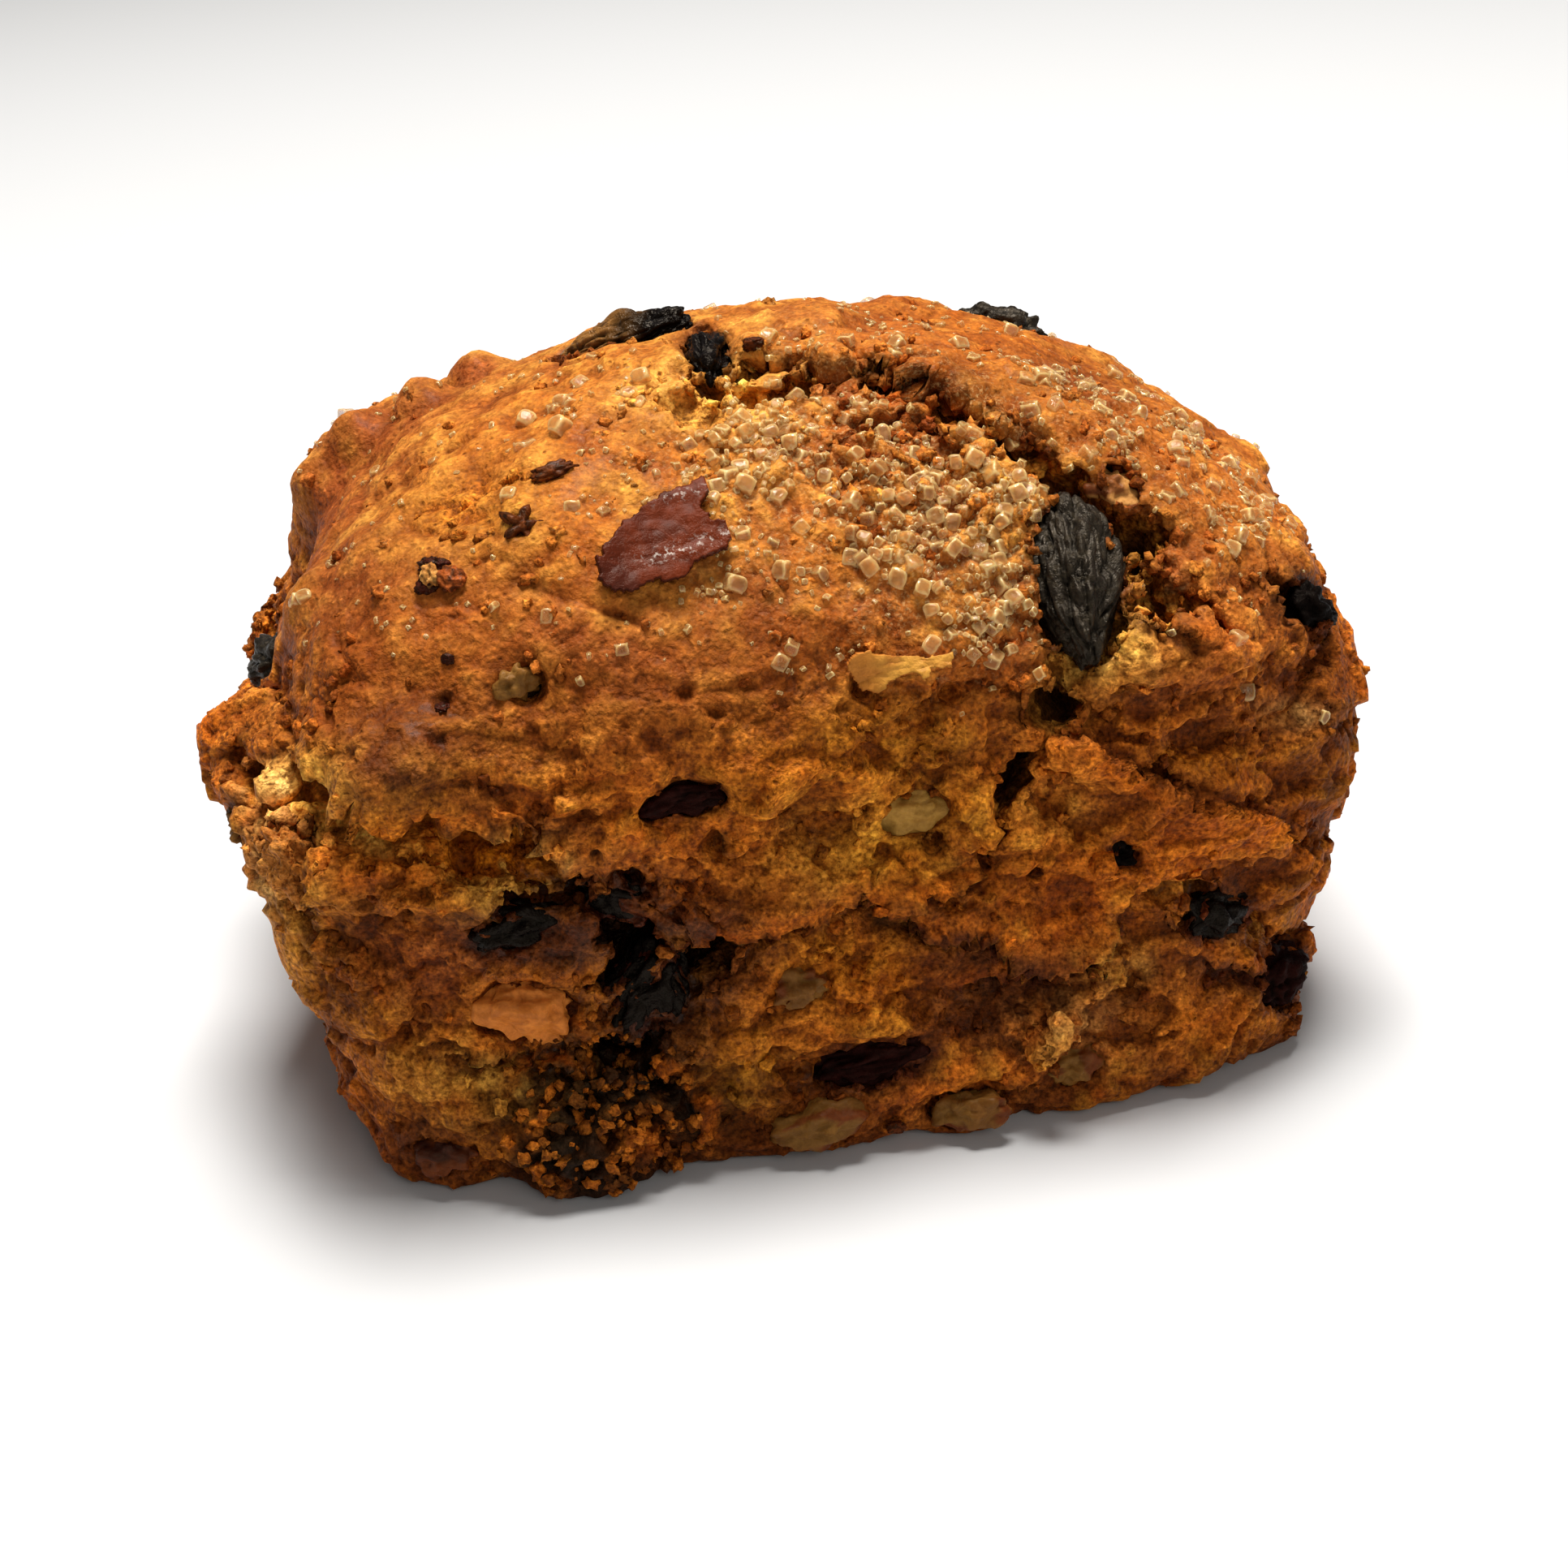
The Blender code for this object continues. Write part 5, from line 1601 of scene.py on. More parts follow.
PATCHES = (
    Patch("rim_left", (400, 640), (6, 11), Tone.RED_BROWN, 0.85),
    Patch("rim_bump", (600, 462), (7, 3), Tone.RED_BROWN, 0.85, 15),
    Patch("rim_upper", (480, 525), (6.5, 3.6), Tone.RED_BROWN, 0.75, 30),
    Patch("gold_left", (600, 610), (6, 4), Tone.PALE_GOLD, 0.35, 25),
    Patch("gold_hollow", (560, 620), (7, 4), Tone.CRUMB_OLIVE, 0.35, 10),
    Patch("gold_crown", (790, 500), (4, 3), Tone.PALE_GOLD, 0.35),
    Patch("orange_crown", (740, 470), (3.5, 2), Tone.ORANGE, 0.45, 20),
    Patch("shoulder_red", (440, 760), (6, 8), Tone.RED_BROWN, 0.90, 10),
    Patch("shoulder_streak", (560, 760), (7, 3), Tone.RUST, 0.45),
    Patch("left_cheek", (408, 820), (5, 8), Tone.BROWN, 0.50, -20),
    Patch("nub_halo", (548, 712), (2.6, 1.8), Tone.RED_BROWN, 0.75, gloss=0.4),
    Patch("star_spot", (642, 650), (1, 1), Tone.CHAR, 0.85),
    Patch("leaf_bit", (680, 580), (1.5, 0.7), Tone.CHAR, 0.80, 20),
    Patch("nut_smudge", (632, 818), (2, 1.6), Tone.BROWN, 0.70),
    Patch("spot_a", (545, 862), (0.9, 0.9), Tone.PLUM, 0.80),
    Patch("spot_b", (540, 918), (1, 1.4), Tone.PLUM, 0.75),
    Patch("flake_shade", (810, 735), (4.5, 1.2), Tone.RUST, 0.55),
    Patch("plum_streak", (925, 755), (4.5, 2.6), Tone.PURPLE, 0.55, -30),
    Patch("red_streak", (975, 790), (5, 2), Tone.RED_BROWN, 0.60, 25),
    Patch("red_shoulder_left", (600, 790), (6, 3.4), Tone.RED_BROWN, 0.50),
    Patch("red_back_left", (690, 545), (7, 3.4), Tone.AMBER, 0.60, 20),
    Patch("red_beside_flake", (720, 640), (3, 5), Tone.AMBER, 0.60),
    Patch("red_under_sugar", (1170, 800), (5, 2), Tone.RED_BROWN, 0.80),
    Patch("shoulder_dark_left", (775, 862), (5, 2.6), Tone.BROWN, 0.95),
    Patch("shoulder_dark_middle", (955, 855), (7, 4.6), Tone.BROWN, 0.80),
    # painted shadow under the nut flake
    Patch("under_nut_flake", (1060, 862), (4, 1.6), Tone.DARK_BROWN, 0.60),
    Patch("back_top", (1150, 402), (16, 9), Tone.RED_BROWN, 0.75),
    # painted shadow in the pocket of the crown's crack
    Patch("crown_pocket", (1164, 472), (2.4, 1.8), Tone.DARK_BROWN, 1.10, -50),
    Patch("right_rust", (1345, 500), (9, 4), Tone.RUST, 0.70, -30),
    Patch("left_amber", (650, 505), (8, 4), Tone.RUST, 0.55, 20),
    Patch("crown_amber", (775, 550), (7, 4.6), Tone.RUST, 0.50),
    Patch("shoulder_rust", (940, 800), (10, 4), Tone.RUST, 0.55),
    Patch("shoulder_rust_left", (520, 850), (9, 4), Tone.RUST, 0.50),
    Patch("right_far_crumb", (1436, 1056), (4, 3), Tone.CRUMB, 0.80, inner=True),
    Patch("crown_left_crumb", (905, 466), (4, 2.6), Tone.YELLOW, 1.10, inner=True),
    Patch("right_rim_low", (1640, 800), (3, 4), Tone.RUST, 0.50),
    Patch("front_warm_brow", (1080, 915), (7, 2.4), Tone.CRUMB_OLIVE, 0.60),
    Patch("front_warm_mid", (1060, 1056), (7, 2.6), Tone.CRUMB_OLIVE, 0.75),
    Patch("front_warm_window", (1300, 985), (4.4, 3), Tone.TORN, 1.00),
    Patch("front_warm_low", (1045, 1188), (5, 2.8), Tone.CRUMB_OLIVE, 0.80),
    Patch("front_warm_foot", (905, 1315), (4, 4), Tone.CRUMB_OLIVE, 0.70),
    Patch("front_warm_left", (600, 1325), (5, 2.6), Tone.CRUMB, 0.85),
    Patch("front_warm_lip", (620, 1098), (5, 1.6), Tone.CRUMB_OLIVE, 0.80),
    Patch("hollow_flap", (1225, 1195), (6.5, 2.4), Tone.PLUM, 0.90, -8),
    # painted shadow in the hollow under the torn edge
    Patch("hollow_torn", (1105, 1130), (3.4, 1.8), Tone.CHAR, 0.90, -20),
    Patch("front_wedge", (1105, 1318), (3.4, 1.8), Tone.PLUM, 0.95, 25),
    Patch("flank_pale", (330, 1080), (2.6, 5), Tone.PALE, 0.60, -20),
    Patch("flank_gold", (382, 1165), (2.8, 6), Tone.CRUMB, 1.00, -25),
    Patch("flank_edge", (372, 1125), (1.4, 5), Tone.CRUMB, 0.60, -12),
    Patch("flake_ledge", (372, 985), (4, 2.4), Tone.YELLOW, 0.90, -25),
    Patch("recess_floor", (545, 1046), (8.5, 1.9), Tone.RECESS, 1.00, -9),
    Patch("hollow_yellow", (852, 486), (5.5, 2.6), Tone.YELLOW, 0.90, -8),
    Patch("shoulder_band", (900, 860), (16, 3.4), Tone.BROWN, 0.40),
    Patch("red_band", (1120, 770), (9, 2.6), Tone.RED_BROWN, 0.50),
    Patch("red_lip", (1270, 800), (3.6, 2.4), Tone.RED_BROWN, 0.60),
    Patch("crown_red", (1100, 482), (6, 1.8), Tone.RED_BROWN, 0.60),
    Patch("crown_orange", (1130, 425), (11, 1.6), Tone.AMBER, 0.60, -8),
    # painted shadow in the slot under the crown's overhang
    Patch("crown_slot", (1070, 464), (9, 1), Tone.DARK_BROWN, 1.30, -8, inner=True),
    Patch("crown_slot_right", (1176, 492), (3.4, 2.2), Tone.CHAR, 0.90, inner=True),
    Patch("crown_right", (1330, 520), (5, 2.4), Tone.RED_BROWN, 0.50, -20),
    Patch("crown_pale", (1290, 470), (4, 1.8), Tone.PALE_GOLD, 0.60, -15),
    Patch("sugar_field", (1140, 640), (10, 7), Tone.AMBER, 0.30),
    Patch("right_gold", (1480, 590), (7, 7), Tone.GOLD, 0.35, -40),
    Patch("right_amber", (1440, 540), (12, 6), Tone.AMBER, 0.80, -40),
    Patch("back_amber", (1250, 420), (15, 4), Tone.RUST, 0.90, -18),
    Patch("back_brown", (1330, 470), (8, 2.4), Tone.RED_BROWN, 0.60, -20),
    Patch("right_ragged", (1420, 660), (3.4, 3.6), Tone.RED_BROWN, 0.60, -45),
    Patch("right_shoulder", (1440, 790), (9, 4), Tone.RED_BROWN, 0.70, -12),
    Patch("right_rim", (1620, 830), (3.5, 6), Tone.DARK_BROWN, 0.55),
    Patch("right_pale", (1600, 880), (2.4, 1), Tone.PALE, 0.50),
    Patch("olive_upper", (1100, 880), (9, 2.2), Tone.OLIVE, 0.35, 10),
    Patch("olive_brow", (960, 965), (7, 3), Tone.OLIVE, 0.55, 15),
    Patch("olive_window", (1130, 1000), (5.5, 3.2), Tone.CRUMB_OLIVE, 0.45),
    Patch("orange_brow", (860, 1080), (8, 2.4), Tone.ORANGE, 0.40),
    Patch("orange_ridge", (1330, 945), (5, 2), Tone.ORANGE, 0.55, -12),
    Patch("orange_ridge_long", (1500, 1010), (8, 1.8), Tone.ORANGE, 0.50, -14),
    Patch("olive_valley", (1480, 945), (8.5, 2.2), Tone.OLIVE, 0.70, -18),
    # painted shadow line along the valley under the ridge
    Patch("valley_dark", (1450, 960), (6, 0.8), Tone.DARK_BROWN, 0.50, -16),
    Patch("front_right", (1420, 1080), (7, 3.4), Tone.OLIVE, 0.35),
    Patch("right_edge", (1640, 960), (2.4, 8), Tone.DARK_BROWN, 0.45),
    Patch("right_edge_low", (1590, 1100), (2.4, 5), Tone.DARK_BROWN, 0.45),
    Patch("stain_left", (630, 1150), (6, 4), Tone.PLUM, 0.95, gloss=0.5),
    Patch("stain_top", (760, 1105), (7, 2.8), Tone.PLUM, 0.95, -20, 0.4),
    Patch("stain_middle", (700, 1175), (7.5, 4.8), Tone.PLUM, 0.90, gloss=0.5),
    Patch("stain_right", (875, 1190), (4.4, 5.6), Tone.PLUM, 0.80, gloss=0.4),
    Patch("stain_low", (770, 1290), (6, 4.6), Tone.CHAR, 0.95, gloss=0.4),
    Patch("stain_deep", (775, 1225), (5, 4), Tone.CHAR, 0.80, gloss=0.4),
    Patch("orange_tab", (808, 1195), (1.8, 1.4), Tone.TORN, 0.80),
    Patch("crumb_tab", (742, 1225), (1.6, 3), Tone.TORN, 0.90),
    Patch("nut_rim", (640, 1202), (4.6, 0.9), Tone.TORN, 0.60),
    Patch("front_left_warm", (560, 1220), (5, 5), Tone.RUST, 0.35),
    Patch("left_edge_dark", (420, 1230), (2.4, 9), Tone.DARK_BROWN, 0.45, -25),
    Patch("left_flank", (380, 1200), (3, 4), Tone.TORN, 0.35),
    Patch("low_left_dark", (450, 1160), (6, 4), Tone.BROWN, 0.45),
    Patch("low_left_shade", (450, 1190), (6.5, 7), Tone.DARK_BROWN, 0.50),
    Patch("low_left_band", (560, 1180), (5, 2.6), Tone.RED_BROWN, 0.40),
    Patch("below_nut", (640, 1330), (6, 1.8), Tone.BROWN, 0.60, 10),
    Patch("purple_low", (850, 1290), (3, 3), Tone.PURPLE, 0.30),
    Patch("front_up_shade", (515, 905), (8, 5.4), Tone.BROWN, 0.75),
    Patch("front_up_middle", (800, 900), (12, 3.4), Tone.BROWN, 0.38),
    Patch("shoulder_front", (790, 790), (9, 3.4), Tone.RED_BROWN, 0.50),
    Patch("shoulder_right_gold", (1500, 800), (4.6, 2.8), Tone.AMBER, 0.60, -15),
    Patch("valley_crown", (1200, 450), (2.6, 3.4), Tone.RUST, 0.80, -40),
    Patch("ridge_shade", (1430, 1000), (6, 2.6), Tone.BROWN, 0.80, -14),
    Patch("right_edge_brown", (1625, 940), (3.6, 7), Tone.DARK_BROWN, 0.45),
    Patch("base_left_brown", (480, 1330), (5, 6), Tone.RED_BROWN, 0.35),
    Patch("front_middle", (950, 1080), (9, 2.6), Tone.TORN, 0.45),
    Patch("front_middle_right", (1300, 1075), (6, 2.6), Tone.TORN, 0.30),
    Patch("front_low_warm", (960, 1260), (7, 3.6), Tone.TORN, 0.30),
    Patch("front_low_right", (1490, 1250), (6, 3.4), Tone.TORN, 0.35),
    Patch("burnt", (755, 1398), (8.4, 6.4), Tone.CHAR, 1.60),
    Patch("burnt_left", (640, 1350), (4, 2), Tone.CHAR, 0.60, 10),
    Patch("burnt_glow", (790, 1410), (2, 1.4), Tone.ORANGE, 0.45),
    Patch("foot_left", (530, 1420), (3.8, 2.6), Tone.PLUM, 0.80, gloss=0.3),
    Patch("foot_olive", (590, 1420), (2, 1.8), Tone.OLIVE, 0.50),
    Patch("front_plum", (1060, 1325), (6, 2.6), Tone.PLUM, 0.70, 10, 0.4),
    Patch("front_plum_left", (990, 1340), (3.6, 2), Tone.DARK_BROWN, 0.60),
    Patch("foot_dark", (930, 1410), (8, 1.6), Tone.DARK_BROWN, 0.60, 12),
    Patch("foot_dark_right", (1250, 1370), (10, 1.2), Tone.DARK_BROWN, 0.70, 13),
    Patch("foot_right", (1500, 1310), (7, 1.4), Tone.DARK_BROWN, 0.60, 14),
    Patch("rough_pale", (1315, 1260), (4.8, 3.2), Tone.PALE, 0.22),
    Patch("rough_plum", (1215, 1240), (3.6, 3.4), Tone.PLUM, 0.55, gloss=0.3),
    Patch("rough_shade", (1250, 1190), (6, 1.4), Tone.DARK_BROWN, 0.55, -8),
    Patch("rough_stain", (1410, 1210), (2.6, 1.8), Tone.PLUM, 0.60),
    Patch("right_plum", (1500, 1140), (4.4, 2.6), Tone.PLUM, 0.75, -15, 0.5),
    Patch("right_fruit", (1550, 1215), (4.2, 1.8), Tone.PLUM, 0.65, 5),
    Patch("right_low_edge", (1600, 1190), (2, 4), Tone.CHAR, 0.50),
    Patch("middle_dull", (1000, 1200), (3, 2.6), Tone.BROWN, 0.35),
    Patch("ledge_dark", (300, 910), (4, 2.4), Tone.DARK_BROWN, 0.45),
    Patch("ledge_orange", (258, 890), (1.6, 1.6), Tone.ORANGE, 0.60),
    Patch("ledge_pale", (340, 988), (3.8, 2), Tone.PALE, 0.95, -20),
    Patch("ledge_gold", (395, 962), (2.6, 1.8), Tone.CRUMB, 0.80, -20),
    Patch("lip_gold", (590, 1100), (4, 1.8), Tone.CRUMB, 0.45),
    # painted shadow in the hole of the corner crack
    Patch("hole_dark", (1600, 730), (3, 2.4), Tone.CHAR, 0.80, -30),
    Patch("right_top_brown", (1365, 490), (8, 7), Tone.BROWN, 0.34, -30),
    Patch("right_lobe_brown", (1425, 600), (3.6, 3), Tone.BROWN, 0.35, -50),
    Patch("crown_side_brown", (773, 528), (4.6, 3), Tone.RED_BROWN, 0.38),
    # painted shadow deep in the crown's crack
    Patch("crown_deep", (1168, 466), (3.8, 2.2), Tone.DARK_BROWN, 0.75, -30),
    Patch("crown_left_gold", (905, 466), (4, 2.2), Tone.YELLOW, 0.70),
    # painted shadow in a hole of the crack behind the raisin
    Patch("right_hole", (1440, 738), (1.8, 1.4), Tone.CHAR, 1.00, -20),
    # painted shadow in the slit
    Patch("slit_dark", (1275, 546), (3.4, 1.1), Tone.DARK_BROWN, 0.80, -42),
    Patch("raisin_rim_left", (1236, 660), (1.6, 3), Tone.BROWN, 0.45),
    Patch("flake_left_rust", (707, 662), (3, 2), Tone.RUST, 0.45),
    Patch("lid_purple", (512, 922), (4.6, 4.2), Tone.PLUM, 0.20, -15, gloss=0.4),
    Patch("nut_flake_end", (1184, 795), (2.2, 1.8), Tone.RUST, 0.55),
    Patch("pit_shade", (1302, 925), (2.6, 2), Tone.BROWN, 0.45),
    Patch("ridge_glow", (1302, 990), (3, 2.2), Tone.CRUMB, 0.50),
    Patch("front_glow", (1010, 1052), (5, 4), Tone.CRUMB, 0.32),
    Patch("right_far_glow", (1440, 1058), (4, 3), Tone.ORANGE, 0.50),
    Patch("ridge_plum", (1432, 992), (4.4, 1.8), Tone.PLUM, 0.22, -14),
    Patch("back_right_plum", (1366, 480), (7, 6), Tone.PLUM, 0.10, -30),
    Patch("low_mid_glow", (1062, 1192), (5, 3.4), Tone.ORANGE, 0.45),
    Patch("hollow_more", (1270, 1190), (4.6, 1.7), Tone.PLUM, 0.60),
    Patch("cheek_gold_shade", (392, 800), (3, 5), Tone.BROWN, 0.35),
    Patch("crumb_brow", (838, 462), (3, 2), Tone.AMBER, 0.40),
    Patch("flap_shade", (905, 800), (4, 2.4), Tone.BROWN, 0.35),
    Patch("low_brow_gold", (575, 1330), (5, 3), Tone.CRUMB, 0.45),
    Patch("torn_edge_shade", (980, 1124), (5, 1.3), Tone.DARK_BROWN, 0.45, 8),
    Patch("low_right_shade", (1370, 1188), (3.4, 2), Tone.BROWN, 0.35),
    Patch("window_shade", (1104, 1124), (4, 1.6), Tone.BROWN, 0.35),
    Patch("recess_glow", (615, 1060), (4.4, 1.8), Tone.YELLOW, 0.60),
    Patch("crack_shade", (1180, 1054), (2.2, 3.2), Tone.DARK_BROWN, 0.60, 40),
    Patch("brow_shade", (935, 925), (6, 2), Tone.OLIVE, 0.40),
    Patch("crater_between", (752, 1168), (3.2, 3), Tone.PLUM, 0.35),
    Patch("crater_left_dark", (672, 1112), (2.4, 1.8), Tone.CHAR, 0.25),
    Patch("crater_foot_dark", (800, 1262), (3, 2.4), Tone.CHAR, 0.30),
    Patch("crater_right_brown", (872, 1182), (2.4, 3.6), Tone.DARK_BROWN, 0.30),
    Patch("crater_top_dark", (712, 1118), (3, 1.5), Tone.CHAR, 0.45),
    Patch("crater_right_dark", (893, 1128), (2.6, 1.8), Tone.PLUM, 0.45),
    Patch("hollow_flap_right", (1300, 1195), (3, 1.5), Tone.PLUM, 0.45),
    Patch("rough_gold", (1372, 1192), (3, 2.4), Tone.CRUMB, 0.30),
    Patch("purple_spot", (492, 948), (4.2, 4), Tone.PLUM, 0.55, gloss=0.3),
    Patch("wall_yellow", (850, 482), (6, 3.6), Tone.YELLOW, 1.10, -10, inner=True),
    Patch("wall_orange", (1040, 448), (10, 2.4), Tone.CRUMB, 0.70, inner=True),
    Patch("wall_orange_right", (1180, 470), (5, 3), Tone.AMBER, 0.80, -30, inner=True),
    Patch("recess", (545, 1040), (9.5, 3.4), Tone.RECESS, 1.20, -10, inner=True),
    Patch("recess_left", (405, 985), (6, 3.6), Tone.YELLOW, 1.10, -30, inner=True),
    Patch("recess_end", (690, 1075), (3, 2), Tone.OLIVE, 0.80, inner=True),
    # yellow crumb with painted light: the crumb slope beside the raisin is painted extra bright
    Patch("crumb_right", (1350, 790), (4.4, 3.6), Tone.YELLOW, 1.20, 30, inner=True),
    Patch("crumb_right_lip", (1366, 790), (2.8, 2.4), Tone.YELLOW, 1.20),
    Patch("crumb_beside", (1352, 795), (3.6, 2.4), Tone.CRUMB, 0.85, 40),
    # painted shadow deep inside the cracks
    Patch("crack_dark", (1300, 870), (3, 3), Tone.CHAR, 0.80, inner=True),
    Patch("crack_dark_low", (1250, 965), (2.6, 4), Tone.CHAR, 0.80, inner=True),
    Patch("crack_dark_right", (1405, 670), (3.4, 4), Tone.CHAR, 0.75, -50, inner=True),
    Patch("crack_dark_top", (1270, 545), (2, 1.5), Tone.CHAR, 0.80, inner=True),
    Patch("crater_dark", (760, 1190), (9, 8), Tone.CHAR, 0.92, gloss=0.6, inner=True),
)

BURNT = RoughSpot("burnt_lump", (755, 1400), 6.8, 1.9)
RECESS_FLOOR = Mark("recess_floor", (560, 1036))
ROUGH_SPOTS = (
    BURNT, RoughSpot("rough_patch", (1300, 1255), 5.5, 0.9), RoughSpot("lip_low", (560, 1095), 6, 0.7),
    RoughSpot("crumb_flank", (415, 1180), 3.5, 0.9), RoughSpot("ragged_right", (1420, 690), 5, 0.9),
    RoughSpot("ragged_right_low", (1400, 790), 4, 0.7), RoughSpot("ragged_top", (1240, 560), 5.5, 0.6),
    RoughSpot("crown_ledge", (1080, 480), 5.5, 0.6), RoughSpot("shoulder_end", (1610, 790), 4, 0.8),
    RoughSpot("hole_front", (1130, 1035), 3.5, 0.6), RoughSpot("crater_rim", (800, 1200), 6, 0.8),
    RoughSpot("ledge_left", (330, 960), 5.5, 0.8),
)


# ------------------------------------------------------------------ the crust
@dataclass
class Crust:
    """The whole baked body: cracked, roughened, thinned and painted."""

    dough: Dough = field(default_factory=Dough)
    voxel: float = 0.40
    quick_voxel: float = 0.62
    triangles: int = 196000
    pit_count: int = 170
    burnt_pit_count: int = 36
    pit_seed: int = 4
    pit_reach: tuple[float, float] = (0.35, 0.85)
    pit_depth: tuple[float, float] = (0.6, 1.1)
    burnt_reach: tuple[float, float] = (0.4, 0.8)
    burnt_depth: tuple[float, float] = (0.6, 1.3)
    rim_drop: float = 0.25
    calm: float = 0.8
    calm_reach: float = 60.0
    near_rounds: int = 5
    far_rounds: int = 45
    uncut: BVHTree | None = None
    tree: BVHTree | None = None
    colours: Array | None = None
    places: Array | None = None
    normals: Array | None = None
    deep: Array | None = None
    # where dark stains and painted shade lie, from 0 to 1
    shaded: Array | None = None

    def build(self) -> Solid:
        """Make the painted crust in millimetres.

        Returns:
            The finished body.
        """
        piece = self.dough.build()
        self.uncut = tree_of(piece)
        cutters = [CrackCutter(crack).build(self.uncut) for crack in CRACKS]
        for topping in TOPPINGS:
            cutters += topping.pocket(self.uncut)
        cutter = join(cutters)
        modify(piece, "BOOLEAN", operation="DIFFERENCE", object=cutter, solver="EXACT", use_self=True)
        bpy.data.objects.remove(cutter)
        LOG.info("crust cracked: %d faces", len(piece.data.polygons))
        modify(piece, "REMESH", mode="VOXEL", voxel_size=self.voxel)
        modify(piece, "SMOOTH", factor=0.5, iterations=2)
        LOG.info("crust remeshed: %d faces", len(piece.data.polygons))
        self.roughen(piece)
        count = 2 * len(piece.data.polygons)
        modify(piece, "DECIMATE", ratio=min(1.0, self.triangles / count), use_collapse_triangulate=True)
        self.keep_whole(piece)
        round_off(piece)
        self.tree = tree_of(piece)
        self.places, self.normals = read_places(piece), read_normals(piece)
        self.deep = self.depth(self.places)
        self.colours, marks = self.colour(self.hollowness(piece, self.near_rounds),
                                          self.hollowness(piece, self.far_rounds))
        paint(piece, COLOUR, self.colours)
        paint(piece, MARKS, marks)
        return piece

    @staticmethod
    def keep_whole(piece: Solid) -> None:
        """Drop loose scraps and keep the one large skin.

        Args:
            piece: The object to clean.
        """
        pick(piece)
        bpy.ops.mesh.separate(type="LOOSE")
        parts = sorted(bpy.context.selected_objects, key=lambda part: len(part.data.vertices))
        for part in parts:
            if part is not piece and len(part.data.vertices) > len(piece.data.vertices):
                piece.data, part.data = part.data, piece.data
        for part in parts:
            if part is not piece:
                bpy.data.objects.remove(part)

    def depth(self, places: Array) -> Array:
        """Measure how deep each place lies under the uncracked crust.

        Args:
            places: Places in millimetres, one row each.

        Returns:
            Depth in millimetres, below zero outside.
        """
        found = []
        for place in places.tolist():
            spot, normal, _, _ = self.uncut.find_nearest(place)
            found.append((spot - Vector(place)).dot(normal))
        return np.asarray(found)

    def roughen(self, piece: Solid) -> None:
        """Give the crust its grain, pores, wrinkles, ledges and broken spots.

        Args:
            piece: The remeshed crust.
        """
        places, normals = read_places(piece), read_normals(piece)
        deep = self.depth(places)
        push = self.grain(places, deep)
        shift = np.zeros_like(places)
        for ledge in LEDGES:
            rows, over, weight, up = ledge.sides(places, self.uncut)
            push[rows] += weight * np.where(over > 0.0, ledge.rise * np.exp(-over / ledge.reach),
                                            -ledge.drop * np.exp(over / (0.7 * ledge.reach)))
            hang = weight * ledge.overhang * np.exp(-(over / 0.8) ** 2) * (over > 0.0)
            shift[rows] -= up * hang[:, None]
        for spot in ROUGH_SPOTS:
            away = spot.away(places, self.uncut) / spot.reach
            near = away < 2.0
            some = places[near]
            broken = (0.9 * noise_at(some, 1.9, 51.0) + 0.8 * noise_at(some, 1.0, 61.0)
                      - 0.5 * cells_at(some, 1.8))
            push[near] += spot.rise * np.exp(-away[near] ** 2) * broken
        for topping in TOPPINGS:
            near = 1.0 - ease(0.2, 1.6, topping.nearness(places, self.uncut))
            push -= near * (np.maximum(push, 0.0) + self.rim_drop)
        self.press_pits(push, places, deep)
        under = ease(0.0, 1.2, places[:, 2])
        push *= 0.25 + 0.75 * under
        places = places + normals * push[:, None] + shift * under[:, None]
        places[:, 2] = np.maximum(places[:, 2], 0.0)
        write_places(piece, places)

    def grain(self, places: Array, deep: Array) -> Array:
        """Say how far the grain, wrinkles, flakes and torn crumb stand out.

        Args:
            places: Places on the crust.
            deep: How deep they lie in the cracks.

        Returns:
            Rise in millimetres for each place.
        """
        inside = ease(0.30, 0.80, deep)
        outside = 1.0 - inside
        high = ease(34.0, 46.0, places[:, 2])
        side = 1.0 - high
        sway = np.column_stack([noise_at(places, 6.0, shift) for shift in (61.0, 63.0, 65.0)])
        flat = (places + 1.5 * sway) * (0.62, 0.80, 1.20)
        push = outside * side * (0.50 * noise_at(flat, 4.3, 3.0) + 0.22 * noise_at(flat, 2.1, 9.0)
                                 + 0.16 * noise_at(places, 1.1, 5.0))
        push += outside * high * (0.34 * noise_at(places, 3.2, 15.0) + 0.22 * noise_at(places, 1.6, 21.0)
                                  + 0.12 * noise_at(places, 0.85, 25.0))
        push += outside * self.sugar_wish(places) * (1.3 * np.abs(noise_at(places, 1.7, 29.0)) - 0.25
                                                     + 0.55 * noise_at(places, 0.9, 34.0))
        mask = ease(-0.05, 0.25, noise_at(places, 12.0, 31.0))
        push -= outside * (0.25 + 0.75 * mask) * 0.46 * crease_at(flat, 7.5, 0.045, 2.0)
        where = ease(-0.1, 0.2, noise_at(places, 7.0, 41.0))
        push -= outside * 0.26 * crease_at(flat, 3.4, 0.05, 12.0) * where
        wall = 0.65 * noise_at(places, 2.1, 7.0) + 0.50 * noise_at(places, 0.95, 17.0)
        middle, _ = VIEW.spot(RECESS_FLOOR.pixel, self.uncut)
        gap = np.sum((places - np.asarray(middle)) ** 2, axis=1)
        calm = 1.0 - self.calm * np.exp(-gap / self.calm_reach)
        push += inside * calm * (wall - 0.42 * cells_at(places, 2.3))
        for size, rise, shift in ((6.6, 0.62, 45.0), (4.2, 0.42, 49.0), (8.4, 0.55, 57.0)):
            flake = noise_at(flat, size, shift) + 0.16 * noise_at(places, 1.3, shift + 1.0)
            push += outside * side * rise * (ease(-0.018, 0.018, flake) - 0.5)
        lip = ease(0.10, 0.28, deep) * (1.0 - ease(0.5, 1.4, deep))
        return push + lip * 0.7 * noise_at(places, 1.1, 27.0)

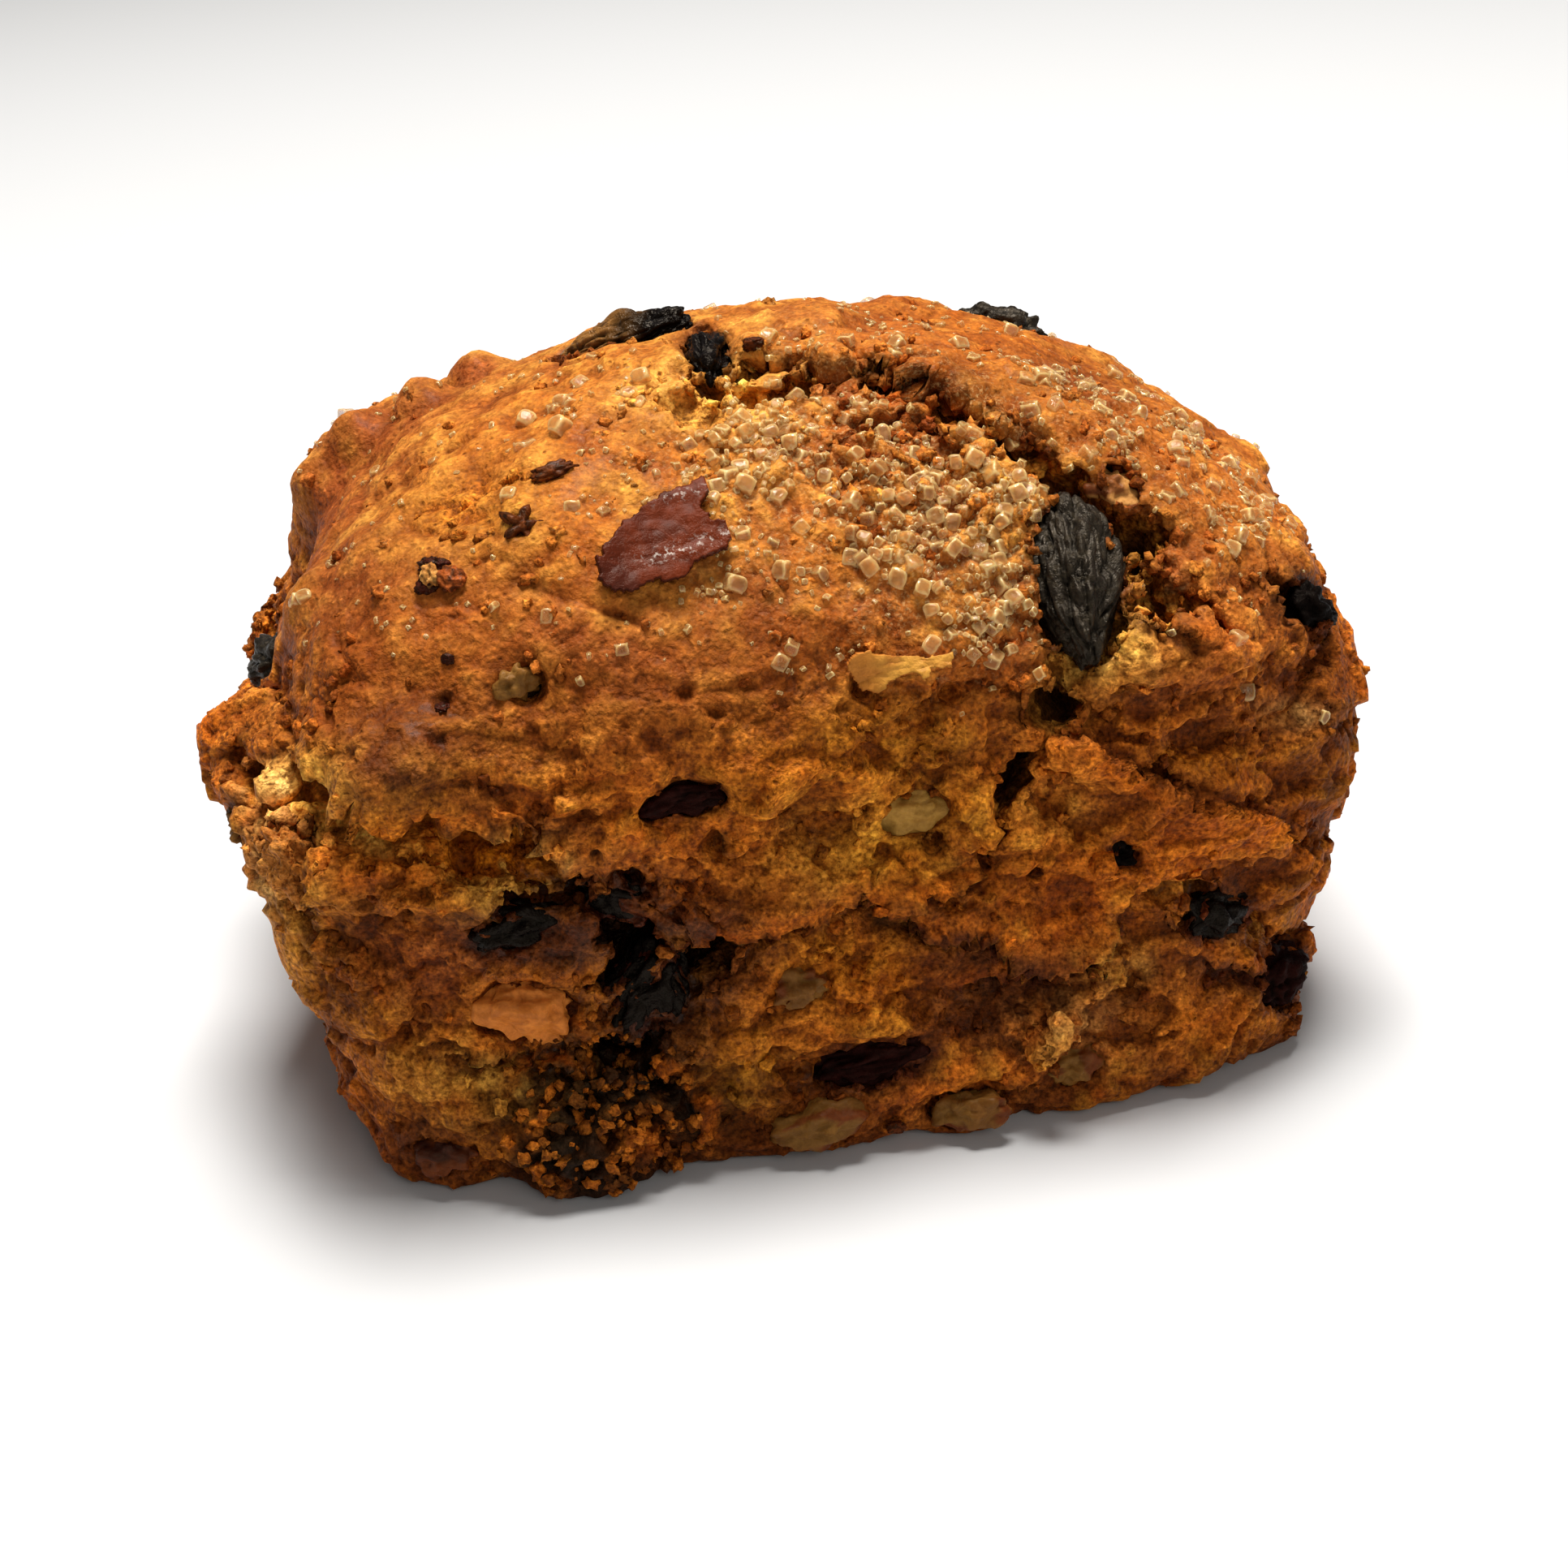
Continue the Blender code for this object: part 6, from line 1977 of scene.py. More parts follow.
    def press_pits(self, push: Array, places: Array, deep: Array) -> None:
        """Press the holes and bumps that the photograph shows, and holes by chance, into the crust.

        Args:
            push: How far each place is pushed out, changed here.
            places: Places on the crust.
            deep: How deep they lie in the cracks.
        """
        def press(middle: Array, reach: float, depth: float) -> None:
            """Press one round hole.

            Args:
                middle: Its middle.
                reach: Its reach in millimetres.
                depth: Its depth in millimetres.
            """
            gap = np.sum((places - middle) ** 2, axis=1) / (reach * 1.25) ** 2
            near = gap < 1.0
            push[near] -= depth * (1.0 - gap[near]) ** 1.5

        chance = np.random.RandomState(self.pit_seed)
        for pit in (*PITS, *BUMPS):
            press(np.asarray(VIEW.spot(pit.pixel, self.uncut)[0]), pit.reach, pit.depth)
        on_crust = np.flatnonzero((deep < 0.2) & (places[:, 2] > 2.0) & (places[:, 2] < 42.0))
        for index in chance.choice(on_crust, self.pit_count, replace=False):
            reach = chance.uniform(*self.pit_reach)
            press(places[index], reach, reach * chance.uniform(*self.pit_depth))
        on_lump = np.flatnonzero((BURNT.away(places, self.uncut) < BURNT.reach) & (places[:, 2] > 1.0))
        for index in chance.choice(on_lump, self.burnt_pit_count, replace=False):
            press(places[index], chance.uniform(*self.burnt_reach), chance.uniform(*self.burnt_depth))

    @staticmethod
    def hollowness(piece: Solid, rounds: int) -> Array:
        """Measure how far each place lies below the mean of those around it.

        Args:
            piece: The crust.
            rounds: How often neighbours are averaged; more rounds look further around.

        Returns:
            Depth in millimetres for each place, below zero on a ridge.
        """
        places, normals = read_places(piece), read_normals(piece)
        pairs = np.empty(len(piece.data.edges) * 2, np.int32)
        piece.data.edges.foreach_get("vertices", pairs)
        starts, ends = np.concatenate((pairs[::2], pairs[1::2])), np.concatenate((pairs[1::2], pairs[::2]))
        counts = np.bincount(starts, minlength=len(places))
        mean = places.copy()
        for _ in range(rounds):
            sums = [np.bincount(starts, mean[ends, axis], len(places)) for axis in range(3)]
            mean = np.column_stack(sums) / counts[:, None]
        return np.sum((mean - places) * normals, axis=1)

    def baked(self, broad: Array, mid: Array, small: Array, top: Array) -> Array:
        """Colour the crust as the oven does, golden on top and browner and mottled at the sides, with
        painted light on its ridges and painted shade in its hollows.

        Args:
            broad: Noise with swells of a centimetre.
            mid: Noise with swells of some millimetres.
            small: Noise with swells of two millimetres.
            top: How much each place belongs to the top.

        Returns:
            Linear colours.
        """
        x, y, height = self.places.T
        rise = self.normals[:, 2]
        side = 1.0 - top
        behind = ease(-5.0, 22.0, y)
        # the relief that drives painted light on the ridges and painted shade in the valleys
        ridge = ease(0.0, 0.55, -self.deep)
        valley = ease(-0.05, 0.50, self.deep)
        ochre = ease(-0.1, 0.25, broad + 0.6 * small)
        colours = plain(Tone.RUST, len(x))
        for tone, share in (
            (Tone.AMBER, ease(18.0, 40.0, height) * 0.55),
            (Tone.GOLD, top),
            (Tone.PALE_GOLD, top * ease(0.02, 0.35, broad) * 0.7),
            (Tone.RED_BROWN, top * ease(0.06, 0.34, mid) * 0.60),
            (Tone.RED_BROWN, top * np.exp(-((rise - 0.60) / 0.24) ** 2) * (0.7 + 0.9 * mid) * 0.30),
            (Tone.RED_BROWN, top * ease(26.0, 42.0, -x) * (0.45 + 0.5 * small)),
            (Tone.OLIVE, side * ease(0.02, 0.35, broad) * 0.45),
            (Tone.BROWN, side * ease(0.02, 0.35, -mid) * 0.55),
            (Tone.ORANGE, side * ease(0.05, 0.35, mid) * 0.40),
            (Tone.BROWN, side * ease(0.02, 0.32, small) * 0.55),
            (Tone.TORN, side * ease(0.02, 0.32, -small) * 0.40),
            (Tone.GOLD, behind * side * ease(-0.10, 0.35, broad - mid) * 0.45),
            (Tone.BROWN, behind * ease(0.0, 0.40, -broad - 0.5 * mid) * 0.50),
            (Tone.PALE_GOLD, behind * top * ease(0.0, 0.40, mid) * 0.50),
            (Tone.RED_BROWN, top * ease(0.05, 0.36, small) * 0.40),
            (Tone.PALE_GOLD, top * ease(0.05, 0.36, -small) * 0.55),
            (Tone.DARK_BROWN, (1.0 - ease(0.5, 6.5, height)) * 0.55),
            (Tone.DARK_BROWN, ease(36.0, 44.0, np.abs(x)) * ease(20.0, 28.0, np.abs(y)) * side * 0.45),
            (Tone.BROWN, ease(0.6, 0.9, -rise) * (1.0 - ease(0.3, 1.5, height)) * 0.8),
            # painted light on the ridges and painted shade in the valleys of the relief
            (Tone.ORANGE, ridge * side * 0.35 * (1.0 - ochre)),
            (Tone.CRUMB_OLIVE, ridge * side * 0.30 * ochre),
            (Tone.PALE_GOLD, ridge * top * 0.40),
            (Tone.DARK_BROWN, valley * side * 0.60),
            (Tone.RED_BROWN, valley * top * 0.60),
        ):
            colours = blend(colours, tone, share)
        return colours

    def colour(self, fine: Array, wide: Array) -> tuple[Array, Array]:
        """Work out the colour, frost, gloss and crumb of each place, with painted shade and painted light
        in the colour.

        Args:
            fine: How hollow the crust is over about a millimetre.
            wide: How hollow it is over some millimetres.

        Returns:
            Linear colours, and rows of frost, gloss and crumb.
        """
        places, deep = self.places, self.deep
        broad, mid, small = (noise_at(places, size, shift)
                             for size, shift in ((10.0, 71.0), (4.2, 81.0), (1.9, 91.0)))
        top = ease(34.0, 50.0, places[:, 2] + 6.0 * self.normals[:, 2])
        colours = self.baked(broad, mid, small, top)
        gloss = 0.20 * ease(0.0, 0.35, mid)
        covers = [(patch, patch.share * patch.weight(places, self.uncut)) for patch in PATCHES]
        # dark stains and painted shade together: sugar and crumbs are kept off them
        self.shaded = np.clip(sum(cover for patch, cover in covers
                                  if patch.tone in (Tone.CHAR, Tone.PLUM, Tone.DARK_BROWN)), 0.0, 1.0)
        for patch, cover in covers:
            if not patch.inner:
                cover = cover * (1.0 + 0.7 * small + 0.5 * mid)
                colours = blend(colours, patch.tone, cover)
                gloss = gloss + cover * patch.gloss
        inside = ease(0.75, 1.35, deep)
        crumb = blend(plain(Tone.TORN, len(places)), Tone.CRUMB, ease(0.8, 2.4, deep) * (0.65 + 0.5 * mid))
        # painted shade: the crumb turns dark brown deeper down in the cracks
        crumb = blend(crumb, Tone.DARK_BROWN, ease(2.4, 4.6, deep) * 0.85)
        for patch, cover in covers:
            if patch.inner or patch.tone in (Tone.CHAR, Tone.PLUM):
                crumb = blend(crumb, patch.tone, cover * (1.0 + 0.5 * small))
                gloss = gloss + inside * cover * patch.gloss
        crumb = crumb * (0.82 + 0.6 * np.abs(noise_at(places, 1.4, 101.0)))[:, None]
        colours = colours * (1.0 - inside[:, None]) + crumb * inside[:, None]
        # painted shadow in each ledge's tone just under its edge, and painted light in orange on its lip
        for ledge in LEDGES:
            rows, over, weight, _ = ledge.sides(places, self.uncut)
            below = weight * np.exp(-((over + 0.5) / 0.8) ** 2)
            self.shaded[rows] = np.maximum(self.shaded[rows], below)
            colours[rows] = blend(colours[rows], ledge.tone, 0.85 * below)
            lit = weight * np.exp(-((over - 0.8) / 0.5) ** 2) * (1.0 - inside[rows])
            colours[rows] = blend(colours[rows], Tone.ORANGE, 0.45 * lit)
        for topping in TOPPINGS:
            tone, reach, least, most, sheen = topping.kind.value[2]
            near = np.maximum(topping.nearness(places, self.uncut), 0.0)
            stain = np.exp(-(near / reach) ** 2)
            colours = blend(colours, tone, stain * (least + most * small))
            gloss = gloss + sheen * stain
        # painted shade: each listed pit is painted near black inside
        for pit in PITS:
            away = pit.away(places, self.uncut) / pit.reach
            colours = blend(colours, Tone.CHAR, 0.9 * (1.0 - ease(0.45, 1.1, away)))
        # painted shade in the hollows and painted light on the ridges, half as strong on the top outside
        # the cracks
        colours = colours * self.painted_shade_and_light(fine, wide, 1.0 - 0.5 * top * (1.0 - inside))
        frost = self.sugar_wish(places) * (1.0 - inside) * (0.6 + 0.8 * ease(-0.1, 0.3, small))
        open_crumb = np.maximum(inside, 0.5 * (1.0 - top))
        marks = np.column_stack((np.clip(frost, 0.0, 1.0), np.clip(gloss, 0.0, 1.0), open_crumb))
        return np.clip(colours, 0.0, 1.0), marks

    @staticmethod
    def painted_shade_and_light(fine: Array, wide: Array, share: Array) -> Array:
        """Turn hollowness into painted shade and light for the colour: hollows painted brown and dark as
        shade, ridges painted tan as light.

        Args:
            fine: How hollow the crust is over about a millimetre.
            wide: How hollow it is over some millimetres.
            share: How strongly each place is changed.

        Returns:
            A factor for each place and channel.
        """
        dark = share * (0.75 * ease(0.01, 0.16, fine) + 0.50 * ease(0.08, 0.60, wide))
        light = share * ease(0.01, 0.13, -fine)
        return np.exp(light[:, None] * (0.20, 0.27, 0.32) - dark[:, None] * (0.60, 0.78, 0.94))

    def clear_of(self, reach: float) -> Array:
        """Say which places are clear of every topping, chip and bit, by a reach in millimetres.

        Args:
            reach: How clear of a topping.

        Returns:
            True for each place that is clear.
        """
        clear = np.ones(len(self.places), bool)
        for topping in TOPPINGS:
            clear &= topping.nearness(self.places, self.uncut) > reach
        for chip in CHIPS:
            gap = self.places - np.asarray(chip.place)
            clear &= np.linalg.norm(gap * (2.0 / chip.length, 1.6 / chip.width, 0.5), axis=1) > 1.0
        for bit in BITS:
            clear &= bit.away(self.places, self.uncut) > 0.5 * bit.size[0] + 0.8
        return clear

    @staticmethod
    def sugar_wish(places: Array) -> Array:
        """Say how thickly sugar lies at each place of the crust, from 0 to 1.

        Args:
            places: Places in millimetres, one row each.

        Returns:
            One value for each place.
        """
        x, y, z = places.T
        front = np.exp(-((x - 11.0) / 9.0) ** 2 - ((y + 20.0) / 7.5) ** 2)
        middle = 0.40 * np.exp(-((x - 1.0) / 16.0) ** 2 - ((y + 13.0) / 10.0) ** 2)
        right = 0.34 * np.exp(-((x - 30.0) / 9.0) ** 2 - ((y + 12.0) / 12.0) ** 2)
        rest = 0.07 * ease(38.0, 48.0, z)
        return np.clip((front + middle + right + rest) * ease(33.0, 42.0, z), 0.0, 1.0)


# ------------------------------------------------------------------ chips that lie on the crust
@dataclass(frozen=True)
class Chip:
    """A thin ragged chip: its outline runs from -1 to 1 along and across it."""

    name: str
    place: Point
    heading: Point
    length: float
    width: float
    thickness: float
    curl: float
    outline: tuple[Pixel, ...]
    tone: Tone
    edge: Tone
    cells: int = 84
    gap: float = 0.35
    drop: float = 8.0
    stiffness: float = 90.0

    def build(self, crust: BVHTree, body: BVHTree) -> Solid:
        """Cut the chip from a grid, drape it over the crust and give it thickness.

        Args:
            crust: Search tree of the uncracked crust, for where it lies.
            body: Search tree of the finished crust, for what it lies on.

        Returns:
            The chip in millimetres.
        """
        spot, normal, _, _ = crust.find_nearest(Vector(self.place))
        along = Vector(self.heading)
        along = (along - normal * along.dot(normal)).normalized()
        across = normal.cross(along)
        piece = self.cut_out()
        flat = read_places(piece)
        places = []
        for u, v, _ in flat.tolist():
            over = spot + along * (u * self.length / 2.0) + across * (v * self.width / 2.0)
            over += normal * self.drop
            hit, _, _, _ = body.ray_cast(over, -normal)
            places.append(hit if hit is not None else over - normal * self.drop)
        places = np.asarray(places)
        heights = (places - np.asarray(spot)) @ np.asarray(normal)
        lift = self.curl * (flat[:, 0] ** 2 + 0.5 * flat[:, 1] ** 2) + self.gap
        lift = lift + 0.22 * noise_at(flat, 0.55, 2.0) + 0.10 * noise_at(flat, 0.2, 4.0)
        rise = self.bridged(flat, heights) - heights + lift
        write_places(piece, places + np.asarray(normal) * rise[:, None])
        modify(piece, "SOLIDIFY", thickness=self.thickness, offset=1.0)
        modify(piece, "SMOOTH", factor=0.4, iterations=1)
        edit(piece, "normals_make_consistent", inside=False)
        round_off(piece)
        self.dress(piece, spot, normal, along, across)
        return piece

    def cut_out(self) -> Solid:
        """Cut a grid from -1 to 1 along the ragged outline.

        Returns:
            The flat chip.
        """
        piece = grid(self.cells, self.cells)
        flat = read_places(piece)
        ragged = flat * np.asarray((self.length / 2.0, self.width / 2.0, 1.0))
        wobble = np.column_stack((noise_at(ragged, 0.9, 3.0), noise_at(ragged, 0.9, 8.0)))
        fine = np.column_stack((noise_at(ragged, 0.4, 5.0), noise_at(ragged, 0.4, 6.0)))
        keep = self.within(flat[:, :2] + 0.06 * wobble + 0.05 * fine)
        edit(piece, "select_all", action="DESELECT")
        piece.data.vertices.foreach_set("select", ~keep)
        bpy.ops.object.mode_set(mode="EDIT")
        bpy.ops.mesh.select_mode(type="VERT")
        bpy.ops.mesh.delete(type="VERT")
        bpy.ops.object.mode_set(mode="OBJECT")
        Crust.keep_whole(piece)
        return piece

    def within(self, tests: Array) -> Array:
        """Say which places lie inside the outline.

        Args:
            tests: Places in the outline's own frame.

        Returns:
            True for each place inside.
        """
        inside = np.zeros(len(tests), bool)
        corners = np.asarray(self.outline)
        for start, end in zip(corners, np.roll(corners, -1, axis=0)):
            spans = (start[1] > tests[:, 1]) != (end[1] > tests[:, 1])
            rise = end[1] - start[1] if abs(end[1] - start[1]) > 1e-9 else 1e-9
            cross = (end[0] - start[0]) * (tests[:, 1] - start[1]) / rise + start[0]
            inside ^= spans & (tests[:, 0] < cross)
        return inside

    def bridged(self, flat: Array, heights: Array) -> Array:
        """Even the crust's heights out, as a stiff chip bridges them.

        Args:
            flat: Places on the chip from -1 to 1.
            heights: Height of the crust under each of them.

        Returns:
            Height of a curved sheet that lies on the crust.
        """
        u, v = flat[:, 0], flat[:, 1]
        terms = np.column_stack((np.ones(len(u)), u, v, u * u, u * v, v * v))
        fit, _, _, _ = np.linalg.lstsq(terms, heights, rcond=None)
        sheet = terms @ fit
        return sheet + np.percentile(heights - sheet, self.stiffness)

    def dress(self, piece: Solid, spot: Vector, normal: Vector, along: Vector, across: Vector) -> None:
        """Paint the chip: darker at its edge, with sugar dust on its front rim.

        Args:
            piece: The chip.
            spot: Its middle.
            normal: The way out of the crust there.
            along: The way along it.
            across: The way across it.
        """
        places = read_places(piece)
        gap = places - np.asarray(spot)
        u = gap @ np.asarray(along) / (self.length / 2.0)
        v = gap @ np.asarray(across) / (self.width / 2.0)
        facing = read_normals(piece) @ np.asarray(normal)
        colours = blend(plain(self.tone, len(places)), self.edge, 1.0 - ease(0.2, 0.8, facing))
        colours = blend(colours, self.edge, ease(0.0, 0.4, noise_at(places, 1.8, 6.0)) * 0.5)
        rim = np.exp(-((v + 0.40) / 0.16) ** 2) * ease(-0.55, -0.1, u)
        tongue = 0.9 * np.exp(-((v - 0.72) / 0.12) ** 2 - ((u - 0.5) / 0.4) ** 2)
        frost = 0.7 * np.clip(rim + tongue, 0.0, 1.0) * (self.tone is Tone.FLAKE)
        gloss = np.clip(0.35 + np.exp(-((v + 0.3) / 0.4) ** 2), 0.0, 1.0)
        paint(piece, COLOUR, blend(colours, self.edge, 0.6 * (1.0 - ease(-0.7, -0.1, u))))
        paint(piece, MARKS, np.column_stack((frost, gloss, np.zeros(len(u)))))


CHIPS = (
    Chip("crust_flake", (-11, -21.8, 49.2), (1, 0.12, 0.12), 10.8, 7.6, 0.55, 0.45, (
        (-0.99, -0.57), (-0.92, -0.20), (-0.78, 0.02), (-0.46, 0.40), (-0.15, 0.66), (0.20, 0.84),
        (0.60, 0.92), (0.94, 0.98), (0.88, 0.66), (0.70, 0.34), (0.80, 0.10), (0.96, -0.12), (0.98, -0.42),
        (0.84, -0.60), (0.42, -0.70), (0.10, -0.94), (-0.30, -0.86), (-0.60, -0.98), (-0.86, -0.84),
    ), Tone.FLAKE, Tone.FLAKE_EDGE),
    Chip("nut_flake", (5.4, -28.6, 40), (1, 0, -0.04), 8.2, 3.6, 0.5, 0.25, (
        (-1, 0.35), (-0.80, 0.75), (-0.30, 0.55), (0.10, 0.35), (0.45, 0.20), (0.98, 0.25), (0.92, -0.35),
        (0.55, -0.35), (0.40, -0.95), (0.22, -0.40), (-0.10, -0.50), (-0.35, -0.95), (-0.70, -0.80),
        (-0.92, -0.10),
    ), Tone.CRUMB, Tone.AMBER, 64, 0.2),
)


@dataclass(frozen=True)
class Bit(Mark):
    """A small dark bit of bran, fruit or spice on the crust."""

    size: Point
    turn: float
    tone: Tone
    arms: int = 0

    def build(self, crust: Crust) -> Solid:
        """Make the bit in the dough's frame, in millimetres.

        Args:
            crust: The finished body.

        Returns:
            The bit.
        """
        spot, normal = VIEW.spot(self.pixel, crust.tree)
        right, up, _ = VIEW.axes()
        turn = math.radians(self.turn)
        piece = ball(4)
        ways = unit(read_places(piece))
        push = 1.0 + 0.45 * noise_at(ways, 0.45, len(self.name)) + 0.2 * noise_at(ways, 0.18, 3.0)
        if self.arms:
            angle = np.arctan2(ways[:, 1], ways[:, 0])
            push += 0.35 * np.cos(self.arms * angle) * np.hypot(ways[:, 0], ways[:, 1])
        write_places(piece, ways * push[:, None] * np.asarray(self.size) / 2.0)
        piece.data.transform(lay(spot + normal * self.size[2] * 0.15,
                                 right * math.cos(turn) + up * math.sin(turn), normal))
        dark = 0.7 * ease(0.0, 0.2, noise_at(ways, 0.4, 9.0))
        paint(piece, COLOUR, blend(plain(self.tone, len(ways)), Tone.CHAR, dark))
        paint(piece, MARKS, np.tile((0.0, 0.5, 0.2), (len(ways), 1)))
        round_off(piece)
        return piece


BITS = (
    Bit("leaf", (682, 581), (3.2, 1.3, 0.9), 22, Tone.DARK_BROWN),
    Bit("leaf_tip", (672, 588), (2, 0.8, 0.6), 30, Tone.BROWN),
    Bit("star", (644, 650), (2.5, 2.4, 1.7), 10, Tone.DARK_BROWN, 5),
    Bit("nub", (533, 712), (1.5, 1.9, 1.9), 0, Tone.WALNUT),
    Bit("nub_back", (536, 698), (2.6, 1.3, 1.2), -10, Tone.PLUM),
    Bit("nub_side", (556, 714), (2.4, 1.9, 1.2), -25, Tone.RED_BROWN),
    Bit("nub_front", (526, 724), (1.8, 1.1, 0.9), 10, Tone.PLUM),
    Bit("dark_square", (650, 849), (2.1, 1.2, 0.5), 5, Tone.CHAR),
    Bit("spot_high", (552, 812), (1.1, 0.8, 0.5), 0, Tone.PLUM),
    Bit("spot_low", (545, 872), (1.3, 1.9, 0.5), 0, Tone.PLUM),
    Bit("crown_bit", (929, 424), (1.8, 1.1, 1), 10, Tone.DARK_BROWN),
    Bit("lip_bit", (1104, 1388), (1.6, 1, 0.8), 0, Tone.DARK_BROWN),
)


# ------------------------------------------------------------------ sugar and crumbs
@dataclass
class Scatter:
    """Small loose things of one kind, strewn over the finished crust by a wish."""

    name: str
    count: int
    largest: float
    smallest: float
    spacing: float
    sunk: float
    seed: int
    stretch: float = 0.0
    lean: float = 0.0
    tries: int = 12
    small_share: float = 1.4

    def choose(self, places: Array, wish: Array) -> Array:
        """Choose places by their wish, evenly apart.

        Args:
            places: Places to choose from.
            wish: How much each place is wished for.

        Returns:
            Row numbers of the chosen places, in the order chosen.
        """
        chance = np.random.RandomState(self.seed)
        keys = chance.random_sample(len(places)) ** (1.0 / np.maximum(wish, 1e-9))
        keys[wish <= 0.0] = -1.0
        taken = np.empty((self.count, 3))
        chosen = []
        for index in np.argsort(-keys)[:self.count * self.tries]:
            if keys[index] < 0.0 or len(chosen) == self.count:
                break
            gaps = taken[:len(chosen)] - places[index]
            if chosen and np.min(np.sum(gaps * gaps, axis=1)) < self.spacing ** 2:
                continue
            taken[len(chosen)] = places[index]
            chosen.append(index)
        return np.asarray(chosen, int)

    def strew(self, model: Solid, places: Array, normals: Array) -> tuple[Solid, Array]:
        """Copy the model to every place, turned and sized by chance.

        Args:
            model: One grain, about one millimetre across.
            places: Where the grains lie.
            normals: Which way is up there.

        Returns:
            The one piece of all grains, and the row number of the place of each vertex.
        """
        chance = np.random.RandomState(self.seed + 1)
        shape = read_places(model)
        corners = [tuple(face.vertices) for face in model.data.polygons]
        bpy.data.objects.remove(model)
        points, faces = [], []
        for row, (place, normal) in enumerate(zip(places, normals)):
            share = chance.random_sample() ** self.small_share
            size = self.largest + (self.smallest - self.largest) * share
            sides = size * (1.0 + self.stretch * chance.uniform(-1.0, 1.0, 3))
            tilt = Vector(normal).to_track_quat("Z", "Y").to_matrix()
            spin = Matrix.Rotation(chance.uniform(0.0, math.tau), 3, "Z")
            over = Matrix.Rotation(chance.uniform(-self.lean, self.lean), 3, "X")
            turn = np.asarray(tilt @ spin @ over)
            points.append((shape * sides) @ turn.T + place + np.asarray(normal) * size * (0.5 - self.sunk))
            faces += [tuple(corner + row * len(shape) for corner in face) for face in corners]
        mesh = bpy.data.meshes.new(self.name)
        mesh.from_pydata(np.concatenate(points).tolist(), [], faces)
        mesh.update()
        piece = bpy.data.objects.new(self.name, mesh)
        bpy.context.scene.collection.objects.link(piece)
        return piece, np.repeat(np.arange(len(places)), len(shape))


SEEN_CRYSTALS: tuple[Pixel, ...] = (
    (624, 612), (781, 484), (912, 514), (905, 547), (802, 616), (674, 759), (768, 801), (909, 716),
    (956, 669), (959, 816), (1025, 623), (1094, 644), (960, 668), (1000, 672), (1125, 694), (1197, 653),
    (1222, 660), (1178, 675), (1231, 675), (1190, 709), (1203, 753), (1150, 753), (1147, 794), (981, 794),
    (1278, 831), (1294, 541), (1247, 550), (1225, 812), (1444, 781), (1525, 790), (1535, 850), (1630, 880),
    (1047, 497), (362, 742), (376, 738),
)


@dataclass
class Crystals(Scatter):
    """Coarse sugar: rounded cubes of clear sugar with pale rims, part milky sugar and part painted
    highlight.
    """

    stretch: float = 0.22
    lean: float = 0.7
    seen: tuple[Pixel, ...] = ()
    cuts: int = 3
    corner: float = 2.5
    dent: float = 0.16
    uneven: float = 0.16
    paleness: float = 1.0
    focus: float = 3.0
    sure: float = 1e6

    def model(self) -> Solid:
        """Make one rounded cube with slightly hollow faces.

        Returns:
            The crystal, one millimetre across.
        """
        piece = cube(self.cuts)
        ways = read_places(piece)
        size = np.sum(np.abs(ways) ** self.corner, axis=1) ** (1.0 / self.corner)
        hollow = self.dent * np.exp(-(self.rim(ways) / 0.5) ** 2)
        write_places(piece, ways / size[:, None] * (0.5 - hollow)[:, None])
        return piece

    @staticmethod
    def rim(ways: Array) -> Array:
        """Say how far each place is from the middle of its face, 1 at an edge."""
        sides = np.sort(np.abs(ways), axis=1)
        return sides[:, 1] / np.maximum(sides[:, 2], 1e-6)

    def wish(self, crust: Crust) -> Array:
        """Say how much each place of the crust is wished for.

        Args:
            crust: The finished body.

        Returns:
            One value for each place.
        """
        wish = crust.sugar_wish(crust.places) ** self.focus
        wish = wish * (crust.deep < 0.45) * (crust.normals[:, 2] > 0.1)
        wish = wish * (0.12 + ease(-0.15, 0.25, noise_at(crust.places, 4.6, 13.0))) * crust.clear_of(0.7)
        wish = wish * (1.0 - crust.shaded) ** 3
        for pixel in self.seen:
            spot, _ = VIEW.spot(pixel, crust.tree)
            wish[np.argmin(np.sum((crust.places - np.asarray(spot)) ** 2, axis=1))] = self.sure
        return np.clip(wish, 0.0, None)

    def build(self, crust: Crust) -> Solid:
        """Strew the crystals over the top of the crust and paint their rims paler, part milky sugar and
        part painted highlight.

        Args:
            crust: The finished body.

        Returns:
            The crystals as one piece.
        """
        chosen = self.choose(crust.places, self.wish(crust))
        model = self.model()
        rim = np.tile(ease(0.50, 0.95, self.rim(read_places(model))), len(chosen))
        piece, owners = self.strew(model, crust.places[chosen], crust.normals[chosen])
        even = read_places(piece)
        bend = np.column_stack([noise_at(even, 0.8, shift) for shift in (5.0, 15.0, 25.0)])
        write_places(piece, even + self.uneven * bend)
        chance = np.random.RandomState(self.seed + 3).uniform(0.0, 1.0, len(chosen))[owners]
        # painted see-through colour: the faces take the colour of the crust beneath, and the rims are
        # painted paler, part milky sugar and part painted highlight
        colours = np.clip(crust.colours[chosen][owners], 0.0, 0.8)
        colours = blend(colours, Tone.SYRUP, 0.20 + 0.30 * chance)
        colours = blend(colours, Tone.SUGAR, 0.20 + rim * (0.45 + 0.30 * chance) * self.paleness)
        paint(piece, COLOUR, colours)
        cloud = np.clip(0.35 * chance ** 2 + rim * (0.30 + 0.65 * chance) * self.paleness, 0.0, 1.0)
        paint(piece, MARKS, np.column_stack((cloud, cloud * 0.0, cloud * 0.0)))
        round_off(piece)
        return piece


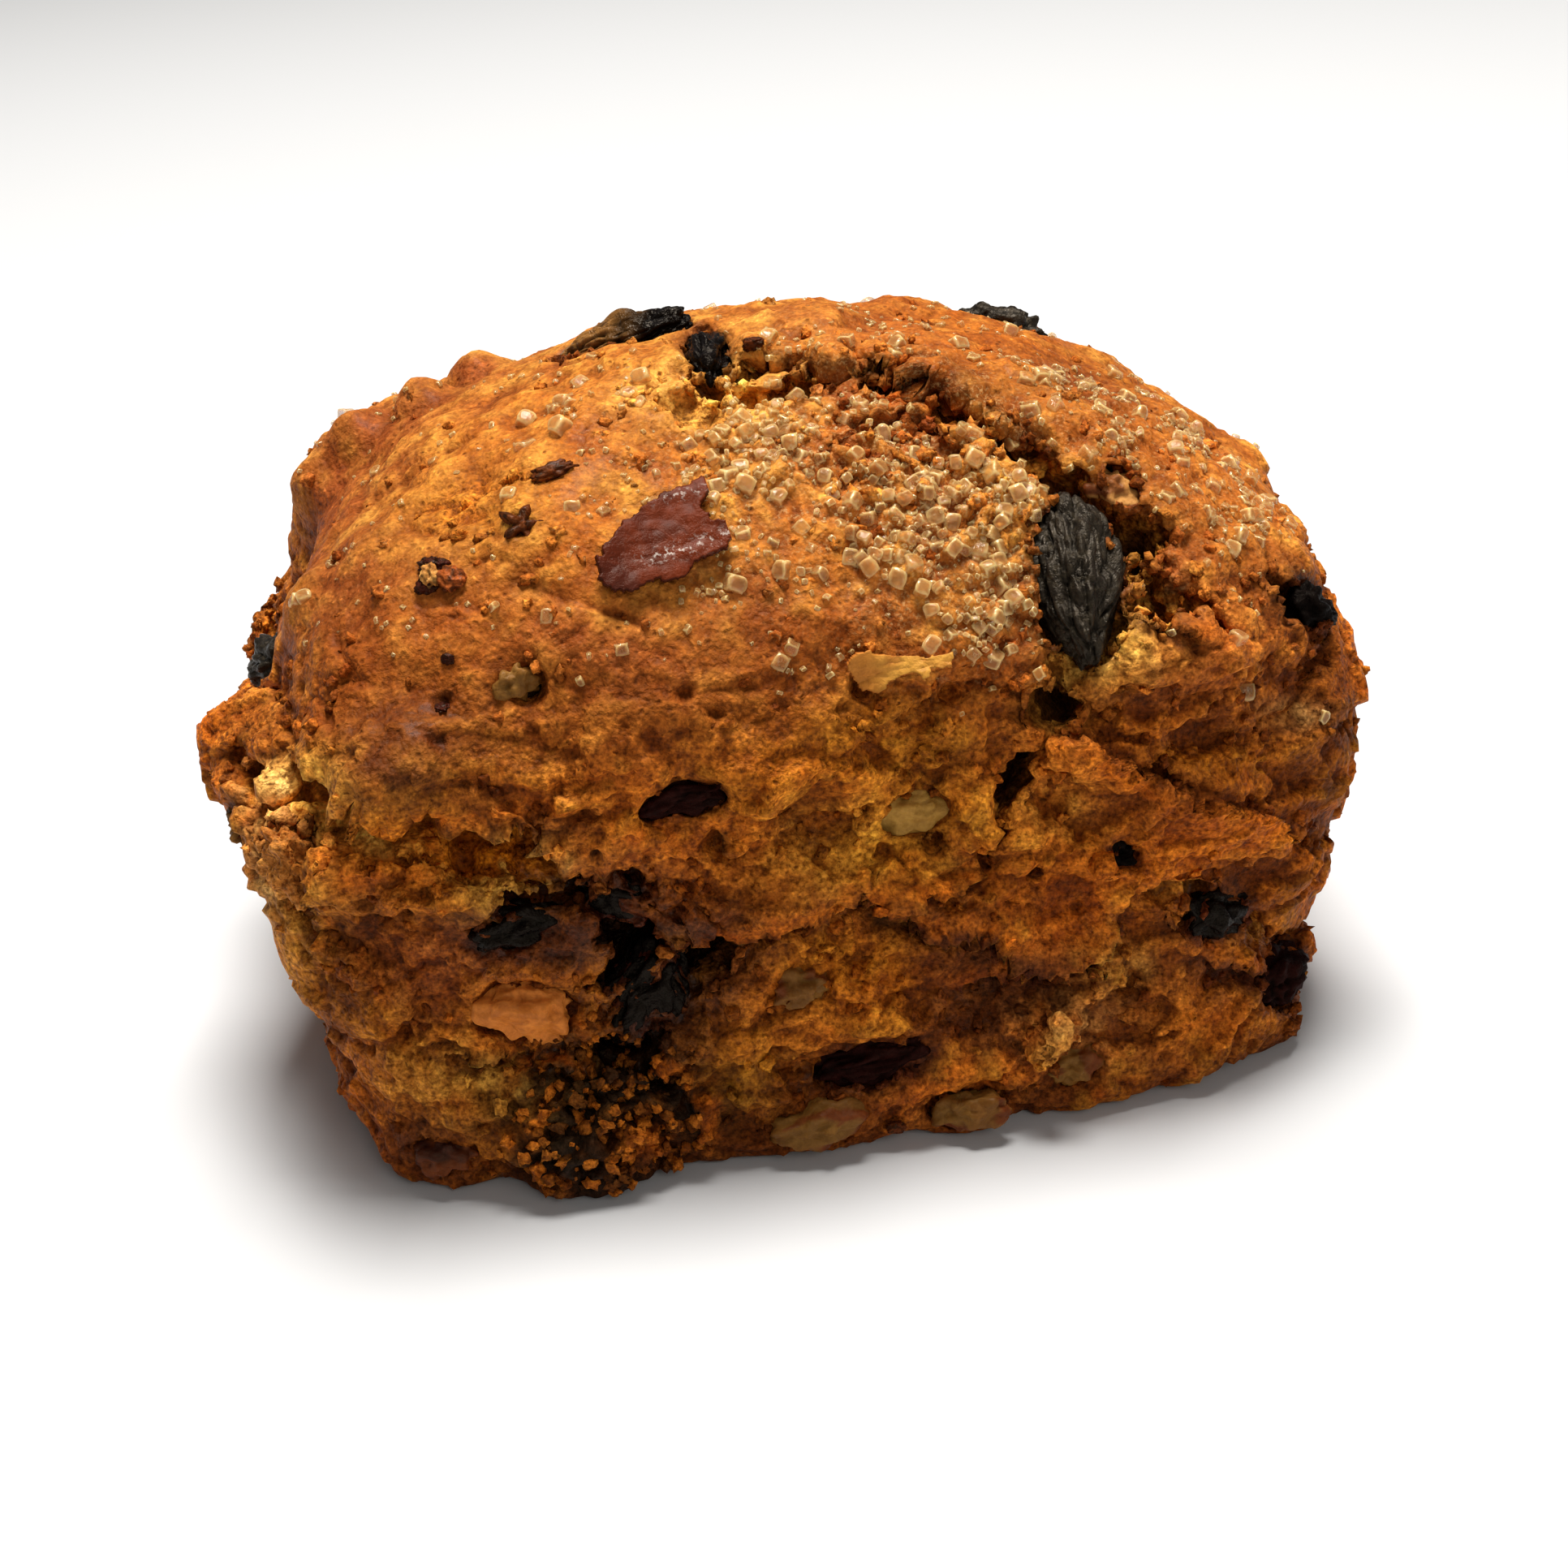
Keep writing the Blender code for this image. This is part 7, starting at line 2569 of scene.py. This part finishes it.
@dataclass
class Crumbs(Scatter):
    """Loose and half-loose crumbs at the torn lips and on the broken spots, or in the sugar."""

    stretch: float = 0.4
    lean: float = 1.2
    rough: float = 0.55
    clumps: bool = False
    at_burnt: float = 1.6
    at_rough: float = 0.55

    def model(self) -> Solid:
        """Make one lumpy crumb.

        Returns:
            The crumb, one millimetre across.
        """
        piece = ball(2)
        ways = unit(read_places(piece))
        push = 0.5 + self.rough * noise_at(ways, 0.6, 3.0)
        write_places(piece, ways * push[:, None])
        return piece

    def wish(self, crust: Crust) -> Array:
        """Say how much each place of the crust is wished for.

        Args:
            crust: The finished body.

        Returns:
            One value for each place.
        """
        places, deep = crust.places, crust.deep
        if self.clumps:
            wish = crust.sugar_wish(places) ** 2 * (deep < 0.8) * (1.0 - crust.shaded) ** 3
            return wish * ease(-0.2, 0.3, noise_at(places, 4.0, 43.0)) * crust.clear_of(0.3)
        lip = ease(0.08, 0.3, deep) * (1.0 - ease(0.9, 2.2, deep)) * (places[:, 2] > 1.0)
        wish = lip * 0.5 + 0.012
        for spot in ROUGH_SPOTS:
            away = spot.away(places, crust.uncut) / spot.reach
            share = self.at_burnt if spot is BURNT else self.at_rough
            wish = wish + share * spot.rise * np.exp(-away * away)
        for topping in TOPPINGS:
            wish = wish + 0.25 * np.exp(-((topping.nearness(places, crust.uncut) - 0.2) / 0.35) ** 2)
        wish[places[:, 2] < 0.8] = 0.0
        return wish

    def build(self, crust: Crust) -> Solid:
        """Strew the crumbs and give each the colour of the crust beside it.

        Args:
            crust: The finished body.

        Returns:
            The crumbs as one piece.
        """
        chosen = self.choose(crust.places, self.wish(crust))
        piece, owners = self.strew(self.model(), crust.places[chosen], crust.normals[chosen])
        chance = np.random.RandomState(self.seed + 2)
        tints = chance.uniform(0.8, 1.45, (len(chosen), 1)) * np.asarray((1.0, 0.97, 0.92))
        burnt = BURNT.away(crust.places[chosen], crust.uncut) / BURNT.reach < 1.2
        own = blend(crust.colours[chosen] * tints, Tone.TORN,
                    burnt * 0.85 * chance.random_sample(len(chosen)) ** 1.3)
        paint(piece, COLOUR, np.clip(own[owners], 0.0, 1.0))
        paint(piece, MARKS, np.tile((0.5 * self.clumps, 0.0, 1.0), (len(owners), 1)))
        round_off(piece)
        return piece


# ------------------------------------------------------------------ the studio
@dataclass(frozen=True)
class Lamp:
    """A soft rectangular light that looks at the scone."""

    name: str
    place: Point
    size: float
    power: float
    colour: Point
    target: Point = (0.0, 0.0, 0.03)

    def build(self) -> None:
        """Hang the light."""
        light = bpy.data.lights.new(self.name, "AREA")
        light.size = self.size
        light.energy = self.power
        light.color = self.colour
        lamp = bpy.data.objects.new(self.name, light)
        bpy.context.scene.collection.objects.link(lamp)
        place = Vector(self.place)
        aim = (Vector(self.target) - place).to_track_quat("-Z", "Y")
        lamp.matrix_world = Matrix.Translation(place) @ aim.to_matrix().to_4x4()


@dataclass(frozen=True)
class Studio:
    """A pale floor and soft light from above."""

    floor_size: float = 6.0
    floor_drop: float = 0.0002
    sky: float = 0.14
    lamps: tuple[Lamp, ...] = (
        Lamp("light_above", (0.04, 0.13, 0.92), 0.36, 14.8, (1.0, 0.985, 0.96)),
        Lamp("light_front", (0.25, -0.80, 0.60), 0.50, 1.7, (1.0, 0.97, 0.93)),
    )

    def build(self) -> None:
        """Lay the floor, hang the lamps and set the sky."""
        bpy.ops.object.select_all(action="DESELECT")
        bpy.ops.mesh.primitive_plane_add(size=self.floor_size, location=(0.0, 0.0, -self.floor_drop))
        floor = bpy.context.object
        floor.name = "studio_floor"
        look = Nodes("studio_floor_look")
        floor.data.materials.append(look.set(Base_Color=(0.62, 0.62, 0.62), Roughness=0.9,
                                             Specular_IOR_Level=0.1))
        world = bpy.data.worlds.new("studio_sky")
        world.use_nodes = True
        backdrop = world.node_tree.nodes["Background"]
        backdrop.inputs["Color"].default_value = (1.0, 1.0, 1.0, 1.0)
        backdrop.inputs["Strength"].default_value = self.sky
        bpy.context.scene.world = world
        for lamp in self.lamps:
            lamp.build()
        bpy.context.scene.view_settings.view_transform = "Standard"


# ------------------------------------------------------------------ putting it together
def settle(piece: Solid, name: str, material: bpy.types.Material, slot: str, *nodes: str) -> None:
    """Turn a piece into metres of the model, dress it and hang it on the scone.

    Args:
        piece: The piece, made in millimetres.
        name: Its name in the finished scene.
        material: Its material.
        slot: Not used.
        nodes: The solids that it stands for.
    """
    low, high = (np.asarray(corner) for corner in CAD_BOX)
    write_places(piece, np.clip(Dough.world(read_places(piece)), low, high))
    piece.name = name
    piece.data.name = name
    piece.data.materials.clear()
    piece.data.materials.append(material)
    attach(piece, ROOT)
    if nodes:
        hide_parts(*nodes)
    LOG.info("%s: %d faces", name, len(piece.data.polygons))


def main() -> None:
    """Build the scone, its toppings, the studio and the camera."""
    logging.basicConfig(level=logging.INFO, format="%(message)s")
    VIEW.build()
    Studio().build()

    crust = Crust()
    body = crust.build()
    baked, walnut, flake, sugar = CrustFinish(), NutFinish(), FlakeFinish(), SugarFinish()
    looks = {skin: SkinFinish(*skin.value) for skin in Skin}
    skins = {skin: look.material() for skin, look in looks.items()}
    crust_material, walnut_material = baked.material(), walnut.material()
    flake_material, sugar_material = flake.material(), sugar.material()

    for raisin in RAISINS:
        settle(raisin.build(crust.uncut), "dressed_" + raisin.name, skins[raisin.skin_look],
               looks[raisin.skin_look].slot, raisin.name)
    for nut in NUTS:
        settle(nut.build(crust.uncut), "dressed_" + nut.name,
               crust_material if nut.porous else walnut_material, walnut.slot, nut.name)
    for chip in CHIPS:
        settle(chip.build(crust.uncut, crust.tree), "dressed_" + chip.name, flake_material,
               walnut.slot if chip.name.startswith("nut") else flake.slot, chip.name)
    settle(join([bit.build(crust) for bit in BITS]), "spice_bits", crust_material, baked.slot)

    for crystals in (
        Crystals("sugar_coarse", 300, 1.60, 0.7, 0.90, 0.58, 11, seen=SEEN_CRYSTALS, focus=2.0),
        Crystals("sugar_fine", 1500, 0.66, 0.26, 0.42, 0.52, 23, cuts=2, paleness=0.8, focus=1.5),
    ):
        settle(crystals.build(crust), crystals.name, sugar_material, sugar.slot)
    for crumbs in (
        Crumbs("crumbs", 2400, 1.15, 0.35, 0.5, 0.42, 37),
        Crumbs("sugar_clumps", 240, 1.3, 0.5, 0.9, 0.70, 41, clumps=True),
    ):
        settle(crumbs.build(crust), crumbs.name, crust_material, baked.slot)
    settle(body, "dressed_scone_body", crust_material, baked.slot, "scone_body")


if __name__ == "__main__":
    main()
